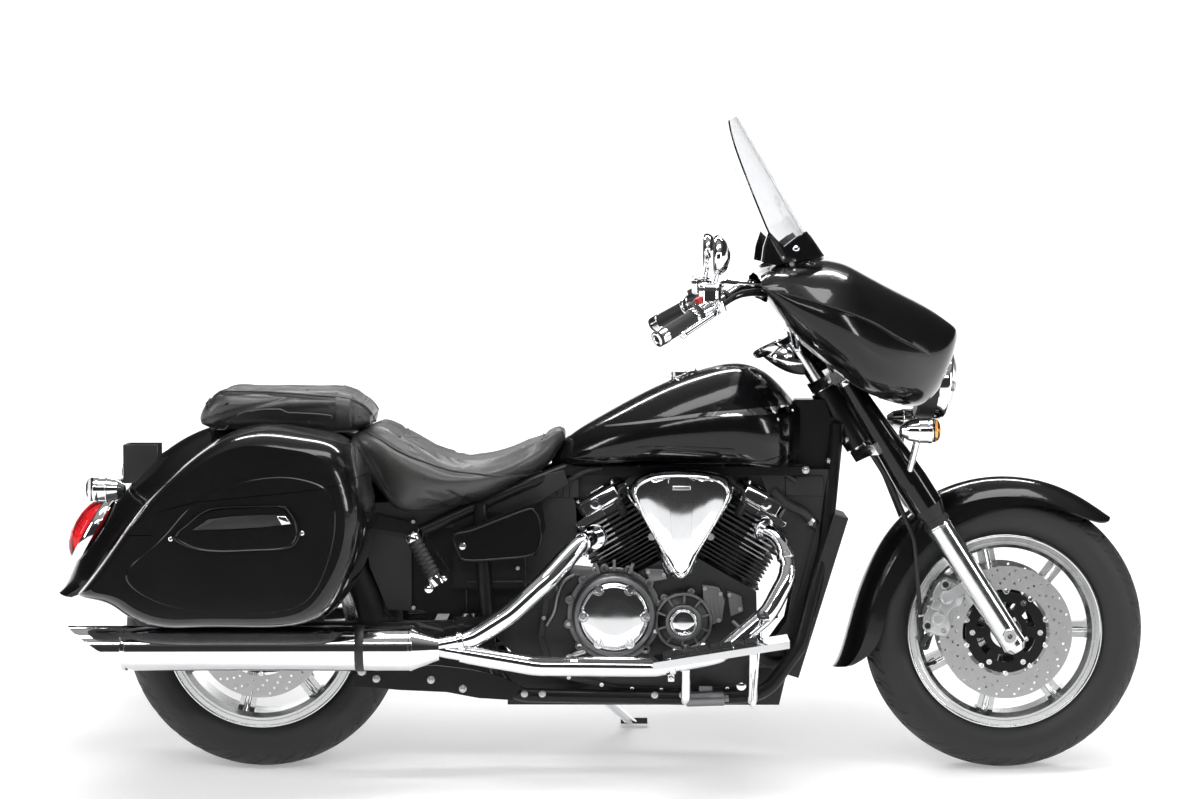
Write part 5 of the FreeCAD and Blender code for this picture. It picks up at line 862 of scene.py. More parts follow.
fin_edges, rockers, bolts, engine_dark, plugs, leads, clutch, flange, small, filter_can = kits(10)
for side in (-1, 1):
    axis = bore(side, 0, 0, 1) - CRANK
    # Machined edges on the outer half of the upper fins
    for up, thick, long, wide in FIN_EDGES:
        low, high = (6, long - 22) if side > 0 else (22 - long, -6)
        for face in (-1, 1):
            y = face * (wide + 0.2)
            corners = ((low, up + 0.5), (high, up + 0.5), (high, up + thick - 0.5), (low, up + thick - 0.5))
            fin_edges.prism([bore(side, a, y, b) for a, b in corners], vec(0, face * 1.1, 0))
    # Rocker cover lid with a stepped, rounded top
    rockers.loft([eight(side, up, 66 + grow, 72 + grow, 24) for up, grow in
                  ((345, 1.6), (347, 3.4), (353, 3.4), (355, 1.2), (380, 1.0), (386.5, -3), (389.5, -9), (390.5, -18))])
    rockers.loft([eight(side, up, 34 + grow, 40 + grow, 12) for up, grow in ((388, 0), (392, 0), (394, -2.5))])
    for a in (-46, 46):
        for b in (-52, 52):
            bolts.socket(bore(side, a, b, 388), axis, 6.5, 6)
    for face, out in SIDES:
        bolts.hexagon(bore(side, side * 12, face * 73.2, 367), out, 8.5, 6)
        # Chrome head plate below the lid, on the outer half
        rockers.prism([bore(side, side * a, face * 71, b) for a, b in
                       ((4, 334), (62, 334), (74, 343), (74, 352), (4, 352))], out * 8)
        # Plug cap and its lead towards the middle of the vee
        foot = bore(side, -side * 34, face * 88, 322)
        way = (bore(side, -side * 40, face * 130, 350) - foot).normalized()
        plugs.lathe([(0, -8), (11, -8), (11, 8), (9.5, 10), (9.5, 20), (8, 22), (8, 34), (5.5, 37), (0, 37)],
                    foot, way, 18)
        top = foot + way * 36
        leads.tube([top - way * 6, top + way * 12, top + way * 22 + vec(-side * 8, -face * 12, 26),
                    vec(CRANK.x + side * 60, face * 70, 668), vec(CRANK.x + side * 40, face * 30, 690)],
                   3.6, 10, smooth=6)
    # Barrel studs and a gasket plate at each joint
    for a in (-78, 78):
        for b in (-72, 72):
            engine_dark.lathe([(0, 187), (7, 187), (7, 193), (5, 194.5), (0, 194.5)], bore(side, a, b, 0), axis, 12)
    for up in (269, 333):
        engine_dark.loft([eight(side, up + lift, 70, 70, 18) for lift in (0, 2.2)])

# Clutch cover: dished mirror cap with six bossed bolts, ring, flange and its bolts
centre = vec(804, -COVER_FACE, 366)
clutch.lathe([(76.5, 50), (76.5, 58), (75.5, 60.5), (73, 61.5), (71, 60.8), (70, 59.2), (69.5, 66.2), (67.5, 67.4),
              (66, 67.6), (40, 68.2), (0, 68.5)], centre, RIGHT, 96)
for n in range(6):
    spot = around(centre, 69.5, 60 * n)
    clutch.lathe([(12.5, 55), (12.5, 66.5), (11, 68.5), (8.2, 68.5), (7.6, 66.5), (0, 66.5)], spot, RIGHT, 24)
    bolts.socket(spot + RIGHT * 66, RIGHT, 6.2, 5.4)
flange.lathe([(78, 50), (78, 56), (80, 59), (88, 57.5), (93, 52), (95.5, 40), (95.5, 22)], centre, RIGHT, 96)
flange.lathe([(95, 0.2), (107, 0.2), (107, 12), (105, 14), (95, 14)], centre, RIGHT, 96)
for n in range(12):
    boss(around(centre, 106, 30 * n + 12), RIGHT, 10.5, 16, 18, (5.2, 5))
for n in range(3):
    way = heading(70 + 20 * n)
    flange.block(centre + way * 112 + RIGHT * 16, (26, 30, 7), web(way))

# Small cover: cap, ring and webs
centre = vec(960, -COVER_FACE, 352)
small.lathe([(31, 44), (31, 53), (29.5, 55), (27, 55.4), (25.5, 54.2), (24.5, 57), (22, 57.8), (14, 58.1), (0, 58.2)],
            centre, RIGHT, 64)
flange.lathe([(31.5, 30), (31.5, 52), (34, 55), (39.5, 55), (41.5, 52), (41.5, 34)], centre, RIGHT, 64)
for n in range(10):
    way = heading(36 * n + 16)
    flange.block(centre + way * 50 + RIGHT * 30, (22, 26, 4.5), web(way))
flange.lathe([(57, 4), (57, 29), (59, 31), (64, 31), (66, 28), (66, 0.2)], centre, RIGHT, 64)
for angle in (20, 75, 130, 200, 255, 310):
    boss(around(centre, 68, angle), RIGHT, 9, 20, 16, (4.8, 4.6))

# Left cover: rim, bolts and a low raised middle
centre = vec(925, COVER_FACE, 336.7)
flange.lathe([(104, 0.2), (117, 0.2), (117, 11), (115, 13), (104, 13)], centre, LEFT, 96)
clutch.lathe([(62, 60), (62, 64), (59, 66.5), (52, 66.5), (49, 64.5), (20, 66.2), (0, 66.8)], centre, LEFT, 96)
for n in range(10):
    boss(around(centre, 114, 36 * n), LEFT, 10, 15, 18, (5.2, 5))

# Crankcase: rim flanges along both faces with their bolts, and the sump's fins
case_marks = [(1.93, -0.10), (1.75, -0.95), (0.60, -1.07), (-1.60, -1.00), (-3.25, -0.70), (-3.60, 0.10),
              (-3.45, 0.95), (-2.85, 1.40)]
middle = vec(840, 0, 300)
for face, out in SIDES:
    outer = [CRANK + vec(a * 90, face * 110.2, b * 110) for a, b in case_marks]
    for a, b in zip(outer, outer[1:]):
        run = (b - a).normalized()
        inward = vec(run.z, 0, -run.x)
        if inward.dot(middle - (a + b) / 2) < 0:
            inward = -inward
        engine_dark.prism([a + inward * 0.5, b + inward * 0.5, b + inward * 13, a + inward * 13], out * 5)
        count = max(1, int((b - a).length / 55))
        for n in range(count):
            spot = a.lerp(b, (n + 0.5) / count) + inward * 7 + out * 4
            if abs(spot.x - 640) > 70 or face < 0:
                bolts.socket(spot, out, 5, 6)
for n in range(9):
    engine_dark.block(vec(800 + n * 18, 0, 181.6), (5, 150, 12))

# Oil filter can below the radiator's foot
filter_can.lathe([(0, 0), (30, 0), (34, 4), (34, 66), (31, 72), (24, 74), (0, 74)], vec(1118, 0, 262),
                 (1, 0, -0.15), 40)
fin_edges.done("engine_fin_edges", "chassis", "polished_aluminium", smooth=False)
rockers.done("rocker_lids", "chassis", "chrome", bevel=0.8)
bolts.done("engine_bolts", "chassis", "chrome", angle=30)
engine_dark.done("engine_flanges", "chassis", "dark_cylinder", bevel=0.7)
plugs.done("plug_caps", "chassis", "rubber")
leads.done("plug_leads", "chassis", "rubber")
clutch.done("clutch_cap", "chassis", "chrome", angle=50)
flange.done("cover_rings", "chassis", "cast_dark", bevel=0.6)
small.done("small_cover_cap", "chassis", "chrome", angle=50)
filter_can.done("oil_filter", "chassis", "black_plastic")


# Exhaust: heat shields over the pipes, clamps, seam rings, and dark strips of painted shade in the shields' slots
PIPE_BEND = 70
MUFFLER_OUT = 235
MUFFLER_Z = 303
CUT_END, CUT_RUN = -412, 148
STRAP_X = 239


def pipe(*marks):
    """The middle of a rigid pipe: straight runs with a round bend at each corner."""
    points = [vec(a * CRANK.x, -b * MUFFLER_OUT, c * CRANK.z) for a, b, c in marks]
    out = [points[0]]
    for last, corner, following in zip(points, points[1:], points[2:]):
        back, ahead = last - corner, following - corner
        room = min(back.length, ahead.length) * 0.45
        back, ahead = back.normalized(), ahead.normalized()
        half = back.angle(ahead) / 2
        cut = min(PIPE_BEND / tan(half), room)
        radius = cut * tan(half)
        centre = corner + (back + ahead).normalized() * (radius / sin(half))
        start, end = corner + back * cut - centre, corner + ahead * cut - centre
        turn = start.angle(end)
        for t in [i / 7 for i in range(8)]:
            out.append(centre + (start * sin((1 - t) * turn) + end * sin(t * turn)) / sin(turn))
    return out + [points[-1]]


def shell_arc(radius, thick, first, last, steps=14):
    """The section of a shell about a pipe; angles in degrees from straight out."""
    angles = [radians(first + (last - first) * n / steps) for n in range(steps + 1)]
    outer = [((radius + thick) * sin(a), (radius + thick) * cos(a)) for a in angles]
    return outer + [(radius * sin(a), radius * cos(a)) for a in reversed(angles)]


def shell_along(kit, points, section):
    """A shell that follows a pipe on its outer side; its section depends on how near an end is."""
    last = len(points) - 1
    kit.loft(sweep_rings(points, [section(min(n, last - n)) for n in range(last + 1)], up=RIGHT))


def shield(line, low, high, radius, thick, half):
    """A heat shield on a stretch of a pipe, tucked in a little at each end."""
    def section(near):
        return shell_arc(radius - (1 - min(1.0, near / 4)) ** 2 * 2.2, thick, -half, half)
    shell_along(shields, stretch(line, low, high), section)


def slot(line, low, high, radius, angle, wide):
    """A dark strip that follows a shield where a slot lies, painted shade for the opening; the angle counts from
    straight out towards the upper side.
    """
    points = stretch(line, low, high, 9)
    half = degrees(wide / 2 / radius)
    if (points[-1] - points[0]).cross(RIGHT).z <= 0:
        angle = -angle

    def section(near):
        grow = half * min(1.0, 0.35 + near * 0.4)
        return shell_arc(radius, 0.7, angle - grow, angle + grow, 5)
    shell_along(slot_shades, points, section)


def on_muffler(x):
    return vec(x, -MUFFLER_OUT, MUFFLER_Z)


front_line = pipe((1.185, 0.36, 1.87), (1.235, 0.52, 1.80), (1.255, 0.68, 1.55), (1.205, 0.80, 1.26),
                  (1.09, 0.86, 0.95), (0.95, 0.90, 0.86), (0.66, 0.92, 0.87), (0.455, 1.00, 0.99), (0.425, 1.00, 1.01))
rear_line = pipe((0.805, 0.36, 1.80), (0.765, 0.62, 1.78), (0.690, 0.83, 1.52), (0.600, 0.92, 1.26),
                 (0.510, 0.985, 1.08), (0.425, 1.00, 1.03))
shields, slot_shades, clamps, strap, frame_bolts, inside, pipe_end, brake_can = kits(8)
shield(front_line, 0.13, 0.47, 19.5, 1.8, 88)
shield(front_line, 0.50, 0.945, 20.5, 2.0, 95)
shield(rear_line, 0.16, 0.86, 21.5, 2.0, 92)
# Dark strips on the shields: painted shade in their slots
slot(front_line, 0.515, 0.69, 22.3, 42, 9)
slot(front_line, 0.705, 0.80, 22.3, 42, 9)
slot(front_line, 0.20, 0.40, 21.1, 6, 8)
slot(rear_line, 0.27, 0.47, 23.3, 0, 10)
slot(rear_line, 0.52, 0.80, 23.3, 48, 8)
for line, share, radius in ((front_line, 0.487, 21.5), (front_line, 0.105, 19.5), (rear_line, 0.125, 20.5),
                            (rear_line, 0.885, 23)):
    part = stretch(line, share - 0.006, share + 0.006, 6)
    spot = (part[0] + part[-1]) / 2
    clamps.lathe([(17.5, -7), (radius, -7), (radius + 1.6, -5.5), (radius + 1.6, 5.5), (radius, 7), (17.5, 7)],
                 spot, part[-1] - part[0], 36)
    clamps.block(spot + vec(0, -4, -radius - 7), (14, 9, 16))
    clamps.hexagon(spot + vec(0, -8, -radius - 8), RIGHT, 4.6, 5)
# Exhaust port flanges on the heads
for line in (front_line, rear_line):
    clamps.lathe([(17.5, 8), (27, 8), (28, 10), (28, 17), (27, 19), (17.5, 19)], line[0], line[1] - line[0], 30)
# Muffler: collar, seam ring, strap with its bolt, rolled lip at the slash cut
for x, wide, high in ((-286, 5, 50.8), (352, 4, 50.9)):
    clamps.lathe([(48, -wide), (50.1, -wide), (high, -wide * 0.5), (high, wide * 0.5), (50.1, wide), (48, wide)],
                 on_muffler(x), AHEAD, 96)
strap.lathe([(48, -10), (50.4, -10), (51.4, -8.5), (51.4, 8.5), (50.4, 10), (48, 10)], on_muffler(STRAP_X), AHEAD, 96)
strap.block(vec(STRAP_X, -200, 262), (20, 8, 46))
strap.block(vec(STRAP_X, -182, 245), (20, 40, 8))
frame_bolts.hexagon(vec(STRAP_X, -204.5, 247), RIGHT, 6.5, 6)
lip_rings = []
for y, z in circle(1, 72):
    edge = on_muffler(CUT_END + CUT_RUN * (1 - z) / 2)
    lip_rings.append([edge + vec(-h, y * r, z * r) for r, h in
                      ((46.4, -2.5), (46.4, -0.4), (48.5, 0.0), (50.2, -0.4), (50.2, -2.5))])
shields.loft(lip_rings, closed=True)
# Dark inside of the muffler behind the cut
rings = [[on_muffler(CUT_END + 2 + CUT_RUN / 2 * (1 - 0.93 * z)) + vec(0, y * 46.6, z * 46.6)
          for y, z in circle(1, 48)]]
for radius, x in ((46.6, -244), (20, -240), (20, -220)):
    rings.append([on_muffler(x) + vec(0, y, z) for y, z in circle(radius, 48)])
inside.loft(rings, ends=False)
inside.lathe([(20, 0), (0, 0)], on_muffler(-221), -AHEAD, 48)
pipe_end.lathe([(15, -176), (15, -120), (18, -118), (19.5, -120), (19.5, -176)], on_muffler(CUT_END), -AHEAD, 40)
shields.done("heat_shields", "chassis", "chrome", angle=35)
slot_shades.done("shield_slot_shades", "chassis", "dark_cylinder")
clamps.done("pipe_clamps", "chassis", "chrome", bevel=0.4)
strap.done("muffler_strap", "chassis", "black_plastic", bevel=0.8)
inside.done("muffler_inside", "chassis", "dark_cylinder")
pipe_end.done("muffler_core", "chassis", "steel")

# Frame bolts and the dark cylinder below the engine
for u, v in ((524, 696), (542, 696), (655, 697), (683, 697)):
    frame_bolts.hexagon(at(u, v, -147), RIGHT, 5.5, 5)
brake_can.lathe([(0, 0), (15, 0), (17, 2), (17, 84), (15, 86), (9, 86), (9, 96), (0, 96)], vec(966, -158, 178),
                (1, 0, 0.03), 28)
brake_can.block(vec(1010, -150, 196), (30, 14, 22))
brake_can.done("rear_brake_cylinder", "chassis", "cast_dark", bevel=0.8)

# Air cleaner: bright rim, a dished face with a sunken strip, and its screws
CLEANER = vec(838, 0, 448)
CLEANER_LONG, CLEANER_HIGH = 232, 248
CLEANER_MID = vec(954, 0, 448 + 248 * 0.62)
cleaner_marks = [(0.00, 0.85), (0.15, 0.965), (0.35, 1.0), (0.60, 1.0), (0.82, 0.975), (0.965, 0.905), (0.995, 0.79),
                 (0.88, 0.56), (0.68, 0.24), (0.555, 0.02), (0.44, 0.02), (0.25, 0.33), (0.09, 0.61)]
rim, panel, small_bar = kits(3)
middle = vec(954, 0, 602)
outline = curved([CLEANER_MID + (CLEANER + vec(a * CLEANER_LONG, 0, b * CLEANER_HIGH) - CLEANER_MID) * 0.93
                  for a, b in cleaner_marks], 8, True)
rings = []
for grow, y in ((1.0, -200), (1.0, -207), (0.985, -211.5), (0.96, -213.0), (0.935, -211.4), (0.925, -206.0)):
    rings.append([middle + (p - middle) * grow + vec(0, y, 0) for p in outline])
rim.loft(rings, ends=False)
inner = rings[-1]


def across_at(line, z):
    """How far a closed outline reaches to each side at a height."""
    spots = []
    for a, b in zip(line, line[1:] + line[:1]):
        if (a.z - z) * (b.z - z) < 0:
            spots.append(a.x + (b.x - a.x) * (z - a.z) / (b.z - a.z))
    return min(spots), max(spots)


# Nearly upright above and turned down below, so that it mirrors dark over white
low_z, high_z = min(p.z for p in inner) + 0.6, max(p.z for p in inner) - 0.6
rings = []
for n in range(31):
    z = high_z + (low_z - high_z) * n / 30
    first_x, last_x = across_at(inner, z)
    half = 16 + (z - low_z) / (high_z - low_z) * 14
    one, two = max(first_x + 1, 953.5 - half), min(last_x - 1, 953.5 + half)
    if one > two:
        one = two = (first_x + last_x) / 2
    out_y = -210.5 + 0.000148 * (z - 657) ** 2
    flanks = [[vec(start + (end - start) * t, out_y + (2.5 if t == 0 else 2.8 * (1 - t) ** 2), z)
               for t in (0, 0.08, 0.3, 0.6, 1)] for start, end in ((first_x, one), (last_x, two))]
    strip = [vec(one + (two - one) * t, out_y + 2.0 - 0.5 * (1 - (2 * t - 1) ** 2), z)
             for t in (0.02, 0.15, 0.5, 0.85, 0.98)]
    rings.append(flanks[0] + strip + flanks[1][::-1])
panel.add([v for row in rings for v in row],
          [(n * 15 + i, n * 15 + i + 1, n * 15 + i + 16, n * 15 + i + 15) for n in range(30) for i in range(14)])
rim.done("cleaner_rim", "chassis", "chrome", angle=60)
panel.done("cleaner_face", "chassis", "chrome", angle=30)
small_bar.prism([vec(a, -208, b) for a, b in ((934, 664), (974, 664), (974, 655), (934, 655))], RIGHT * 3.5)
small_bar.done("cleaner_bar", "chassis", "polished_aluminium", bevel=1.0)
for x, z in ((853, 640), (1056, 640), (888, 548), (1020, 548)):
    frame_bolts.lathe([(0, 0), (9, 0), (9, 12), (7.5, 14), (0, 14)], vec(x, -172, z), RIGHT, 20)
    frame_bolts.socket(vec(x, -185, z), RIGHT, 5, 4)
frame_bolts.done("frame_bolts", "chassis", "steel")

# Fork: clamp collars, leg caps, pinch bolts, axle end, dust seals
LOWER_CLAMP, UPPER_CLAMP, CLAMP_THICK = 505, 690, 26
COLLAR_AT, SEAL_AT, CLIP_AT = 676, 298, 289
LEG_OUT, AXLE_END_OUT = 115, 143.6
fork_bright, fork_dark, fork_bolts = kits(3)


def leg(side, run, ahead=0, aside=0):
    """A spot on a fork leg."""
    return fork(run, FORK_OFFSET + ahead, side * (LEG_OUT + aside))


for side, out in SIDES:
    # Cap on the leg with its hexagon, and a bright collar below the clamp
    top = leg(side, UPPER_CLAMP + CLAMP_THICK)
    fork_bright.lathe([(21.2, 0), (21.2, 24), (19, 28), (13, 29), (12.5, 27.5), (0, 27.5)], top, STEER_UP, 40)
    fork_bright.lathe([(11, 25), (11, 36), (9.5, 37.5), (0, 37.5)], top, STEER_UP, 6)
    fork_bright.lathe([(21.7, -0.5), (23.6, 0.5), (23.6, 10), (22, 12), (21.7, 12)], leg(side, COLLAR_AT), STEER_UP, 40)
    # Dust seal and clip between the slider and the cover
    fork_dark.lathe([(27, 0), (30.4, 0), (30.4, 8), (28.2, 11), (28.2, 16), (27, 16)], leg(side, SEAL_AT), STEER_UP, 40)
    fork_bright.lathe([(29.1, 0), (31.2, 1), (31.2, 4), (29.1, 5)], leg(side, CLIP_AT), STEER_UP, 48)
    # Axle end: washer, bolt and the pinch bolts across the slider's foot
    spot = FRONT + out * AXLE_END_OUT
    fork_bright.lathe([(17, -1), (17, 3.2), (15.5, 4.6), (13, 4.6), (12.6, 3.6), (6.4, 3.6), (6.4, -1)], spot, out, 36)
    fork_dark.lathe([(6.4, -8), (6.4, 3.9), (5.6, 3.9), (5.6, -8)], spot, out, 6)
    for run in (-30, 22):
        fork_bolts.socket(leg(side, run, 27), STEER_AHEAD, 5.2, 6)
    # Clamp pinch bolts
    for run in (LOWER_CLAMP, UPPER_CLAMP):
        fork_bolts.hexagon(leg(side, run + CLAMP_THICK / 2, -34, -8), -STEER_AHEAD, 5.5, 5)
    # Fender bolts through the lug
    for run, ahead in ((238, -14), (262, 14)):
        fork_bolts.hexagon(leg(side, run, ahead, -31), out, 5.5, 5)
fork_bright.done("fork_caps", "steering", "chrome")
fork_dark.done("fork_seals", "steering", "rubber")

# Speedometer pod: bezel, dial, the scale's marks and needle, dark lower half
dial, dial_ring, needle, pod_low = kits(4)
dial_up = vec(-0.42, 0, 0.9).normalized()
dial_spot = cad_skin("speedometer").hit((1100, 0, 1100), -dial_up)[0]
dial_ring.lathe([(38, -14), (44, -10), (46.5, -2), (46.5, 2.5), (44.5, 4.5), (41, 4.2), (40, 1.5)],
                dial_spot, dial_up, 64)
dial.lathe([(41, 0), (0, 0.2)], dial_spot, dial_up, 64)
side_way = dial_up.orthogonal().normalized()
cross_way = dial_up.cross(side_way)


def dial_block(angle, away, lift, size):
    """A flat block on the dial that points out from its middle."""
    way = side_way * cos(radians(angle)) + cross_way * sin(radians(angle))
    needle.block(dial_spot + way * away + dial_up * lift, size, axes(way, dial_up.cross(way), dial_up))


for n in range(31):
    long, wide = (3, 0.6) if n % 5 else (6, 1.1)
    dial_block(9 * n - 225, 37 - long / 2, 0.5, (long, wide, 0.3))
dial_block(-225, 14, 1.2, (34, 1.4, 0.4))
needle.lathe([(0, 0.4), (4, 0.4), (4, 1.8), (0, 1.9)], dial_spot, dial_up, 20)
pod_mesh = frame["nodes"]["speedometer"].data
for p in pod_mesh.polygons:
    facing = (DOWN.to_3x3() @ p.normal).normalized()
    if facing.dot(dial_up) < -0.12:
        pod_low.add([DOWN @ pod_mesh.vertices[i].co + facing * 0.7 for i in p.vertices], [range(len(p.vertices))])
pod_low.done("pod_underside", "steering", "black_plastic", smooth=False)
dial_ring.done("dial_ring", "steering", "chrome")
dial.done("dial_face", "steering", "black_plastic")
needle.done("dial_marks", "steering", "dial_white")

# Front calipers: body, piston bosses, pins, bolts, bleed screw and hose bolt
CALIPER_TURN = 158  # degrees round the wheel from straight ahead
CALIPER_OUT = 158
cal_out, cal_round = heading(CALIPER_TURN), heading(CALIPER_TURN + 90)
body_kit, cal_bolts, cal_dark = kits(3)
cal_marks = curved_flat([(33, -50), (35, -20), (30, -4), (33, 12), (33, 44), (18, 62), (-6, 64), (-30, 56), (-33, 34),
                         (-20, 16), (-16, 2), (-24, -12), (-36, -22), (-34, -46), (-14, -63), (12, -64)], 3)
bridge_marks = [(-5, -12), (13, -12), (17, -6), (17, 6), (13, 12), (-5, 12)]


def cal(a, b, y, side):
    """A place on a caliper: outward from the axle, round the wheel, and from the middle plane."""
    return around(FRONT, CALIPER_OUT, CALIPER_TURN) + cal_out * a + cal_round * b + vec(0, side * y, 0)


for side, out in SIDES:
    body_kit.loft([[cal(p.x * grow, p.y * grow, y, side) for p in cal_marks] for y, grow in
                   ((88.5, 0.97), (91.3, 1.0), (100, 1.0), (103.5, 0.955), (104.6, 0.90))])
    # Piston bosses and the raised bridge
    for b in (-27, 27):
        body_kit.lathe([(17.5, -1), (17.5, 4), (16, 6.5), (12.5, 7.2), (11.5, 5.6), (0, 5.6)], cal(2, b, 104, side),
                       out, 36)
    body_kit.loft([[cal(12 + a * grow, b * grow, y, side) for a, b in bridge_marks] for y, grow in
                   ((103.5, 1.0), (107, 0.97), (108.2, 0.88))])
    for a, b in ((18, 50), (16, -52)):
        body_kit.lathe([(12, -1), (12, 5), (10.5, 7), (0, 7)], cal(a, b, 103, side), out, 24)
        cal_dark.socket(cal(a, b, 109, side), out, 7, 5)
    for a, b in ((-22, 48), (-24, -42)):
        cal_bolts.socket(cal(a, b, 103.5, side), out, 6, 5)
    # Pad pins over the window, bleed screw and hose bolt
    for b in (-9, 9):
        cal_bolts.lathe([(3.2, 0), (3.2, 46), (0, 46)], cal(33, b, 60, side), out, 12)
    cal_bolts.lathe([(0, 0), (4.6, 0), (4.6, 6), (3, 7), (3, 14), (4, 15), (4, 18), (0, 18)], cal(28, 30, 96, side),
                    cal_out + cal_round * 0.5, 14)
    cal_bolts.hexagon(cal(6, 64, 93, side), cal_round, 7, 7)
    cal_dark.lathe([(6.2, 0), (7, 2), (7, 26), (5.4, 30), (5.2, 30)], cal(8, 70, 96, side),
                   cal_round * 0.9 + cal_out * 0.15, 16)
body_kit.done("caliper_bodies", "steering", "cast_aluminium", bevel=1.0, angle=45)
cal_bolts.done("caliper_bolts", "steering", "steel")
cal_dark.done("caliper_plugs", "steering", "black_plastic")
fork_bolts.done("fork_bolts", "steering", "steel")

# Fairing: the crease that catches the light, the ears behind the screen, screws
fairing_skin = cad_skin("fairing")
crease, ears, ear_bolts, screen_screws = kits(4)
CREASE_STEPS, CREASE_RISE, CREASE_RUN_OUT = 34, 7.0, 5


def resampled(marks, count):
    """Evenly spaced places on a smooth line through flat marks."""
    return stretch(curved_flat(marks, 8, False), count=count)


upper = resampled([(763, 281), (800, 285), (840, 298), (878, 315), (902, 320), (936, 336)], CREASE_STEPS)
lower = resampled([(763, 288), (800, 298), (842, 311), (872, 323), (896, 337), (930, 355)], CREASE_STEPS)
rings = []
for n, (a, b) in enumerate(zip(upper, lower)):
    high, high_out = fairing_skin.seen(a.x, a.y)
    low, low_out = fairing_skin.seen(b.x, b.y)
    rise = CREASE_RISE * min(1.0, min(n, CREASE_STEPS - n) / CREASE_RUN_OUT)
    down = (low - high).normalized()
    rings.append([high - high_out * 3, high + high_out * 0.25,
                  high.lerp(low, 0.5) + (high_out + low_out).normalized() * (0.35 * rise + 0.4),
                  low + low_out * (rise + 0.3), low + low_out * (rise * 0.8 + 0.2) + down * 1.6,
                  low + low_out * 0.2 + down * 2.6, low - low_out * 3 + down * 2.6])
crease.loft(rings)
crease.loft([other_side(ring) for ring in rings])
crease.done("fairing_crease", "steering", "gloss_plastic", angle=50)

EAR_IN, EAR_OUT = 196, 226
ear_marks = [(768, 232), (763, 247), (761, 262), (778, 266), (800, 262), (824, 256), (815, 243), (806, 231),
             (797, 236), (783, 247)]
for side, out in SIDES:
    places = [flip(at(u, v, -EAR_OUT), side) for u, v in ear_marks]
    ears.loft([[p - out * (EAR_OUT - EAR_IN) for p in places], places,
               [p + out * 4 for p in shrunk_line(places, 0.94)]])
    for u, v, radius in ((795.5, 249, 7.0), (782, 258, 3.6), (794, 260, 3.6)):
        ear_bolts.lathe([(radius, -6), (radius, 1.5), (radius * 0.8, 2.8), (radius * 0.5, 3.0), (radius * 0.45, 1.4),
                         (0, 1.4)], flip(at(u, v, -EAR_OUT - 2), side) + out, out, 20)
ears.done("screen_ears", "steering", "gloss_plastic", bevel=1.2)
ear_bolts.done("screen_bolts", "steering", "chrome")
# Screws along the foot of the screen
for y in (-150, -75, 75, 150):
    spot, facing = fairing_skin.hit((1500, y, 1230), (-1, 0, -0.12))
    if spot is not None:
        forward = facing if facing.x > 0 else -facing
        screen_screws.lathe([(6.5, -1), (6.5, 1.4), (5.2, 2.6), (0, 2.8)], spot, forward, 18)
screen_screws.done("screen_screws", "steering", "chrome")

# Headlight: bucket, bezel, bowl, bulb and clear glass
lamp_way = heading(-8)
lamp_spot = vec(1500, 0, 887)
bucket, bezel, bowl, bulb, lens = kits(5)
bucket.lathe([(0, 0), (78, 0), (83.6, 6), (83.6, 44)], lamp_spot, lamp_way, 72)
bezel.lathe([(80, 42), (84, 42), (84.6, 50), (84.4, 60), (82.8, 65.5), (80.8, 66.8), (78.6, 65.4), (78.0, 60),
             (78, 52)], lamp_spot, lamp_way, 96)
bowl.lathe([(78, 60), (76.5, 52), (70, 36), (56, 20), (36, 10), (17, 6), (15, 5), (0, 5)], lamp_spot, lamp_way, 72)
bulb.lathe([(0, 4), (14, 5), (12, 12), (7.5, 16), (7.5, 34), (8.5, 36), (8.5, 46), (6, 49), (0, 50)],
           lamp_spot, lamp_way, 28)
lens.lathe([(78.2, 58.5), (78.2, 63), (72, 69), (60, 75.5), (40, 82.6), (20, 86.6), (0, 87.6), (0, 84.4), (20, 83.4),
            (40, 79.4), (60, 72.2), (71, 66), (76, 60), (76.4, 58.5), (78.2, 58.5)], lamp_spot, lamp_way, 72)
bucket.done("lamp_bucket", "steering", "black_plastic")
bezel.done("lamp_bezel", "steering", "chrome", angle=60)
bowl.done("lamp_bowl", "steering", "chrome", angle=60)
bulb.done("lamp_bulb", "steering", "cast_aluminium")
lens.done("lamp_glass", "steering", "lamp_glass", angle=60, replace=("headlight",))

# Signals: bezel rings and lenses; the front ones amber, the rear ones clear
for word, foot, way, body, glass_mat in (("front", vec(1440, 205, 788), AHEAD, "steering", "amber_lens"),
                                         ("rear", vec(-277.6, 250, 659), -AHEAD, "chassis", "lamp_glass")):
    sig_rings, sig_lenses = kits(2)
    for side, out in SIDES:
        spot = flip(foot, -side)
        sig_rings.lathe([(27.8, 60), (29.0, 62), (29.4, 66), (29.2, 70), (27.6, 71.4), (26, 70)], spot, way, 48)
        sig_rings.lathe([(28.0, 40), (28.8, 41), (28.8, 43), (28.0, 44)], spot, way, 48)
        sig_lenses.lathe([(26.4, 68), (26.8, 74), (24.5, 82.5), (18, 87.5), (9, 90.2), (0, 91)], spot, way, 40)
    sig_rings.done(word + "_signal_rings", body, "chrome")
    sig_lenses.done(word + "_signal_lenses", body, glass_mat)

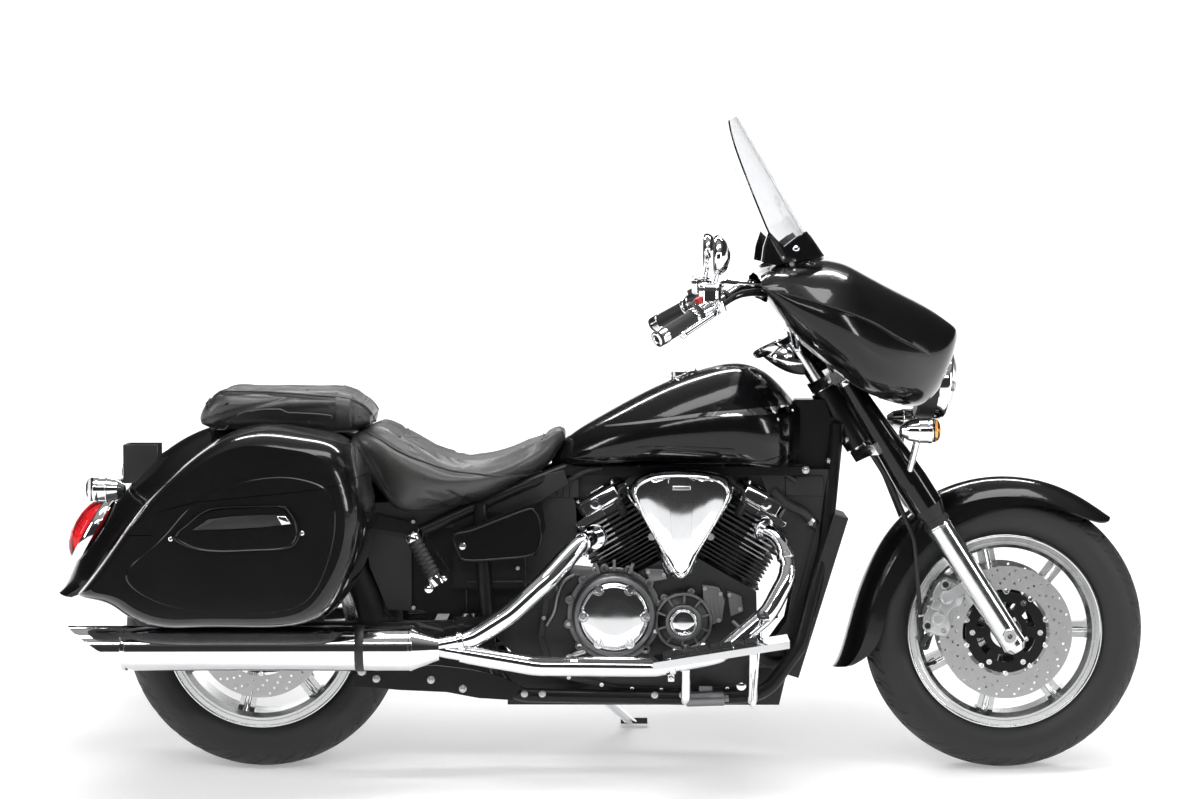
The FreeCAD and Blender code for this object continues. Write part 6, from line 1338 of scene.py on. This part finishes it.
# Tail light: a bright bezel set round the red lens
TAIL_LONG, TAIL_WIDE, TAIL_DEEP = 78, 58, 40
tail_bezel, tail_lines = kits(2)
tail_mid = vec(-398, 0, 546)
long_way, back_way = vec(0.5, 0, 0.866), vec(-0.866, 0, 0.5)
rings = []
for a, b in circle(1, 64):
    radial = long_way * a * TAIL_LONG + LEFT * b * TAIL_WIDE
    away = radial.normalized()
    rings.append([tail_mid + radial + away * h + back_way * k for h, k in
                  ((-1.5, -16), (8.5, -16), (9.0, -8), (6.5, 1), (2.5, 5.5), (-1.0, 5.5), (-2.5, 2))])
tail_bezel.loft(rings, closed=True)
tail_bezel.done("tail_bezel", "chassis", "chrome", angle=60)
for share in (-0.6, -0.3, 0, 0.3, 0.6):
    half = sqrt(1 - share * share)
    line = []
    for i in range(17):
        t = (-0.92 + 1.84 * i / 16) * half
        dome = TAIL_DEEP * sqrt(max(0.0, 1 - share * share - t * t)) + 0.1
        line.append(tail_mid + long_way * share * TAIL_LONG + LEFT * t * TAIL_WIDE + back_way * dome)
    tail_lines.tube(line, 0.7, 6)
tail_lines.done("tail_ribs", "chassis", "red_lens")

# Mirrors and hand controls, placed from the handlebar's bends
BAR_HALF = 490
bar_centre = fork(UPPER_CLAMP + CLAMP_THICK + 84, 0, 0)
bar_spots = [bar_centre + vec(*m) * BAR_HALF for m in
             ((0, 0.122, 0), (-0.02, 0.214, 0.092), (-0.12, 0.41, 0.265), (-0.30, 0.635, 0.285), (-0.447, 0.806, 0.195),
              (-0.647, 0.96, 0.08))]
grip_way = (bar_spots[-1] - bar_spots[-2]).normalized()
grip_in = bar_spots[-2] + grip_way * 20
grip_long = (bar_spots[-1] - grip_in).length
mirror_spot = bar_spots[-2] + vec(26, 49, 118.8)
mirror_marks = curved([vec(0, a * 70, b * 44) for a, b in
                       ((1.0, 0.0), (0.86, 0.5), (0.5, 0.84), (0.0, 1.0), (-0.55, 0.86), (-0.92, 0.45), (-1.0, -0.05),
                        (-0.82, -0.6), (-0.4, -0.9), (0.1, -1.0), (0.6, -0.84), (0.93, -0.48))], 5, True)
switch_start = grip_in - grip_way * 52.3
glass_kit, mirror_rims, controls, control_dark, red_switch, cables = kits(6)
across_grip = grip_way.cross(RISE).normalized()
lever_side = across_grip if across_grip.x > 0 else -across_grip


def mirror_rings(side, *marks):
    """Rings of the mirror's outline, each a share of its size at a depth."""
    return [[flip(mirror_spot + vec(x, p.y * share, p.z * share), -side) for p in mirror_marks] for share, x in marks]


for side, out in SIDES:
    mirror_rims.loft(mirror_rings(side, (0.94, -7.9), (0.93, -8.8), (0.87, -8.8), (0.87, -7.9)), ends=False)
    glass_kit.loft(mirror_rings(side, (0.88, -8.3), (0.5, -8.3), (0.1, -8.3)))
    way, ahead = flip(grip_way, -side), flip(lever_side, -side)
    start, grip_foot = flip(switch_start, -side), flip(grip_in, -side)
    # Switch housing: split line, buttons, screws and the clamp for the lever
    for along in (3, 46):
        controls.lathe([(23.1, -1), (24.2, 0), (24.2, 3), (23.1, 4)], start + way * along, way, 40)
    control_dark.lathe([(23.05, 0), (23.5, 0.4), (23.5, 1.6), (23.05, 2)], start + way * 26, way, 40)
    backward = way.cross(ahead).normalized()
    if backward.z < 0:
        backward = -backward
    turn = axes(way, ahead, backward)
    for along in (14, 32):
        control_dark.block(start + way * along - ahead * 22.2 + backward * 3, (9, 12, 8), turn)
    (red_switch if side < 0 else control_dark).block(start + way * 30 + backward * 25 - ahead * 4, (25, 15, 13), turn)
    # Reservoir lid with its screws
    cup = start + way * 17.33 + vec(0, 0, 47.8)
    controls.lathe([(24.2, -4), (25.6, -2), (25.6, 3.4), (23, 5.2), (0, 5.6)], cup, RISE, 36)
    for x, y in ((1, 1), (-1, 1), (-1, -1), (1, -1)):
        controls.lathe([(3.2, 4.4), (3.2, 6.6), (2.4, 7.2), (0, 6.8)], cup + vec(x, y, 0).normalized() * 18, RISE, 12)
    control_dark.lathe([(24.1, -12), (24.6, -11), (24.6, -6), (24.1, -5)], cup, RISE, 36)
    # Lever pivot and ball end
    pivot = start + ahead * 30 + way * 10
    controls.lathe([(0, -13), (8, -13), (8.6, -11), (8.6, 11), (8, 13), (0, 13)], pivot, backward, 24)
    controls.lathe([(0, 12), (5.5, 12), (5.5, 16), (0, 16)], pivot, backward, 6)
    ball = [(8.5 * cos(radians(a)), 8.5 * sin(radians(a))) for a in range(-75, 76, 15)]
    controls.lathe([(0, -8.5)] + ball + [(0, 8.5)], start + ahead * 59.8 + way * (52 + grip_long * 0.85), way, 20)
    # Grip: end cap, flange ring and raised bands
    controls.lathe([(15, 0), (18.2, 0), (18.4, 4), (17.6, 15), (14, 18.6), (9, 19.4), (8, 17.5), (0, 17.5)],
                   grip_foot + way * (grip_long - 8.5), way, 40)
    controls.lathe([(17.2, -7), (18.8, -6), (18.8, 0), (17.2, 1)], grip_foot + way * (grip_long - 9), way, 40)
    controls.lathe([(17.2, 9), (19.4, 9.5), (20.4, 11), (20.4, 17), (19, 19), (17.2, 19)], grip_foot, way, 40)
    # Cables clipped along the bar, into the fairing
    bar = [flip(p, -side) for p in bar_spots]
    for ahead_by, drop in ((17, -6), (11, -16)):
        low = ahead * ahead_by + vec(0, 0, drop)
        points = [start + way * 8 + ahead * 2 + low] + [bar[m] + low for m in (4, 3, 2, 1)]
        cables.tube(points, 3.4, 10, smooth=6)
        controls.lathe([(0, 0), (5.2, 0), (5.2, 14), (4, 17), (0, 17)], points[0] + way * 2, points[1] - points[0], 16)
    for m in (2, 3):
        hold = bar[m].lerp(bar[m + 1], 0.4)
        cables.lathe([(16.2, -5), (17.2, -4), (17.2, 4), (16.2, 5)], hold, bar[m + 1] - bar[m], 24)
glass_kit.done("mirror_glass", "steering", "mirror_glass", smooth=False)
mirror_rims.done("mirror_rims", "steering", "chrome")
controls.done("control_fittings", "steering", "chrome")
control_dark.done("control_buttons", "steering", "black_plastic", bevel=0.8)
red_switch.done("stop_switch", "steering", "red_plastic", bevel=1.0)
cables.done("control_cables", "steering", "rubber")

# Saddlebags: rim of the latch pod, its raised handle with a bright end, screws
BAG_OUT = 439
pods, handles, pod_screws = kits(3)
pod_marks = [(172, 538), (186, 524), (200, 513), (215, 508.5), (250, 507), (282, 507), (290, 513), (297, 526),
             (297, 539), (286, 549), (250, 551.5), (215, 552.5), (190, 549)]
handle_marks = [(191, 531), (207, 520), (232, 517), (262, 515.5), (284, 515.5), (291, 525), (262, 528), (225, 530)]
tip_marks = [(276, 516.4), (284.5, 516.4), (290.4, 524.4), (281, 525.4)]
for side, out in SIDES:
    pod, hand, tip = [[flip(at(u, v, -BAG_OUT), side) for u, v in marks]
                      for marks in (pod_marks, handle_marks, tip_marks)]
    pods.loft(stepped(curved(pod, 5, True), out,
                      ((1.02, -1.5), (1.015, 1.6), (0.985, 2.4), (0.955, 1.4), (0.94, -0.6))), ends=False)
    handles.loft(stepped(hand, out, ((1.0, -1), (1.0, 4.2), (0.93, 6.2), (0.80, 6.6))))
    pod_screws.loft(stepped(tip, out, ((0.95, 5.4), (0.95, 7.4), (0.78, 8.2))))
    for u, v in ((169, 540), (301, 534)):
        pod_screws.lathe([(5, -2), (5, 1.4), (3.8, 2.4), (2.6, 2.5), (2.2, 1.4), (0, 1.4)],
                         flip(at(u, v, 6 - BAG_OUT), side), out, 20)
pods.done("bag_pod_rims", "chassis", "gloss_plastic", angle=50)
handles.done("bag_handles", "chassis", "black_plastic", angle=45)
pod_screws.done("bag_screws", "chassis", "chrome", angle=45)


# Seats: leather over foam, puffed between their seams, then piping, stitches and the strap


def seam_on(skin, marks, count, lift=0.0):
    """A line of the photograph laid on a surface."""
    return [skin.seen(p.x, p.y, lift)[0] for p in resampled(marks, count)]


def over(skin, x, half, count=24):
    """A line across a seat, laid on its top."""
    line = []
    for n in range(count + 1):
        spot, facing = skin.hit((x, -half + 2 * half * n / count, 1200), -RISE)
        if spot is not None:
            line.append(spot + RISE * 0.8)
    return line


def near_line(spot, line):
    best = 1e9
    for a, b in zip(line, line[1:]):
        run = b - a
        t = max(0.0, min(1.0, (spot - a).dot(run) / max(1e-9, run.length_squared)))
        best = min(best, (a + run * t - spot).length_squared)
    return sqrt(best)


def evaluated(made):
    ready = made.evaluated_get(bpy.context.evaluated_depsgraph_get())
    return bpy.data.meshes.new_from_object(ready)


VOXEL = 0.0055
SEAM_WIDE, SEAM_DEEP = 6.5, 3.2
PRESSURE = 5.0
CLOTH_FRAMES = 20
PIPING, STITCH = 2.3, 0.8
STRAP_MID_Z, STRAP_RINGS = 818, 48


def stuffed(name, node_name, seams, inset, cap):
    """A leather piece: the CAD solid drawn in, then blown up by cloth between its seams, never past the cap."""
    made = bpy.data.objects.new(name, frame["nodes"][node_name].data.copy())
    scene.collection.objects.link(made)
    shell = made.modifiers.new("shell", "REMESH")
    shell.mode = "VOXEL"
    shell.voxel_size = VOXEL
    ease = made.modifiers.new("ease", "SMOOTH")
    ease.factor = 0.5
    ease.iterations = 10
    mesh = evaluated(made)
    made.modifiers.clear()
    made.data = mesh
    lines = seams + [other_side(line) for line in seams]
    normals = [n.vector.copy() for n in mesh.vertex_normals]
    held = made.vertex_groups.new(name="held")
    for v, n in zip(mesh.vertices, normals):
        spot = DOWN @ v.co
        gap = min(near_line(spot, line) for line in lines)
        dip = exp(-(gap / SEAM_WIDE) ** 2)
        held.add([v.index], min(1.0, dip * 1.2), "REPLACE")
        v.co -= n * (inset + SEAM_DEEP * dip) / 1000
    start = [v.co.copy() for v in mesh.vertices]
    cloth = made.modifiers.new("cloth", "CLOTH")
    cloth.settings.quality = 5
    cloth.settings.use_pressure = True
    cloth.settings.uniform_pressure_force = PRESSURE
    cloth.settings.effector_weights.gravity = 0
    cloth.settings.vertex_group_mass = "held"
    cloth.settings.tension_stiffness = 12
    cloth.settings.compression_stiffness = 12
    cloth.settings.bending_stiffness = 0.8
    for frame_number in range(1, CLOTH_FRAMES + 1):
        scene.frame_set(frame_number)
    blown = evaluated(made)
    made.modifiers.clear()
    scene.frame_set(1)
    for v, old, new in zip(mesh.vertices, start, blown.vertices):
        move = new.co - old
        if move.length > cap / 1000:
            move *= cap / 1000 / move.length
        v.co = old + move
    mesh.update()
    mesh.materials.clear()
    mesh.materials.append(MATS["leather"])
    mesh.shade_smooth()
    made.modifiers.new("round", "SUBSURF").levels = 1
    made.modifiers["round"].render_levels = 1
    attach(made, "chassis")
    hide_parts(node_name)
    return Skin(mesh)


rider_piping = [(362, 430), (378, 438), (400, 452), (430, 464), (452, 471), (478, 474), (506, 476), (532, 474),
                (550, 464), (560, 450)]
rider_rear_seam = [(352, 436), (362, 452), (374, 470), (384, 490)]
pillion_top = [(206, 404), (216, 393), (240, 391.5), (280, 393), (320, 396), (345, 398), (364, 406), (374, 418)]
pillion_side = [(198, 424), (222, 417), (250, 408), (275, 400), (286, 396)]
pillion_low = [(200, 428), (240, 430), (300, 431), (350, 431), (374, 424)]
rider_cross = [(322, 138), (640, 84)]
pillion_cross = [(-112, 118), (232, 112)]
rider_old, pillion_old = cad_skin("rider_seat"), cad_skin("passenger_seat")
rider_seams = [seam_on(rider_old, marks, 40) for marks in (rider_piping, rider_rear_seam)]
rider_seams += [over(rider_old, x, half) for x, half in rider_cross]
pillion_seams = [seam_on(pillion_old, marks, 36) for marks in (pillion_top, pillion_side)]
pillion_seams += [over(pillion_old, x, half) for x, half in pillion_cross]
rider_skin = stuffed("rider_seat_leather", "rider_seat", rider_seams, 4.0, 6.5)
pillion_skin = stuffed("passenger_seat_leather", "passenger_seat", pillion_seams, 3.5, 6.0)
piping, stitches, seat_strap = kits(3)
for skin, marks, count in ((rider_skin, rider_piping, 46), (pillion_skin, pillion_top, 40),
                           (pillion_skin, pillion_low, 36)):
    line = seam_on(skin, marks, count, 0.8)
    piping.tube(line, PIPING, 8)
    piping.tube(other_side(line), PIPING, 8)
for skin, spans in ((rider_skin, rider_cross), (pillion_skin, pillion_cross)):
    for x, half in spans:
        piping.tube(over(skin, x, half), PIPING, 8)
for skin, marks, count in ((rider_skin, rider_rear_seam, 18), (pillion_skin, pillion_side, 26)):
    line = seam_on(skin, marks, count, 0.2)
    for a, b in zip(line, line[1:]):
        stitch = [a.lerp(b, 0.15), a.lerp(b, 0.75)]
        stitches.tube(stitch, STITCH, 6)
        stitches.tube(other_side(stitch), STITCH, 6)
# The strap across the passenger's seat, with its folded edges
rings = []
for n in range(STRAP_RINGS + 1):
    angle = radians(-14 + 208 * n / STRAP_RINGS)
    way = RIGHT * cos(angle) + RISE * sin(angle)
    ring = []
    for x, lift in ((176, -1.5), (176, 2.0), (178.5, 2.9), (182, 2.2), (206, 2.2), (209.5, 2.9), (212, 2.0),
                    (212, -1.5)):
        middle = vec(x, 0, STRAP_MID_Z)
        spot, facing = pillion_skin.hit(middle + way * 260, -way)
        if spot is None:
            spot, facing = pillion_skin.near(middle + way * 150)
        ring.append(spot + way * lift)
    rings.append(ring)
seat_strap.loft(rings)
piping.done("seat_piping", "chassis", "leather", angle=60)
stitches.done("seat_stitches", "chassis", "rubber")
seat_strap.done("seat_strap", "chassis", "leather", angle=50)

# Tank: filler cap with its lock, bolts beside the strip and the seam along the foot
tank_skin = cad_skin("fuel_tank")
cap_kit, tank_bolts, tank_seam = kits(3)
spot, facing = tank_skin.hit((960, 0, 1200), -RISE)
cap_up = facing if facing.z > 0 else -facing
cap_kit.lathe([(44, -4), (44, 1.0), (42, 2.6), (37, 3.0), (36, 1.6)], spot - cap_up * 6, cap_up, 72)
cap_kit.lathe([(33.5, -4), (34.6, -1), (34.6, 2.5), (32, 4.6), (26, 5.6), (12, 6.2), (11.5, 5.0), (9, 5.0), (8.6, 6.4),
               (0, 6.6)], spot, cap_up, 72)
cap_kit.block(spot + cap_up * 6.8, (9, 1.4, 1.6))
for n in range(6):
    angle = radians(60 * n + 30)
    cap_kit.socket(spot - cap_up * 4 + vec(cos(angle) * 40, sin(angle) * 40, 0), cap_up, 2.6, 2.2)
for u, v, radius in ((778, 419, 4.2), (792.5, 410, 3.4)):
    where, way = tank_skin.seen(u, v)
    for side, out in SIDES:
        tank_bolts.lathe([(radius, -2), (radius, 1.2), (radius * 0.75, 2.4), (radius * 0.45, 2.5), (radius * 0.4, 1.2),
                          (0, 1.2)], flip(where, side), flip(way, side), 18)
line = seam_on(tank_skin, [(568, 458), (600, 461), (640, 463), (690, 464), (730, 464), (760, 462), (782, 456)], 60, 0.4)
tank_seam.tube(line, 1.6, 8)
tank_seam.tube(other_side(line), 1.6, 8)
cap_kit.done("tank_cap_trim", "chassis", "chrome", angle=45)
tank_bolts.done("tank_bolts", "chassis", "chrome")
tank_seam.done("tank_seam", "chassis", "gloss_black_paint")

# Middle: dark panels in the gaps (painted shade), coil boxes under the tank, airbox between the cylinders, hoses and
# wires.
# A panel is its distance from the middle, its thickness and its outline seen from the side.
# The panels are dark sheets set in the gaps between the parts. They are painted shade where the machine's inside lies
# in shadow, and black like the parts they stand for.
SHADE_PANELS = [
    (62, 6, [(602, 372), (602, 590), (650, 640), (700, 662), (716, 610), (722, 500), (690, 430), (640, 372)]),
    (96, 5, [(336, 560), (336, 600), (380, 630), (470, 628), (602, 672), (690, 690), (700, 660), (602, 600),
             (602, 560)]),
    (52, 6, [(1150, 640), (1168, 600), (1178, 520), (1214, 430), (1196, 340), (1140, 262), (1192, 262), (1236, 340),
             (1270, 470), (1300, 640), (1290, 690), (1130, 690)]),
    (98, 4, [(236, 560), (250, 470), (290, 372), (345, 372), (345, 600), (300, 620), (250, 615)]),
    (60, 5, [(500, 372), (724, 372), (724, 232), (650, 226), (580, 262), (520, 320)]),
    (30, 5, [(690, 600), (770, 600), (800, 655), (1110, 655), (1150, 600), (1240, 600), (1240, 700), (690, 700)]),
    (54, 5, [(560, 150), (1180, 150), (1200, 235), (560, 235)]),
    (12, 5, [(1180, 684), (1236, 684), (1236, 742), (1196, 742)])]
# A hose is its radius, its sides, its smoothing and the points of its route on the left
HOSES = [
    (6.0, 12, 5, [(700, 74, 664), (742, 82, 688), (800, 66, 694), (900, 58, 696), (1010, 58, 696), (1110, 64, 694),
                  (1180, 70, 684), (1216, 66, 664)]),
    (11, 16, 6, [(1262, 60, 560), (1236, 72, 590), (1196, 74, 612), (1166, 66, 640)]),
    (10, 16, 6, [(1196, 62, 250), (1170, 78, 244), (1136, 92, 262), (1116, 106, 292)])]
shade_panels, boxes, hoses, hose_clips = kits(4)
for side, out in SIDES:
    # Dark panels of painted shade in the gaps, on both sides
    for off, thick, marks in SHADE_PANELS:
        shade_panels.prism([vec(x, side * off, z) for x, z in marks], out * thick)
    # Panel ribs and fasteners
    for a, b in (((470, 440), (598, 440)), ((470, 420), (470, 372)), ((598, 420), (598, 372))):
        shade_panels.tube([vec(x, side * 119, z) for x, z in (a, b)], 2.2, 8)
    for x, z in ((350, 380), (350, 575), (586, 380), (586, 470)):
        hose_clips.socket(vec(x, -119.5 if side < 0 else 85.5, z), out, 4.6, 4)
    # Coil box, its leads and a relay under the tank
    boxes.block(vec(688, side * 52, 648), (70, 40, 44))
    boxes.block(vec(1236, side * 46, 652), (86, 34, 46))
    for n in range(3):
        boxes.block(vec(676 + 14 * n, side * 74, 646), (5, 6, 36))
    # The wires' sleeve, and hoses from the radiator to the front cylinder and to the pump
    for radius, sides, smooth, route in HOSES:
        hoses.tube([vec(x, side * y, z) for x, y, z in route], radius, sides, smooth=smooth)
    for x, y in ((780, 64), (860, 64), (1050, 64), (1130, 66)):
        hose_clips.lathe([(6.6, -4), (7.4, -3), (7.4, 3), (6.6, 4)], vec(x, side * y, 694), AHEAD, 16)
    for spot, way in ((vec(1250, side * 67, 574), vec(-0.7, side * 0.3, 0.7)),
                      (vec(1124, side * 100, 279), vec(-0.6, side * 0.5, 0.6))):
        hose_clips.lathe([(11.2, -5), (12.4, -4), (12.4, 4), (11.2, 5)], spot, way, 24)
        hose_clips.block(spot + vec(0, side * 12, -6), (8, 6, 9))
for half, marks in ((66, [(870, 600), (1040, 600), (1080, 660), (1060, 690), (850, 690), (828, 660)]),
                    (58, [(905, 470), (1005, 470), (1040, 600), (870, 600)])):
    shade_panels.prism([vec(x, -half, z) for x, z in marks], LEFT * 2 * half)
shade_panels.done("inner_shade_panels", "chassis", "black_plastic", bevel=2.0)
boxes.done("coil_boxes", "chassis", "black_plastic", bevel=1.6)
hoses.done("engine_hoses", "chassis", "rubber", angle=60)
hose_clips.done("hose_clips", "chassis", "steel")

# Engine side: sensor cover, ribs, cable guides and a lever between the two round covers
side_parts, side_bright = kits(2)
for marks, lift in (([(1002, 436), (1040, 430), (1054, 400), (1048, 352), (1022, 342), (1006, 372)], 26),
                    ([(1058, 420), (1092, 408), (1096, 372), (1066, 360)], 14),
                    ([(872, 470), (915, 470), (926, 446), (884, 438)], 18)):
    side_parts.loft(stepped([vec(x, -109, z) for x, z in marks], RIGHT,
                            ((1.0, 0), (1.0, lift - 3), (0.94, lift), (0.82, lift + 0.6))))
for n in range(4):
    side_parts.block(vec(1014 + 9 * n, -136, 388), (3.4, 6, 60 - 7 * n), Matrix.Rotation(radians(-8), 3, "Y"))
for off, spots in ((135.5, ((1008, 426), (1044, 414), (1040, 354))), (122.5, ((1064, 410), (1088, 378))),
                   (126.5, ((880, 462), (916, 456))), (110, ((700, 470), (668, 430)))):
    for x, z in spots:
        side_bright.socket(vec(x, -off, z), RIGHT, 4.8, 4.5)
for radius, route in ((5, ((716, 118, 456), (690, 126, 440), (676, 128, 410), (668, 126, 372), (650, 122, 340))),
                      (6, ((1072, 118, 350), (1092, 130, 330), (1100, 130, 300), (1092, 120, 276)))):
    side_parts.tube([vec(x, -y, z) for x, y, z in route], radius, 12, smooth=5)
side_bright.lathe([(0, 0), (7, 0), (7, 26), (4.5, 30), (4.5, 44), (0, 44)], vec(738, -120, 282),
                  (-0.9, -0.1, -0.28), 20)
side_bright.block(vec(712, -124, 268), (26, 8, 10), Matrix.Rotation(radians(18), 3, "Y"))
side_parts.done("engine_side_parts", "chassis", "cast_dark", bevel=1.0)
side_bright.done("engine_side_bolts", "chassis", "steel")

# Side covers: bolt on each, raised edge round it
cover_trim, cover_rim = kits(2)
cover_skin = cad_skin("side_covers")
where, way = cover_skin.seen(462, 547)
rim_marks = [(451, 540), (470, 531.5), (500, 520), (524, 511), (533, 510), (539, 520), (540, 542), (530, 560),
             (500, 564), (463, 565.5), (455, 556)]
for side, out in SIDES:
    cover_trim.lathe([(8.5, -1), (8.5, 2.0), (7.2, 3.4), (3.6, 3.6), (3.2, 2.0), (0, 2.0)], flip(where, side),
                     flip(way, side), 28)
    cover_rim.tube([flip(cover_skin.seen(u, v, 0.6)[0], side) for u, v in rim_marks], 2.6, 10, smooth=4, closed=True)
cover_rim.done("side_cover_rims", "chassis", "gloss_black_paint")
cover_trim.done("side_cover_bolts", "chassis", "chrome")

# Passenger pegs: rubber over the bar with bands, a chrome cap at each end, the bolt at the foot
PEG_OUT, PEG_BANDS = 186, 8
peg_rubber, peg_bright = kits(2)
for side, out in SIDES:
    low, high = vec(407, side * PEG_OUT, 447), vec(350, side * PEG_OUT, 551)
    way = (high - low).normalized()
    long = (high - low).length
    bands = []
    for n in range(PEG_BANDS):
        start = 18 + n * (long - 34) / PEG_BANDS
        bands += [(15.5, start), (17.2, start + 1.5), (17.2, start + 6.5), (15.5, start + 8)]
    peg_rubber.lathe([(10, 14), (15.5, 15)] + bands + [(15.5, long - 12), (10, long - 11)], low, way, 28)
    peg_bright.lathe([(10, long - 13), (17.4, long - 13), (17.8, long - 11), (17.8, long - 2), (15, long + 2),
                      (8, long + 3.4), (0, long + 3.6)], low, way, 32)
    peg_bright.lathe([(12, -8), (18, -7), (18.4, 8), (17, 14), (10, 15)], low, way, 32)
    peg_bright.hexagon(low + vec(-18, side * 3, -16), out, 6.5, 6)
    peg_bright.hexagon(low + vec(16, side * 3, 8), out, 5, 5)
peg_rubber.done("peg_rubbers", "chassis", "rubber", angle=50)
peg_bright.done("peg_trim", "chassis", "chrome", angle=45)

# Below: the plate that carries the muffler, on both sides, with its bolts
STAY_OUT = 144
AXLE_NUT_OUT, ADJUSTER_OUT = 162.2, 132
axle_end = vec(0, 0, 319.1)
stays, stay_bolts = kits(2)
stay_marks = [(512, 702), (478, 700), (446, 694), (400, 692), (352, 688), (352, 676), (400, 667), (436, 667),
              (470, 671), (500, 678), (522, 688)]
for side, out in SIDES:
    stays.prism([flip(at(u, v, -STAY_OUT), side) for u, v in stay_marks], out * 7)
    for u, v in ((430, 682), (462, 691), (375, 681)):
        stay_bolts.hexagon(flip(at(u, v, -STAY_OUT - 7), side), out, 6, 5)
    # Rear axle nut and washer, and the adjuster screw on the swingarm
    nut = axle_end + out * AXLE_NUT_OUT
    stay_bolts.lathe([(0, 0), (24, 0), (24, 3), (0, 3)], nut, out, 36)
    stay_bolts.lathe([(17, 3), (17, 13), (15, 15), (9, 15), (8.5, 12), (0, 12)], nut, out, 6)
    stay_bolts.lathe([(0, 0), (5, 0), (5, 40), (0, 40)], axle_end + vec(-24, side * ADJUSTER_OUT, 0), -AHEAD, 14)
    stay_bolts.lathe([(0, 0), (9, 0), (9, 8), (0, 8)], axle_end + vec(-34, side * ADJUSTER_OUT, 0), -AHEAD, 6)
stays.done("muffler_stays", "chassis", "dark_frame_paint", bevel=1.0)
stay_bolts.done("stay_bolts", "chassis", "steel", bevel=0.4)

# Footboards: ribbed rubber pads, edge screws and the bolt of each board
BOARD_OUT = 268
BOARD_PADS, PAD_PITCH, PAD_BACK = 9, 26, 925
pads, board_bright = kits(2)
board_skin = cad_skin("footboards")
for side, out in SIDES:
    for n in range(BOARD_PADS):
        spot, facing = board_skin.hit((PAD_BACK + PAD_PITCH * n, side * BOARD_OUT, 700), -RISE)
        if spot is None or spot.z < 240:
            continue
        facing = facing if facing.z > 0 else -facing
        turn = web(vec(facing.z, 0, -facing.x).normalized())
        pads.block(spot + facing * 2.4, (25, 96, 4.8), turn)
        for k in range(4):
            pads.block(spot + facing * 6.0 + out * (22.6 * k - 34), (20, 9, 3.4), turn)
        if n in (0, BOARD_PADS - 1):
            for y in (222, 312):
                board_bright.socket(spot + out * (y - BOARD_OUT), facing, 5, 3)
where = at(742, 687, -206)
for side, out in SIDES:
    board_bright.hexagon(vec(where.x, side * 212, where.z), out, 7.5, 6)
pads.done("footboard_pads", "chassis", "rubber", bevel=0.8)
board_bright.done("footboard_bolts", "chassis", "chrome")

# Radiator: slats and bars across the core
SLATS, BARS, BAR_PITCH = 44, 7, 24
CORE_HALF = 17.8
slats = Kit()
low, high = vec(1206, 0, 262), vec(1286, 0, 566)
run = (high - low).normalized()
front_way = vec(run.z, 0, -run.x)
turn = axes(front_way, LEFT, run)
for face in (-1, 1):
    for n in range(SLATS):
        slats.block(low.lerp(high, n / (SLATS - 1)) + front_way * CORE_HALF * face, (1.6, 150, 3.0), turn)
    for n in range(BARS):
        across = LEFT * BAR_PITCH * (n - (BARS - 1) / 2)
        slats.block(low.lerp(high, 0.5) + across + front_way * (CORE_HALF + 0.6) * face, (1.6, 3.0, 306), turn)
slats.done("radiator_slats", "chassis", "dark_cylinder")

# Belt: the guard over the upper run
guard = Kit()
guard_section = [(84, -6), (84, 0), (92, 7), (110, 7), (117, 0), (117, -14), (114.5, -14), (114.5, -1), (109, 4.4),
                 (93, 4.4), (86.5, -1), (86.5, -6)]
guard_run = [(-100, 436), (-40, 448), (40, 450), (140, 441), (260, 429), (380, 416), (500, 403), (580, 394),
             (640, 388)]
guard.loft([[vec(x, y, z + rise) for y, rise in guard_section] for x, z in guard_run])
guard.done("belt_guard", "chassis", "black_plastic", bevel=0.6)

# Steering head: gusset bolts
head_bits = Kit()
frame_skin = cad_skin("frame")
for u, v in ((828, 461), (806, 470), (846, 440)):
    spot, facing = frame_skin.seen(u, v)
    for side, out in SIDES:
        head_bits.hexagon(flip(spot, side), flip(facing, side), 6, 5)
head_bits.done("head_bolts", "chassis", "steel")
